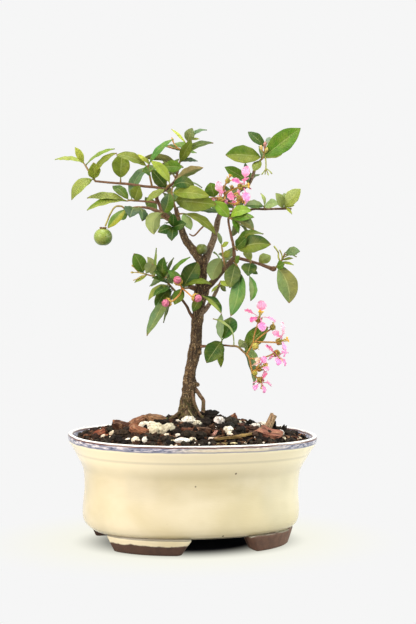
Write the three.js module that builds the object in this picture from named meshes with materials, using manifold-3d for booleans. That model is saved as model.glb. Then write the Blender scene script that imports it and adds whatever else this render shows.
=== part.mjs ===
// Barbados cherry bonsai in a glazed oval pot: pot, potting mix, woody tree,
// leafy shoots, flowers, buds and fruits. Millimetres, +Z up. The origin is the
// middle of the pot on the table, X runs along the pot and -Y is its front.

import * as THREE from 'three';
import { mergeVertices } from 'three/addons/utils/BufferGeometryUtils.js';
import Module from 'manifold-3d';

const wasm = await Module();
wasm.setup();

// Driving dimensions
const POT_HEIGHT = 62.2;
const RIM_HALF = [72.3, 53.8];
const FOOT_HALF = [59.3, 44.3];
const FOOT_INNER_HALF = [44, 30];
const FOOT_DRAFT = 2.4;
const FOOT_HEIGHT = 8.5;
const FRONT_ARCH = { top: 32, bottom: 42.5, x: 3 };
const END_ARCH = { top: 38, bottom: 43, y: 1 };
const POT_FLOOR_TOP = 14;
const POT_ROUNDNESS = 2.3;
const POT_SIDES = 32;
const SOIL_SIDES = 20;
const DRAIN_X = 28;
const DRAIN_RADIUS = 6;
const SCREEN_SIDE = 17;
const SCREEN_THICK = 0.8;
const SCREEN_HOLE_RADIUS = 1.5;
const SCREEN_PITCH = 4.6;
const SOIL_HALF = [68.3, 50];
const SOIL_INSET = 5.2;
const SOIL_RIM_HEIGHT = 59;
const SOIL_RISE = 12;
const SOIL_SLOPE = 1.3;
const SOIL_BUMP = 1.6;
const CHIP_LIFT = 0.6;
const GAP = 0.38;
const LEAF_THICK = 0.62;
const PETAL_THICK = 0.6;
const STEM_RADIUS = 0.6;
const FLAT_SHARE = Math.cos(Math.PI / 4);
const TWIG_SEAT = 0.75;
const ROOT_OFFSET = 0.3;
const STEM_END = 0.5;
const FRUIT_RADIUS = 5.2;
const SMALL_FRUIT_RADIUS = 3.3;
const BUD_RADIUS = 2.2;

// Front view: the tree is laid out as it is seen from its best side, with u to
// the right, v up and w towards the viewer, all from the middle of the pot.
const VIEW_TURN = THREE.MathUtils.degToRad(20);
const EYE_U = 6.6;
const EYE_V = 164.6;
const EYE_DISTANCE = 796.7;
const RIGHT = new THREE.Vector3(Math.cos(VIEW_TURN), -Math.sin(VIEW_TURN), 0);
const TOWARDS = new THREE.Vector3(-Math.sin(VIEW_TURN), -Math.cos(VIEW_TURN), 0);
const UP = new THREE.Vector3(0, 0, 1);

function fromView(u, v, w) {
  return new THREE.Vector3().addScaledVector(RIGHT, u).addScaledVector(UP, v).addScaledVector(TOWARDS, w);
}

const EYE = fromView(EYE_U, EYE_V, EYE_DISTANCE);

// A point seen at (u, v), slid along its sight line to the depth w
function place(u, v, w) {
  const flat = fromView(u, v, 0);
  return flat.lerp(EYE, w / EYE_DISTANCE);
}

function seededRandom(seed) {
  let state = seed;
  return () => {
    state = (state * 1664525 + 1013904223) % 4294967296;
    return state / 4294967296;
  };
}

// Solids

function solidFromGeometry(geometry) {
  const bare = geometry.clone();
  bare.deleteAttribute('normal');
  bare.deleteAttribute('uv');
  const merged = mergeVertices(bare, 1e-4);
  return new wasm.Manifold(new wasm.Mesh({
    numProp: 3,
    vertProperties: new Float32Array(merged.attributes.position.array),
    triVerts: new Uint32Array(merged.index.array),
  }));
}

function geometryFromSolid(solid) {
  const mesh = solid.getMesh();
  const geometry = new THREE.BufferGeometry();
  geometry.setAttribute('position', new THREE.BufferAttribute(mesh.vertProperties, 3));
  geometry.setIndex(new THREE.BufferAttribute(mesh.triVerts, 1));
  geometry.computeVertexNormals();
  return geometry;
}

function signedVolume(points, faces) {
  let total = 0;
  for (const [a, b, c] of faces) {
    total += points[a].dot(new THREE.Vector3().crossVectors(points[b], points[c]));
  }
  return total / 6;
}

// Faces between two neighbouring rings. A ring of one point makes a fan. The
// second half of a ring is split the other way, so a thin blade's two faces
// are split alike.
function joinRings(faces, startA, countA, startB, countB) {
  const count = Math.max(countA, countB);
  for (let j = 0; j < count; j += 1) {
    const k = (j + 1) % count;
    if (countA === 1) faces.push([startA, startB + j, startB + k]);
    else if (countB === 1) faces.push([startA + j, startB, startA + k]);
    else {
      const [a, b, c, d] = [startA + j, startB + j, startB + k, startA + k];
      if (j < count / 2) faces.push([a, b, c], [a, c, d]);
      else faces.push([a, b, d], [d, b, c]);
    }
  }
}

// A closed solid through a row of rings, with flat or pointed ends
function loft(rings) {
  const points = rings.flat();
  const faces = [];
  let start = 0;
  for (let i = 0; i + 1 < rings.length; i += 1) {
    joinRings(faces, start, rings[i].length, start + rings[i].length, rings[i + 1].length);
    start += rings[i].length;
  }
  for (let j = 1; j + 1 < rings[0].length; j += 1) faces.push([0, j, j + 1]);
  for (let j = 1; j + 1 < rings.at(-1).length; j += 1) faces.push([start, start + j + 1, start + j]);
  if (signedVolume(points, faces) < 0) faces.forEach((face) => face.reverse());
  const geometry = new THREE.BufferGeometry();
  geometry.setFromPoints(points);
  geometry.setIndex(faces.flat());
  return solidFromGeometry(geometry);
}

function join(solids) {
  return wasm.Manifold.union(solids);
}

// The largest piece of a solid, without the scraps that a cut leaves
function whole(solid) {
  const pieces = solid.decompose();
  return pieces.reduce((best, piece) => (piece.volume() > best.volume() ? piece : best));
}

// A tapered round tube along a list of { at, radius }
function tube(stations, sides, ripple = () => 1) {
  const rings = [];
  let side = null;
  stations.forEach(({ at, radius }, i) => {
    const before = stations[Math.max(i - 1, 0)].at;
    const after = stations[Math.min(i + 1, stations.length - 1)].at;
    const along = after.clone().sub(before).normalize();
    side = side ?? new THREE.Vector3(1, 0.2, 0.1);
    side = side.clone().addScaledVector(along, -side.dot(along)).normalize();
    const other = new THREE.Vector3().crossVectors(along, side);
    const ring = [];
    for (let j = 0; j < sides; j += 1) {
      const angle = (2 * Math.PI * j) / sides;
      const reach = radius * ripple(angle, at.z);
      const point = at.clone().addScaledVector(side, reach * Math.cos(angle));
      ring.push(point.addScaledVector(other, reach * Math.sin(angle)));
    }
    rings.push(ring);
  });
  return loft(rings);
}

// Stations along a route of [u, v, w, radius], lengthened by grow and widened so
// that the flats of a four-sided tube move out by grow
function route(points, grow = 0) {
  const widen = grow / FLAT_SHARE;
  const stations = points.map(([u, v, w, radius = STEM_RADIUS]) => (
    { at: place(u, v, w), radius: radius + widen }
  ));
  const [first, second, beforeLast, last] = [stations[0], stations[1], stations.at(-2), stations.at(-1)];
  const back = first.at.clone().sub(second.at).setLength(grow);
  const ahead = last.at.clone().sub(beforeLast.at).setLength(grow);
  first.at.add(back);
  last.at.add(ahead);
  return stations;
}

function mesh(name, solid, color, roughness, metalness = 0) {
  const material = new THREE.MeshStandardMaterial({ color, roughness, metalness });
  const result = new THREE.Mesh(geometryFromSolid(solid), material);
  result.name = name;
  return result;
}

// Pot: a flared glazed body on four corner feet

function ovalRing(halfX, halfY, z, sides = POT_SIDES) {
  const ring = [];
  for (let j = 0; j < sides; j += 1) {
    const angle = (2 * Math.PI * j) / sides;
    const power = 2 / POT_ROUNDNESS;
    const x = Math.sign(Math.cos(angle)) * Math.abs(Math.cos(angle)) ** power;
    const y = Math.sign(Math.sin(angle)) * Math.abs(Math.sin(angle)) ** power;
    ring.push(new THREE.Vector3(halfX * x, halfY * y, z));
  }
  return ring;
}

// Inset from the rim's outline at each height, up the outside and down the inside
const POT_PROFILE = [
  [16, 8.5], [13.2, 9], [10.3, 11.6], [9.1, 16], [9.9, 30.5], [9.1, 42.6], [3.4, 52.8], [0.3, 58.6],
  [0, 60.6], [0.4, POT_HEIGHT], [2.6, POT_HEIGHT], [13, 42], [13.8, POT_FLOOR_TOP],
];

function potRing([inset, z], clearance = 0, sides = POT_SIDES) {
  return ovalRing(RIM_HALF[0] - inset - clearance, RIM_HALF[1] - inset - clearance, z, sides);
}

function uprightPrism(width, depth, low, high, x, y) {
  const box = new THREE.BoxGeometry(width, depth, high - low);
  box.translate(x, y, (low + high) / 2);
  return solidFromGeometry(box);
}

// A wedge that widens downwards, cut from the foot ring between two feet
function footArch({ top, bottom, x = 0, y = 0 }, turn) {
  const shape = new THREE.Shape([
    new THREE.Vector2(-bottom / 2, -1), new THREE.Vector2(bottom / 2, -1),
    new THREE.Vector2(top / 2, FOOT_HEIGHT), new THREE.Vector2(-top / 2, FOOT_HEIGHT),
  ]);
  const depth = 2 * RIM_HALF[0];
  const wedge = new THREE.ExtrudeGeometry(shape, { depth, bevelEnabled: false });
  wedge.translate(0, 0, -depth / 2);
  wedge.rotateX(Math.PI / 2);
  wedge.rotateZ(turn);
  wedge.translate(x, y, 0);
  return solidFromGeometry(wedge);
}

function drainHole(x) {
  const hole = new THREE.CylinderGeometry(DRAIN_RADIUS, DRAIN_RADIUS, 2 * POT_FLOOR_TOP, 16);
  hole.rotateX(Math.PI / 2);
  hole.translate(x, 0, POT_FLOOR_TOP);
  return solidFromGeometry(hole);
}

function potSolid() {
  const body = loft(POT_PROFILE.map((point) => potRing(point)));
  const footOuter = loft([
    ovalRing(FOOT_HALF[0] - FOOT_DRAFT, FOOT_HALF[1] - FOOT_DRAFT, 0),
    ovalRing(FOOT_HALF[0], FOOT_HALF[1], FOOT_HEIGHT + 1),
  ]);
  const footInner = loft([-1, FOOT_HEIGHT + 2].map((z) => ovalRing(...FOOT_INNER_HALF, z, POT_SIDES / 2)));
  const arches = [footArch(FRONT_ARCH, 0), footArch(END_ARCH, Math.PI / 2)];
  const feet = footOuter.subtract(join([footInner, ...arches]));
  const drains = [-DRAIN_X, DRAIN_X].map(drainHole);
  return join([body, feet]).subtract(join(drains));
}

// A woven plastic screen over a drain hole
function screenSolid(x) {
  const half = SCREEN_SIDE / 2;
  const shape = new THREE.Shape([
    new THREE.Vector2(-half, -half), new THREE.Vector2(half, -half),
    new THREE.Vector2(half, half), new THREE.Vector2(-half, half),
  ]);
  for (const column of [-1, 0, 1]) {
    for (const row of [-1, 0, 1]) {
      const hole = new THREE.Path();
      hole.absarc(SCREEN_PITCH * column, SCREEN_PITCH * row, SCREEN_HOLE_RADIUS, 0, 2 * Math.PI, true);
      shape.holes.push(hole);
    }
  }
  const extrusion = { depth: SCREEN_THICK, bevelEnabled: false, curveSegments: 3 };
  const sheet = new THREE.ExtrudeGeometry(shape, extrusion);
  sheet.translate(x, 0, POT_FLOOR_TOP + GAP);
  return solidFromGeometry(sheet);
}

// Potting mix: a low mound with crumbs, bark chips and pumice standing out of it

function soilHeight(x, y) {
  const [across, along] = [Math.abs(x) / SOIL_HALF[0], Math.abs(y) / SOIL_HALF[1]];
  const reach = (across ** POT_ROUNDNESS + along ** POT_ROUNDNESS) ** (SOIL_SLOPE / POT_ROUNDNESS);
  return SOIL_RIM_HEIGHT + SOIL_RISE * Math.max(0, 1 - reach);
}

function soilBody() {
  const bumps = seededRandom(41);
  const base = potRing([14.4, POT_FLOOR_TOP + GAP], 0, SOIL_SIDES);
  const sides = [[13, 42], [4.4, 58.7]].map((point) => potRing(point, GAP + 0.1, SOIL_SIDES));
  const edge = RIM_HALF.map((half) => half - SOIL_INSET);
  const crown = [0.9, 0.7, 0.46, 0.2].map((share) => {
    const ring = ovalRing(edge[0] * share, edge[1] * share, 0, SOIL_SIDES);
    ring.forEach((point) => { point.z = soilHeight(point.x, point.y) + SOIL_BUMP * (bumps() - 0.5); });
    return ring;
  });
  const peak = [new THREE.Vector3(0, 0, soilHeight(0, 0))];
  return loft([base, ...sides, ...crown, peak]);
}

// Chips read from the photo: [x, y, length, width, height, turn, tilt]
const BARK_CHIPS = [
  [-37.6, -16.6, 11, 5.6, 3.6, -14, 14], [34.6, -30.2, 13.6, 7, 3.6, -22, 10],
  [-57.2, -3.5, 7.4, 5, 4, 10, -12], [-21.5, 3, 15, 6, 4.4, 30, 3], [-34, 1, 12, 6, 4.6, 4, -20],
  [-43.5, 0.5, 10.5, 5.5, 5, -10, 10], [-47, -14, 10, 7.6, 5.4, 20, 0], [41.5, -14, 17, 3.6, 2.6, 8, -64],
  [6, -38.6, 17, 2.2, 2.4, 4, -3],
  [30, 24, 10, 6, 4, 30, 10], [-36, 26, 11, 5, 4, -20, 12],
];
const PUMICE = [
  [-32.6, -8, 3], [-29.4, -12.4, 2.8], [-29.4, -21, 3.4], [-22.8, -22.4, 3.4], [-20.2, -38.4, 2.4],
  [-7.4, -11.8, 3.2], [10.3, -13.8, 3.2], [-14, 30, 3],
];

function chip([x, y, length, width, height, turn, tilt]) {
  const box = new THREE.BoxGeometry(length, width, height);
  box.rotateY(THREE.MathUtils.degToRad(tilt));
  box.rotateZ(THREE.MathUtils.degToRad(turn));
  box.translate(x, y, soilHeight(x, y) + CHIP_LIFT);
  return solidFromGeometry(box);
}

function pebble([x, y, radius]) {
  const ball = new THREE.OctahedronGeometry(radius * 1.25, 0);
  ball.rotateX(0.6 + y);
  ball.scale(1, 1, 0.8);
  ball.rotateZ(x);
  ball.translate(x, y, soilHeight(x, y) + 0.25 * radius);
  return solidFromGeometry(ball);
}

function screenRecess(x) {
  const side = SCREEN_SIDE + 2 * GAP;
  return uprightPrism(side, side, POT_FLOOR_TOP - 1, POT_FLOOR_TOP + SCREEN_THICK + 2 * GAP, x, 0);
}

function soilSolid(woodClearance) {
  const body = join([soilBody(), ...BARK_CHIPS.map(chip), ...PUMICE.map(pebble)]);
  const holes = [woodClearance, screenRecess(-DRAIN_X), screenRecess(DRAIN_X)];
  return whole(body.subtract(join(holes)));
}

// Woody tree: routes of [u, v, w, radius]

const TRUNK = [
  [-3, 56, 0, 5.6], [-3, 66, 0, 6], [-3.2, 71, 0, 6.4], [-3.7, 75, 0, 5.2], [-4.2, 80, 0.3, 4.4],
  [-3.9, 85, 0.5, 3.8],
  [-3.1, 90, 0.6, 4], [-2.9, 95, 0.6, 3.5], [-2.2, 100, 0.5, 3.2], [-1.3, 105, 0.4, 3.3],
  [-0.6, 110, 0.2, 3.7],
  [-0.1, 115, 0, 3.3], [0.1, 120, 0, 3.1], [0.6, 126, 0, 3.3], [1.4, 132, 0, 3.3], [2, 138, 0, 3.3],
  [2.3, 144.5, 0, 4.3], [2.5, 151, 0, 2.9], [2.9, 158, 0, 3], [3.2, 163, 0, 2.6],
];
const ROOTS = [
  [
    [-1, 89, 1, 1.5], [1.6, 86.3, 1, 1.2], [3.5, 83.6, 1.2, 1.1], [5.2, 81.2, 1.2, 1.15],
    [5.3, 77.5, 1, 1.2], [5.2, 70, 1, 1.3],
  ],
  [[-1.5, 88, 2.6, 1], [-1, 84, 3.2, 0.9], [0.4, 79, 3.4, 0.9], [3, 73.8, 3, 0.8], [6, 70, 2.6, 0.8]],
  [[-5, 77, 1, 1.8], [-8.6, 73.6, 2.5, 1.3], [-13, 70.4, 5, 1], [-17, 67.4, 8, 0.8]],
  [[-4, 76, 2, 1.6], [-4.5, 72.4, 7, 1.2], [-6, 67.4, 13, 0.9]],
  [[-2, 76, -2, 1.8], [2, 73, -6, 1.3], [7, 69.4, -10, 0.9]],
];
const BRANCHES = {
  leftMain: [
    [3, 160, 0, 2.6], [-3, 168, 2.6, 2.4], [-7, 173, 4, 2.2], [-10, 180, 4.8, 1.9], [-11.8, 185, 5, 1.6],
    [-13.3, 191.3, 5, 1.2],
  ],
  rightMain: [
    [3.4, 160, 0, 2.5], [8, 172, -2, 2], [10, 180, -3, 1.8], [11.2, 186, -3.4, 1.6], [14, 193, -5, 1.3],
    [20, 200, -7, 1.1], [28.3, 206.5, -8, 1], [31.6, 215.3, -7, 0.9],
  ],
  flowerTwig: [[13.4, 192, -4.8, 0.9], [13, 195.5, -2, 0.7]],
  leftSide: [
    [-11.6, 183.6, 5, 1.4], [-15.9, 184.9, 4.6, 1.4], [-20.9, 188, 4, 1.4], [-27.7, 190.8, 6, 0.9],
    [-33, 191.5, 7, 0.7],
  ],
  leftRiser: [
    [-20.7, 187.8, 4, 1.2], [-22.4, 192.6, 1.6, 1.05], [-24.2, 196, 0, 1.05], [-24, 198.6, -1, 1],
    [-22, 200.4, -2, 1], [-19.2, 201.7, -3, 0.9],
  ],
  leftArm: [
    [-19.6, 201.5, -3, 0.9], [-24.4, 203, -3.2, 0.85], [-32, 203.5, -4, 0.8], [-40, 204.5, -6, 0.75],
    [-50, 205, -8, 0.7], [-60, 205.7, -10, 0.65],
  ],
  leftLower: [
    [-23.6, 194.2, 0.7, 0.8], [-27, 194.7, -2, 0.7], [-34, 195, -6, 0.6], [-37, 195.1, -7.6, 0.6],
  ],
  topTwig: [
    [-19.4, 201.6, -3, 0.9], [-14.4, 206.8, -6, 0.75], [-12.8, 212, -7.4, 0.7], [-12, 217, -8, 0.7],
  ],
  rightThick: [
    [3, 144, 0.6, 2.2], [8, 148.6, 3, 1.8], [12, 153.4, 5, 1.6], [16, 158, 6, 1.5], [20.2, 163, 6, 1.5],
  ],
  rightRiser: [
    [21, 163.6, 6, 1.1], [20.4, 170, 5, 0.85], [18.3, 178.4, 3, 0.75], [17, 186.4, 3, 0.7],
    [20, 189.6, 3, 0.65], [26, 191, 3.4, 0.65], [32.3, 192.1, 3.8, 0.7], [37.5, 192.1, 3.8, 0.7],
    [48, 192.6, 3, 0.65], [53, 192.7, 3, 0.5],
  ],
  rightMiddle: [
    [20.2, 163, 6, 1.2], [23, 163.7, 6.4, 1.05], [31.2, 161.8, 6.8, 0.85], [36, 160.4, 6.2, 0.85],
    [40, 159.1, 6, 1], [43.8, 157.7, 6, 1.4],
  ],
  greyBranch: [
    [1.8, 130.5, 1.4, 1.8], [5.5, 134.5, 3.6, 1.4], [8.3, 138.6, 6, 1.2], [10.4, 143, 7.6, 1.1],
    [12.4, 148, 8.6, 1],
  ],
  leftLowTwig: [
    [0, 126.5, 0.6, 1.3], [-3.8, 131.5, 2, 0.9], [-5.5, 135, 3, 0.8], [-8.4, 139, 4, 0.7],
    [-11, 142.5, 5, 0.7],
  ],
  burlSpur: [[1, 145, 1, 1.6], [-4.6, 146.2, 3.4, 0.9]],
  rightLow: [[1, 112.4, 1, 1], [8, 112.7, 3, 0.7], [14.5, 113.4, 6, 0.6], [20.2, 113.1, 7.2, 0.6]],
  backLeft: [[-5, 170.6, 3.2, 1.4], [-8, 176, -8, 1], [-11, 183, -18, 0.8], [-13, 188, -24, 0.7]],
  backRight: [[11, 185, -3.2, 1.3], [12.8, 188, -11, 1], [16.6, 190, -21, 0.8], [19.8, 190.6, -29, 0.7]],
  backMiddle: [[2.9, 155, 0, 1.6], [5.5, 158, -9, 1], [9.5, 160, -19, 0.8], [11, 161, -24, 0.7]],
  backLow: [[2, 145, -1, 1.6], [-4, 147, -10, 1], [-10, 149, -17, 0.8], [-13, 150.5, -20, 0.7]],
  backTop: [[-14.4, 206.6, -6, 0.7], [-13.4, 208.1, -14, 0.7]],
};

function barkRipple(angle, z) {
  return 1 + 0.07 * Math.sin(3 * angle + z / 9) + 0.05 * Math.sin(5 * angle - z / 5);
}

function branchSides(radius) {
  if (radius > 1.7) return 6;
  return radius > 0.9 ? 5 : 4;
}

function woodSolid(grow = 0) {
  const trunk = tube(route(TRUNK, grow), 9, barkRipple);
  const roots = ROOTS.map((points) => tube(route(points, grow), 4));
  const branches = Object.values(BRANCHES).map((points) => (
    tube(route(points, grow), branchSides(points[0][3]))
  ));
  return join([trunk, ...roots, ...branches]);
}

// Blades: leaves and petals. A blade runs from its root to its tip, folded up
// along the midrib, arched by bow and bent sideways by sweep.

const LEAF_OUTLINE = [[0.2, 0.66], [0.5, 1], [0.8, 0.66]];
const SMALL_LEAF_OUTLINE = [[0.3, 0.9], [0.68, 0.94]];
const SMALL_LEAF_WIDTH = 8.6;
const FLAT_LEAF_WIDTH = 6.2;
const LEAF_FOLD = 0.22;
const PETAL_OUTLINE = [[0.36, 0.24], [0.74, 1]];

function leafOutline(width) {
  return width < SMALL_LEAF_WIDTH ? SMALL_LEAF_OUTLINE : LEAF_OUTLINE;
}

function leafFold(width) {
  return width < FLAT_LEAF_WIDTH ? 0 : LEAF_FOLD;
}

function blade(root, tip, width, normal, options) {
  const { bow = 1, sweep = 0, fold = leafFold(width) } = options;
  const { outline = leafOutline(width), thick = LEAF_THICK } = options;
  const chord = tip.clone().sub(root);
  const along = chord.clone().normalize();
  const face = normal.clone().addScaledVector(along, -normal.dot(along)).normalize();
  const across = new THREE.Vector3().crossVectors(along, face);
  const rings = outline.map(([share, breadth]) => {
    const half = (width / 2) * breadth;
    const arch = 4 * share * (1 - share);
    const middle = root.clone().addScaledVector(chord, share);
    middle.addScaledVector(face, bow * arch).addScaledVector(across, sweep * arch);
    const rise = middle.clone().addScaledVector(face, fold * half);
    const edge = (side) => rise.clone().addScaledVector(across, side * half);
    const section = fold > 0 ? [edge(-1), middle, edge(1)] : [edge(-1), edge(1)];
    const upper = section.map((point) => point.clone().addScaledVector(face, thick / 2));
    const lower = section.reverse().map((point) => point.clone().addScaledVector(face, -thick / 2));
    return [...upper, ...lower];
  });
  return loft([[root], ...rings, [tip]]);
}

// The way a blade faces: roll 0 looks at the viewer, 90 looks up the picture,
// and past 90 the underside shows
function facing(root, tip, roll) {
  const along = tip.clone().sub(root).normalize();
  const sight = EYE.clone().sub(root).normalize();
  const front = sight.addScaledVector(along, -sight.dot(along)).normalize();
  const upward = new THREE.Vector3().crossVectors(along, front);
  const leftward = along.dot(RIGHT) <= 0;
  if (!leftward) upward.negate();
  const angle = THREE.MathUtils.degToRad(roll);
  const normal = front.clone().multiplyScalar(Math.cos(angle)).addScaledVector(upward, Math.sin(angle));
  const crosswise = upward.multiplyScalar(Math.cos(angle)).addScaledVector(front, -Math.sin(angle));
  return { normal, crosswise, along };
}

function viewBlade(root, [u, v, w, width, roll, bow = 1, sweep = 0], options = {}) {
  const tip = place(u, v, w);
  const { normal, crosswise, along } = facing(root, tip, roll);
  const across = new THREE.Vector3().crossVectors(along, normal);
  const side = across.dot(crosswise) > 0 ? 1 : -1;
  return blade(root, tip, width, normal, { bow, sweep: sweep * side, ...options });
}

function pointOn(stations, at) {
  const index = Math.min(Math.floor(at), stations.length - 2);
  return stations[index].at.clone().lerp(stations[index + 1].at, at - index);
}

// Leafy shoots. A stem is a route of [u, v, w, radius], and a leaf is
// [place on the stem, tip u, v, w, width, roll, bow, sweep].

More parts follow.
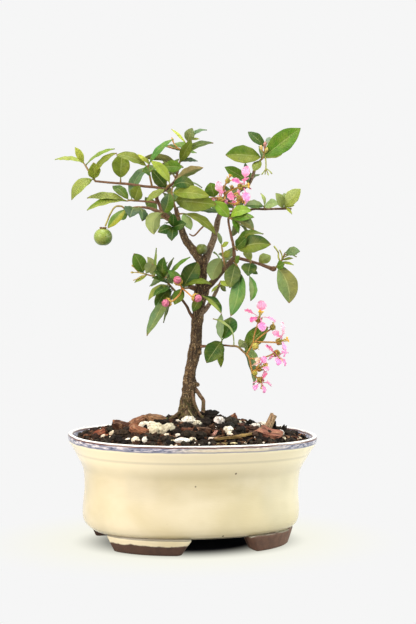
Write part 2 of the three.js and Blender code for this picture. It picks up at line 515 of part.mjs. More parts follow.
const SHOOTS = {
  left_arm_tip: {
    stem: [[-59.8, 205.7, -10], [-62.5, 209.5, -11.6], [-65, 213.5, -13.4], [-66.6, 215.8, -14.6, 0.4]],
    leaves: [
      [3, -83.1, 216.8, -25.7, 6, 65, 2.4], [3, -72.1, 224.9, -8, 4.5, 20],
      [2.4, -49, 224.4, -6, 5, 66, 2.2], [0.2, -47, 221.5, -5, 7, 62, 4],
      [0.3, -73.2, 194.8, -5, 8, 34, 4.4], [0.3, -61.2, 216.6, -4, 7.6, 10],
    ],
  },
  left_arm_middle: {
    stem: [[-45.3, 204.8, -7], [-45.3, 207.2, -5.4, 0.4]],
    leaves: [[1, -45, 222, -4, 10.5, 5, 1.4]],
  },
  left_upper: {
    stem: [[-27.2, 203.2, -3.4], [-28.8, 210, -1.5], [-30, 214.5, 0], [-29.2, 216, 0.5, 0.4]],
    leaves: [
      [2, -48, 221.5, 3, 7.5, 45, 2], [3, -15.6, 230.8, 4, 5.8, 46, 2.6], [3, -36, 221.5, 2, 2.4, 30],
      [3, -32.6, 219.8, 5, 2.2, 30], [1.2, -33, 212, 12, 6, 40, 1.5], [1.2, -24, 215, -19, 7, 45, 1.5],
    ],
  },
  left_inner: {
    seat: 0.8,
    stem: [[-20.6, 200.9, -2.4], [-18.6, 203.2, 3], [-17, 205.2, 6.4, 0.4]],
    leaves: [
      [0.8, -27.7, 212.8, 7, 8, 14], [2, -28.4, 217.8, 10, 6.2, 30, 1, 1.2],
      [0.6, -30.2, 195.2, 6, 5.5, 40],
    ],
  },
  left_middle_tip: {
    stem: [[-36.8, 195.1, -7.6], [-39.5, 195.3, -8.5], [-41.5, 194.8, -9.2, 0.4]],
    leaves: [
      [2, -64.2, 195.2, -14, 7.5, 58, 2.6], [2, -64.3, 189.2, -8, 7, 58, 2.4],
      [1.4, -49.8, 203.5, -15, 6.4, 30, 1.5], [0.7, -29.3, 215, -12, 8, 40, 2.5, 2],
      [0, -34.2, 204, -2, 8, 16],
    ],
  },
  left_fruit_shoot: {
    stem: [
      [-32.6, 191.5, 7], [-36, 191.4, 8], [-41.8, 190.4, 9], [-44.7, 191.8, 10, 0.5],
      [-48.1, 191.3, 11, 0.45], [-50.8, 187.2, 12, 0.45], [-53.5, 180.2, 12.6, 0.45],
    ],
    leaves: [
      [2, -52.1, 178.8, 17, 5.6, 25], [1.2, -39.6, 185.4, 20, 9.6, 14, 1.5],
      [0.6, -32.3, 183.6, 14, 7, 44, 1.5], [1.4, -44, 184, 2, 6, 45, 1.5],
    ],
  },
  left_fork_pair: {
    seat: 1.4,
    stem: [[-20, 187.4, 4.2], [-20.3, 188.3, 7], [-20.6, 188.8, 9, 0.4]],
    leaves: [[1.7, -25, 176.5, 18, 9.4, 160, 1, -3], [1.4, -17.6, 200.4, 13, 8, 20, 1, -1.5]],
  },
  left_rosette: {
    seat: 1.9,
    stem: [[-10.6, 182, 5], [-13, 181.2, 9.5], [-14.5, 180.4, 13, 0.45]],
    leaves: [
      [2, -23.4, 177.3, 20, 6, 20], [2, -15.2, 172.2, 22, 6.6, 6], [2, -14.4, 188.4, 21, 5.6, 10],
      [2, -6.8, 182.6, 19, 5.8, 18],
    ],
  },
  fork_mint: {
    seat: 1.4,
    stem: [[-12.6, 188, 5.2], [-9.4, 188.4, 8.6, 0.45]],
    leaves: [[1, -4.4, 179, 14, 6, 20], [1, 9.6, 176.2, 11, 6.8, 45, 4]],
  },
  top_shoot: {
    stem: [[-12, 216.6, -8], [-10, 223, -8.5], [-8, 228, -9], [-6.3, 231, -9, 0.4]],
    leaves: [
      [2.4, -5, 237.4, -6, 6.4, 14], [3, 3.4, 236.5, -12, 4.5, 60, 2.2],
      [3, -0.7, 231.2, -9, 1.8, 30, 0.3], [2, -16.7, 236.8, -11, 2.2, 40, 0.5],
      [0.7, 7.4, 228.9, -4, 6.5, 52, 3], [0.2, -5.2, 230.4, -2, 6.2, 6],
      [1.1, -20.5, 226.8, -6, 5, 60, 1.2], [0.2, -1.5, 219, -13, 5, 60], [1.4, -14, 228, -26, 7, 40, 1.5],
      [0.9, -3, 224, -25, 7, 50, 1.5],
    ],
  },
  upper_centre: {
    stem: [[-12.2, 215.4, -7.8], [-11, 215.6, -4.6], [-9.8, 214.8, -1.6, 0.45]],
    leaves: [[2, -21.2, 215, 0, 7.6, 22, 0.6], [0.4, -33, 219, -9, 7, 122, 3]],
  },
  upper_right_pair: {
    stem: [[-14.4, 206.6, -5.8], [-14.2, 207.2, -1], [-13.8, 207.8, 2.4, 0.45]],
    leaves: [[2, 1.7, 215.4, 6, 7, 142], [1.5, -3.5, 204, -4, 6, 55, 1.5]],
  },
  centre_left: {
    seat: 0.2,
    stem: [[-13.3, 191, 5], [-15, 196, 5.4], [-15.8, 200, 5.8], [-15.6, 203.6, 6.2, 0.45]],
    leaves: [
      [1, 9.4, 194.2, 13, 11.5, 6, 1.6], [2, 5.4, 198.9, 16, 8.6, 30, 2],
      [2.8, 1.4, 202.6, 2, 5, 75, 4.2], [3, -3, 204.2, 11, 7, 24, 2, 1.6],
    ],
  },
  centre_back: {
    seat: 1.6,
    stem: [[11.4, 187, -3.6], [11.6, 189.2, -8, 0.45]],
    leaves: [[1, -2.4, 191.4, -9, 5, 46], [1, 4, 197, -24, 9, 40, 1.5]],
  },
  flower_leaf: {
    stem: [[13.2, 194.5, -3], [10.6, 196.6, -3], [8.6, 197.8, -3, 0.4]],
    leaves: [[2, 5.9, 206.4, -2.5, 9.5, 10], [1, 24, 199, -7, 4.6, 56], [0.4, 20.2, 192.6, -3, 4.6, 30]],
  },
  right_inner: {
    seat: 0.8,
    stem: [[17.2, 186, 3], [17.4, 186.4, 6], [18, 186.6, 9], [19.4, 185.6, 11, 0.45]],
    leaves: [
      [1.4, 8.4, 195.6, 10, 7.6, 24], [2, 30, 191, 13, 7.4, 42, 3], [3, 31.7, 187.4, 16, 5.6, 36, 1.6],
      [3, 31.8, 180.4, 20, 8, 136, 2.6], [2.6, 23.3, 178.2, 14, 3.8, 35], [2, 29, 184, 3, 6, 70],
    ],
  },
  right_middle_inner: {
    seat: 0.9,
    stem: [[20.3, 170.4, 5], [21.4, 169.8, 9], [22.4, 168, 11.4, 0.45]],
    leaves: [
      [0.9, 37.1, 178.4, 7, 7.4, 50, 4.2], [1.4, 27.8, 175.8, 18, 6.4, 12],
      [2, 41.3, 172.4, 20, 10.6, 24, 2.4, 0.8], [0.8, 37.6, 174.9, 0, 6, 58, 1.2],
    ],
  },
  centre_small: {
    seat: 1.5,
    stem: [[16, 158, 6], [15.4, 160.5, 10.6], [14.6, 164.2, 10.8], [13.4, 171, 10, 0.4]],
    leaves: [
      [3, 10.8, 178.2, 12, 3.4, 40, 0.5], [2.8, 17.4, 172.8, 12, 2.8, 30, 0.5],
      [2, 18.8, 167.4, 14, 4.2, 15, 0.6], [1.9, 8.2, 150.6, 15, 9.6, 158, 1, -1],
    ],
  },
  right_middle_olive: {
    seat: 1.1,
    stem: [[35.8, 160.5, 6], [35.3, 161, 3.4], [34.8, 161, 1.4, 0.45]],
    leaves: [[2, 41.6, 165.3, -1, 7, 20]],
  },
  right_hanging: {
    seat: 1.1,
    stem: [[30.5, 162.1, 6.8], [30.3, 160.8, 10], [29.8, 157, 9], [29.4, 154.3, 8, 0.45]],
    leaves: [
      [0.6, 28.9, 153.2, 19, 9, 8], [3, 31.4, 139.4, 11, 6, 40, 1, 1.5], [2, 34.6, 154.8, 10, 3, 30, 0.5],
      [0.5, 27, 168.6, -4, 5, 20],
    ],
  },
  centre_hanging: {
    seat: 1.5,
    stem: [[20.6, 162.4, 6], [22, 160.2, 9.4], [23.8, 156.9, 11.4, 0.45]],
    leaves: [
      [0.8, 18.8, 146, 19, 9.4, 6], [2, 19.5, 130.3, 20, 9, 20, 1.5, -2.6],
      [0.8, 24, 165, 17, 4, 40, 0.5],
    ],
  },
  right_end: {
    seat: 1.6,
    stem: [[43.8, 158, 6.2], [45.4, 159.4, 7.2], [47.6, 162, 7.4], [49, 164.8, 7.2], [50, 167.4, 7, 0.4]],
    leaves: [
      [0.9, 53, 138.4, 13, 11.6, 12, 1.6, 2.4], [1, 49.9, 161.2, 12, 5, 15, 0.6],
      [4, 58.6, 168.2, 10, 6, 30, 1.4], [3.6, 56.8, 165.4, 5, 3.4, 68, 0.8],
      [2.4, 54.6, 164.6, 10, 2, 40, 0.3], [2, 55.2, 160.7, 9, 2, 30, 0.6], [1.6, 51, 149, -10, 7, 30, 2],
    ],
  },
  right_arm_tip: {
    stem: [[47.8, 192.7, 3], [49.6, 193.6, 3.2, 0.45]],
    leaves: [
      [0.4, 58.1, 204.1, 7, 8.4, 26], [0.2, 48.2, 201.8, -4, 6, 30], [0.2, 43.4, 201.4, 8, 6.4, 35],
      [1, 54.6, 194.7, 5, 2, 30, 0.3], [1, 53.4, 189.8, 6, 2, 30, 0.3],
    ],
  },
  right_arm_middle: {
    stem: [[37.5, 192, 3.8], [37.4, 194, 6.4, 0.45]],
    leaves: [[1, 45.4, 195, 14, 6.4, 40], [1, 35.3, 201.2, 4, 3.4, 56], [0.8, 26.4, 193.6, 8, 7.4, 50]],
  },
  top_right: {
    stem: [[31.4, 215, -7, 0.7], [34, 219.4, -6.4], [36.2, 222, -6], [37, 226, -6], [37, 229, -6, 0.4]],
    leaves: [
      [1.8, 57.05, 238.9, -1, 12, 6, 1.6], [1.6, 47, 224.3, -15, 6, 42], [3.4, 26.9, 235.8, -9, 6.5, 30],
      [4, 42, 232.5, -13, 5, 30], [1.8, 14.3, 222.4, -1, 11.4, 32, 1.5], [1.2, 30.6, 213.2, 2, 5.2, 20],
      [1.4, 34, 226, -24, 8, 50, 1.5],
    ],
  },
  top_right_low: {
    stem: [[28, 206.2, -8], [27.4, 207.6, -4.8, 0.45]],
    leaves: [[1, 13.9, 215.4, -3, 7, 26], [0.9, 25.4, 218, -9, 5, 42], [0.5, 33, 212, -24, 8, 50, 1.5]],
  },
  lower_left_spray: {
    stem: [
      [-10.8, 142.2, 5], [-14, 145.4, 8], [-17, 148.5, 10], [-20, 150.8, 11], [-25, 152, 12, 0.5],
      [-31, 153.5, 12, 0.4],
    ],
    leaves: [
      [5, -36.5, 164.9, 14, 8, 15], [4, -29.5, 163.2, 4, 7, 140], [4.8, -25.6, 159.4, 21, 6.6, 170],
      [3.9, -23.3, 168.3, 9, 4, 62, 0.6], [3, -19.2, 163.4, 17, 7, 34], [2.8, -13.5, 163, 13, 4, 58, 0.6],
      [2.4, -5, 164.1, 15, 5, 62, 1.4], [2.6, -24.8, 154.8, 19, 4.6, 35],
      [1.8, -26.2, 151, 18, 5, 52, 1.8], [1.6, -27.6, 137.8, 16, 5.5, 48, 3.4],
      [1.3, -24.9, 140, 22, 6, 44, 2], [1, -23, 133.3, 13, 7, 20, 1, 1.5],
      [0.9, -27.9, 117.2, 21, 8, 36, 1.5], [0.6, -18.3, 125.4, 2, 5, 68], [2.6, -27, 147, -6, 7, 50, 1.5],
      [1.8, -10, 153, -5, 7, 40, 1.5], [4.6, -36, 148.2, 13, 2.8, 30, 0.6],
    ],
  },
  lower_left_buds: {
    seat: 0.9,
    stem: [[-4.2, 146, 3.2], [-8.4, 145.5, 8, 0.55]],
    leaves: [
      [1, -17.2, 155.6, 16, 5.2, 15, 1, 1.2], [1, -12.7, 135.9, 13, 6.8, 10], [1, 0.3, 161, 9, 10.5, 6],
      [1, 8.5, 148, 15, 7, 60, 3],
    ],
  },
  trunk_low_leaves: {
    seat: 3.6,
    stem: [[2.2, 141, 2.6], [2.9, 141.4, 6.4, 0.45]],
    leaves: [[1, 14.2, 131.5, 14, 7, 48, 2.6], [0.8, -2.2, 132.2, 10, 5.6, 10]],
  },
  grey_branch_tip: {
    stem: [[12.2, 147.6, 8.6], [13.6, 150.4, 9, 0.45]],
    leaves: [
      [1, 17.6, 147.3, 14, 4, 30, 0.5], [0.3, 16.6, 144.6, 6, 3.8, 30, 0.5],
      [0.2, 8.4, 143.6, 11, 2, 40, 0.4],
    ],
  },
  lower_right_near: {
    stem: [[14.6, 113.4, 6], [15, 116, 6.4, 0.45]],
    leaves: [
      [1, 6.5, 103, 15, 11, 6, 1.2], [0.7, 14.8, 100.6, 3, 4.6, 30, 0.8], [1, 15, 131.5, 4, 7, 50],
      [1, 19.5, 129.8, -4, 10, 15, 1, -1.5],
    ],
  },
  lower_right_far: {
    stem: [[19.8, 113.1, 7.2], [24, 112.8, 8], [27.5, 110, 9], [29, 108.6, 10, 0.45]],
    leaves: [
      [0.5, 9.3, 128.4, 12, 5, 78, 4.8], [1.2, 28.5, 115.2, 15, 6.5, 165, 0.6],
      [2.4, 41.3, 124.5, 5, 10, 15, 1.4, 1],
      [2.4, 35, 89.5, 0, 8, 60, 1.5], [1.8, 36, 104, -8, 8, 40, 1.5],
    ],
  },
};

// A stem that starts clear of the wood it grows from, whose radius is its seat
function stemFrom(points, seat) {
  const stations = route(points);
  const start = stations[0].at.clone();
  const reach = stations[1].at.distanceTo(start);
  const share = Math.min(0.8, (seat + GAP) / reach);
  const trimmed = { at: start.lerp(stations[1].at, share), radius: stations[0].radius };
  const [beforeLast, last] = stations.slice(-2);
  last.at.add(last.at.clone().sub(beforeLast.at).setLength(STEM_END));
  return tube([trimmed, ...stations.slice(1)], 4);
}

// A leaf's root, just inside its own side of the stem
function leafRoot(at, tip) {
  return at.clone().add(tip.clone().sub(at).setLength(ROOT_OFFSET));
}

function shootSolid({ stem, leaves, seat = TWIG_SEAT }) {
  const stations = route(stem);
  const parts = [stemFrom(stem, seat)];
  for (const [at, ...row] of leaves) {
    const root = leafRoot(pointOn(stations, at), place(...row.slice(0, 3)));
    parts.push(viewBlade(root, row));
  }
  return join(parts);
}

// Shoots at the back, by rule: opposite pairs of leaves, each pair crossing the last
const BACK_PAIRS = 3;
const BACK_SHOOTS = {
  back_left_high: { stem: [[-12.8, 187.6, -23.5], [-14, 192, -29], [-15, 197, -34]], length: 13, seed: 11 },
  back_left_low: { stem: [[-9.4, 179.5, -13], [-17, 184, -17], [-24, 188, -22]], length: 12, seed: 12 },
  back_right_high: { stem: [[19.6, 190.8, -28.4], [19.2, 194, -33], [17.6, 197.4, -38]], length: 11, seed: 13 },
  back_right_low: { stem: [[15.5, 189.5, -18.2], [20, 186.4, -20], [23.8, 182.8, -22]], length: 10, seed: 14 },
  back_middle: { stem: [[10.8, 160.9, -23.6], [13.5, 161, -30], [15.5, 160, -36]], length: 13, seed: 15 },
  back_low: { stem: [[-12.8, 150.4, -19.8], [-17, 151.5, -25], [-21, 152, -31]], length: 12, seed: 16 },
  back_top: { stem: [[-13.6, 208, -13.6], [-15, 210.4, -20], [-16.6, 212.6, -26]], length: 11, seed: 17 },
};

function backShootSolid({ stem, length, seed }) {
  const random = seededRandom(seed);
  const stations = route(stem);
  const parts = [stemFrom(stem, TWIG_SEAT)];
  for (let pair = 0; pair < BACK_PAIRS; pair += 1) {
    const at = ((pair + 1) / BACK_PAIRS) * (stations.length - 1);
    const root = pointOn(stations, at);
    const along = pointOn(stations, at - 0.2).sub(root).negate().normalize();
    const first = new THREE.Vector3().crossVectors(along, UP).normalize();
    const turn = (pair % 2) * (Math.PI / 2) + 0.5 + 0.4 * random();
    for (const half of [0, Math.PI]) {
      const outward = first.clone().applyAxisAngle(along, turn + half);
      const heading = outward.clone().multiplyScalar(0.8).addScaledVector(along, 0.6);
      heading.addScaledVector(UP, 0.1).normalize();
      const reach = length * (0.85 + 0.3 * random());
      const normal = along.clone().multiplyScalar(0.6).addScaledVector(UP, 0.9);
      normal.addScaledVector(outward, -0.3);
      const tip = root.clone().addScaledVector(heading, reach);
      parts.push(blade(leafRoot(root, tip), tip, 0.5 * reach, normal, { bow: 1.3, fold: 0 }));
    }
  }
  return join(parts);
}

// Flowers: a stalk node carries each calyx and its stamens, and the petals are
// a pink wheel round the ovary column

// [centre u, v, w], [the way it faces in u, v, w], petals as [tip u, v, w, width, roll, bow]
const BLOOMS = {
  bloom_low_upper: {
    centre: [36.3, 130.4, 15], faces: [0.2, 0.9, 0.3],
    petals: [
      [37.8, 139.8, 14, 5.4, 0], [27.3, 133.8, 18, 4.6, 72, 0.6], [31.2, 127, 21, 4, 45],
      [38.4, 121.6, 20, 4.6, 8], [45.6, 127.4, 16, 4.4, 72],
    ],
  },
  bloom_low_right: {
    centre: [49.6, 116.8, 17], faces: [0.9, 0.3, 0.1],
    petals: [
      [48.9, 128.2, 15, 4.2, 66, 0.8], [43.6, 121.6, 20, 4.4, 48], [50.8, 107.4, 18, 3.8, 70],
      [50.6, 121, 5, 4.2, 60], [50.2, 112, 26, 4.2, 60],
    ],
  },
  bloom_low_middle: {
    centre: [47.4, 108, 15], faces: [0.4, -0.8, 0.3],
    petals: [
      [40, 114.2, 17, 3.8, 62, 0.5], [47.6, 102.4, 22, 4.2, 28], [51.9, 102.2, 13, 3.8, 62],
      [42.5, 106, 7, 4, 50], [53, 110, 8, 4, 55],
    ],
  },
  bloom_low_pale: {
    centre: [38.4, 101.6, 15], faces: [0.7, 0.5, 0.3],
    petals: [
      [41, 107.2, 17, 4.2, 25], [34, 106.4, 18, 3.6, 40], [33.2, 102.4, 8, 3.8, 50],
      [39, 96.6, 9, 3.8, 50], [42.4, 99.4, 22, 3.2, 55],
    ],
  },
  bloom_low_tip: {
    centre: [38.4, 92.2, 14], faces: [0.3, -0.9, 0.2],
    petals: [
      [34.4, 87.6, 17, 3.4, 40], [39.9, 86.2, 18, 3.2, 50], [44, 90.6, 9, 3.8, 60],
      [41.9, 98, 18, 2.6, 60], [34.2, 92, 8, 3.8, 60],
    ],
  },
  bloom_top_pale: {
    centre: [25.3, 205, 6], faces: [0.9, 0.15, 0.35],
    petals: [
      [26.9, 216.8, 4, 4.4, 6], [18.2, 208.3, 9, 3.8, 40], [27.4, 195.8, 10, 4.6, 20],
      [28.4, 203.8, -3, 4, 60], [27.4, 209.6, -1, 4, 50],
    ],
  },
  bloom_top_left: {
    centre: [11.9, 197, 4], faces: [-0.1, 0.3, -0.9],
    petals: [
      [10.4, 207.6, 5, 4.6, 10], [5.6, 195.2, 6, 3.6, 60], [13.8, 189, 2, 4, 50], [16.2, 194.4, 3, 4, 40],
      [14.2, 202.4, 0, 4, 40],
    ],
  },
  bloom_top_right: {
    centre: [22.6, 198.4, 4], faces: [-0.3, 0.6, -0.7],
    petals: [
      [15.6, 198.8, 9, 5, 20], [26.8, 193.4, 5, 4, 60], [27.6, 199.8, 1, 4, 60], [23.5, 203.6, 0, 4, 50],
      [20.2, 193.4, 3, 4, 50],
    ],
  },
};

const CALYX_PROFILE = [[-3.6, 0.5], [-2.4, 2.1], [-1, 0.6], [1, 0.55], [2.4, 1.3]];
const CALYX_SIDES = 6;
const PETAL_RING_RADIUS = 1.5;
const PETAL_RING_THICK = 0.8;

// A round body about an axis, through rings of [height, radius]
function roundBody(centre, axis, profile, sides, grow = 0) {
  const side = new THREE.Vector3(0.3, 0.5, -0.8).cross(axis).normalize();
  const other = new THREE.Vector3().crossVectors(axis, side);
  const ends = new Map([[0, -grow], [profile.length - 1, grow]]);
  return loft(profile.map(([height, radius], i) => {
    const middle = centre.clone().addScaledVector(axis, height + (ends.get(i) ?? 0));
    const ring = [];
    for (let j = 0; j < sides; j += 1) {
      const angle = (2 * Math.PI * j) / sides;
      const point = middle.clone().addScaledVector(side, (radius + grow) * Math.cos(angle));
      ring.push(point.addScaledVector(other, (radius + grow) * Math.sin(angle)));
    }
    return ring;
  }));
}

function bloomAxis({ faces }) {
  return fromView(...faces).normalize();
}

function calyx(bloom, grow = 0) {
  return roundBody(place(...bloom.centre), bloomAxis(bloom), CALYX_PROFILE, CALYX_SIDES, grow);
}

function petalWheel(bloom) {
  const centre = place(...bloom.centre);
  const axis = bloomAxis(bloom);
  const ring = new THREE.TorusGeometry(PETAL_RING_RADIUS, PETAL_RING_THICK / 2, 4, 6);
  ring.applyQuaternion(new THREE.Quaternion().setFromUnitVectors(UP, axis));
  ring.translate(centre.x, centre.y, centre.z);
  const petals = bloom.petals.map((row) => {
    const tip = place(...row.slice(0, 3));
    const away = tip.clone().sub(centre);
    away.addScaledVector(axis, -away.dot(axis)).normalize();
    const root = centre.clone().addScaledVector(away, PETAL_RING_RADIUS);
    return viewBlade(root, row, { fold: 0, outline: PETAL_OUTLINE, thick: PETAL_THICK });
  });
  return join([solidFromGeometry(ring), ...petals]);
}

// Stalks as routes, with spent calyxes standing on them
const FLOWER_STALKS = {
  lower_right_flower_stalks: {
    color: 0xb08a4a,
    blooms: ['bloom_low_upper', 'bloom_low_right', 'bloom_low_middle', 'bloom_low_pale', 'bloom_low_tip'],
    routes: [
      [
        [29.4, 108.6, 10.8, 0.6], [31, 106.2, 12, 0.6], [33, 98.6, 12.6, 0.55], [35.4, 95.4, 13, 0.5],
        [37, 95.2, 13.6, 0.5],
      ],
      [[31, 106.2, 12, 0.5], [36, 106.2, 13, 0.45], [42.4, 108, 14.2, 0.45], [46.4, 110.6, 14.6, 0.5]],
      [[29.6, 108.8, 11, 0.6], [33.2, 115.2, 13, 0.55]],
      [[33.2, 115.2, 13, 0.45], [33.4, 119, 13.6, 0.45], [35.8, 127.6, 14.4, 0.5]],
      [[33.2, 115.2, 13, 0.45], [38.5, 120, 13.4, 0.45], [43.6, 123.9, 13.4, 0.5]],
      [[33.2, 115.2, 13, 0.45], [36, 115.8, 14, 0.45], [46.9, 115.8, 16.8, 0.5]],
      [[33, 98.6, 12.6, 0.45], [36.4, 100.4, 14.6, 0.45]],
    ],
    spent: [[44, 124.6, 13.6, 2.4], [34.4, 113.4, 15, 2.7], [34.6, 97.8, 14.6, 2]],
  },
  top_flower_stalks: {
    color: 0xb98b4e,
    blooms: ['bloom_top_pale', 'bloom_top_left', 'bloom_top_right'],
    routes: [
      [[12.9, 195.9, -1.2, 0.6], [14.6, 198.4, 3, 0.5], [14.4, 197, 7, 0.45], [12.2, 196.1, 6.9, 0.45]],
      [[14.3, 198.2, 2, 0.5], [15.2, 200.8, 2.6, 0.45], [18.6, 202.6, 3.4, 0.45], [22.6, 204.5, 5, 0.5]],
      [[13.6, 197, 0.6, 0.45], [17, 195.2, 3.4, 0.45], [21, 194.8, 6.4, 0.45], [23.5, 196.5, 6.3, 0.5]],
      [[14.6, 199.4, 2.2, 0.45], [13.8, 203, 2, 0.45], [15.2, 206.6, 2, 0.5]],
    ],
    spent: [[16, 207.9, 2, 2.1], [18.5, 204.2, 4.8, 1.6]],
  },
};

function flowerStalkSolid({ routes, spent, blooms }, grow = 0) {
  const parts = routes.map((points) => tube(route(points, grow), 4));
  for (const name of blooms) parts.push(calyx(BLOOMS[name], grow / FLAT_SHARE));
  for (const [u, v, w, radius] of spent) {
    const ball = new THREE.IcosahedronGeometry(radius + grow, 0);
    const centre = place(u, v, w);
    ball.translate(centre.x, centre.y, centre.z);
    parts.push(solidFromGeometry(ball));
  }
  return join(parts);
}

// Round buds on bent stalks: the bud's centre and the point where its stalk enters
const BUD_STALK_START = [-8.8, 145.6, 9.4];
const BUDS = {
  flower_bud_top: { centre: [-11.5, 150.4, 17], bends: [[-9.6, 147.4, 13.6]] },
  flower_bud_left: { centre: [-17.9, 136.8, 24], bends: [[-10, 142, 15.6], [-13.6, 138.4, 20.4]] },
  flower_bud_right: { centre: [0.6, 140, 20], bends: [[-6, 143.6, 15], [-3, 141, 18.4]] },
};
const BUD_CUP_DEPTH = 3.1;
const BUD_CUP_PROFILE = [[-0.6, 0.5], [0.1, 1.9], [2.1, 3.05], [2.1, 2.65], [0.4, 1.6], [0.35, 0.4]];
const BUD_SIDES = 6;

function budParts({ centre, bends }) {
  const middle = place(...centre);
  const axis = middle.clone().sub(place(...bends.at(-1))).normalize();
  return { middle, axis };
}

function budSolid(bud, grow = 0) {
  const { middle, axis } = budParts(bud);
  const r = BUD_RADIUS + grow;
  const shoulder = r * Math.SQRT1_2;
  const profile = [[-r, 0.4], [-shoulder, shoulder], [0, r], [shoulder, shoulder], [r, 0.4]];
  return roundBody(middle, axis, profile, BUD_SIDES);
}

function budStalkSolid(grow = 0) {
  const parts = [tube(route([[-8.4, 145.5, 8.6, 0.6], [...BUD_STALK_START, 0.6]], grow), 4)];
  for (const bud of Object.values(BUDS)) {
    const { middle, axis } = budParts(bud);
    const cupFoot = middle.clone().addScaledVector(axis, -BUD_CUP_DEPTH);
    const path = route([[...BUD_STALK_START, 0.45], ...bud.bends.map((point) => [...point, 0.45])], grow);
    parts.push(tube([...path, { at: cupFoot, radius: 0.5 + grow }], 4));
    const cup = roundBody(cupFoot, axis, BUD_CUP_PROFILE, BUD_SIDES, grow);
    parts.push(cup);
  }
  return join(parts);
}

// Fruits: three shallow lobes about a hanging axis

function fruitSolid(centre, radius, lobes, grow = 0) {
  const ball = new THREE.SphereGeometry(radius + grow, 12, 8);
  const position = ball.attributes.position;
  for (let i = 0; i < position.count; i += 1) {
    const [x, y, z] = [position.getX(i), position.getY(i), position.getZ(i)];
    const angle = Math.atan2(z, x);
    const swell = 1 + lobes * Math.cos(3 * angle) * Math.hypot(x, z) / radius;
    position.setXYZ(i, x * swell, y * 0.96, z * swell);
  }
  ball.rotateX(Math.PI / 2);
  ball.translate(centre.x, centre.y, centre.z);
  return solidFromGeometry(ball);
}

// Assembly

const clearances = {
  wood: woodSolid(GAP),
  lowFlowers: flowerStalkSolid(FLOWER_STALKS.lower_right_flower_stalks, GAP),
  topFlowers: flowerStalkSolid(FLOWER_STALKS.top_flower_stalks, GAP),
  budStalks: budStalkSolid(GAP),
};
const fruits = {
  fruit_left: [place(-54.8, 173.9, 13), FRUIT_RADIUS, 0.03],
  fruit_fork: [place(2, 168.3, 3.4), SMALL_FRUIT_RADIUS, 0.04],
};

const tree = new THREE.Group();
tree.add(mesh('pot', potSolid(), 0xdecda0, 0.25));
tree.add(mesh('drain_screen_left', screenSolid(-DRAIN_X), 0x2c2c2a, 0.7));
tree.add(mesh('drain_screen_right', screenSolid(DRAIN_X), 0x2c2c2a, 0.7));
tree.add(mesh('soil', soilSolid(clearances.wood), 0x3a2c22, 0.95));
tree.add(mesh('trunk', woodSolid(), 0x6b5238, 0.9));

// Adds a node, cut clear of the pieces that it stands against
function addClear(name, solid, others, color, roughness) {
  const cut = whole(solid.subtract(join(others)));
  tree.add(mesh(name, cut, color, roughness));
}

const LEAF_GREEN = 0x4f7a34;
const PETAL_PINK = 0xf08cb4;
const { wood, lowFlowers, topFlowers } = clearances;
const budClearances = Object.values(BUDS).map((bud) => budSolid(bud, GAP));
const fruitClearances = Object.values(fruits).map((fruit) => fruitSolid(...fruit, GAP));
const shootClearances = [...Object.values(clearances), ...fruitClearances, ...budClearances];

for (const [name, fruit] of Object.entries(fruits)) {
  addClear(name, fruitSolid(...fruit), [wood], 0x6f8b34, 0.4);
}
for (const [name, stalks] of Object.entries(FLOWER_STALKS)) {
  addClear(name, flowerStalkSolid(stalks), [wood], stalks.color, 0.6);
}
addClear('flower_bud_stalks', budStalkSolid(), [wood], 0xd09a52, 0.6);
for (const [name, bud] of Object.entries(BUDS)) addClear(name, budSolid(bud), [wood], 0xd9698c, 0.5);
for (const [name, bloom] of Object.entries(BLOOMS)) {
  addClear(name, petalWheel(bloom), [lowFlowers, topFlowers, wood], PETAL_PINK, 0.6);
}
for (const [name, shoot] of Object.entries(SHOOTS)) {
  addClear(name, shootSolid(shoot), shootClearances, LEAF_GREEN, 0.55);
}
for (const [name, shoot] of Object.entries(BACK_SHOOTS)) {
  addClear(name, backShootSolid(shoot), shootClearances, LEAF_GREEN, 0.55);
}

export default tree;
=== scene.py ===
"""Barbados cherry bonsai in its glazed oval pot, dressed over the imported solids.

The tables hold millimetres. Those of the tree are laid out as it is seen from its
best side, as u to the right, v up and w towards the viewer from the middle of the
pot. A mesh is given its metres when it is made.
"""

import logging
import math
from dataclasses import dataclass, field
from enum import Enum

import bmesh
import bpy
import numpy as np
from mathutils import Matrix, Vector


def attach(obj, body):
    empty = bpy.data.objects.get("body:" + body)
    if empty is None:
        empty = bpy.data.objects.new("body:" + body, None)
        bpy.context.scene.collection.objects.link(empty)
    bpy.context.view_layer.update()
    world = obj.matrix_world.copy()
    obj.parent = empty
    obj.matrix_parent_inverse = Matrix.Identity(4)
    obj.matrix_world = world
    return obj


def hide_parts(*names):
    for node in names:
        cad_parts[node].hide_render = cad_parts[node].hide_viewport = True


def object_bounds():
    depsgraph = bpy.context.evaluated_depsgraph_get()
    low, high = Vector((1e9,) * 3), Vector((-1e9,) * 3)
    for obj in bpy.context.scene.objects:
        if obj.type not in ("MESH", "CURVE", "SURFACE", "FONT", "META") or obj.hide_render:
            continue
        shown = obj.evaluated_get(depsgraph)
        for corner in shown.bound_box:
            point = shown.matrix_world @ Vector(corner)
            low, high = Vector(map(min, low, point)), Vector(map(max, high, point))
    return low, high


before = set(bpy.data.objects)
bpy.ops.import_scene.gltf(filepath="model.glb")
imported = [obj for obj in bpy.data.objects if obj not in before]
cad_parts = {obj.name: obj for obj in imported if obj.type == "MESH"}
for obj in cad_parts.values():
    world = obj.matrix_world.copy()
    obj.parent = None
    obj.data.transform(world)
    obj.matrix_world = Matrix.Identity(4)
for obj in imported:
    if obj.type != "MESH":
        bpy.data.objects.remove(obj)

Array = np.ndarray
Route = tuple[tuple[float, ...], ...]
Socket = bpy.types.NodeSocket
Material = bpy.types.Material
Chances = np.random.Generator

log = logging.getLogger("bonsai")
logging.basicConfig(level=logging.INFO, format="%(name)s: %(message)s")

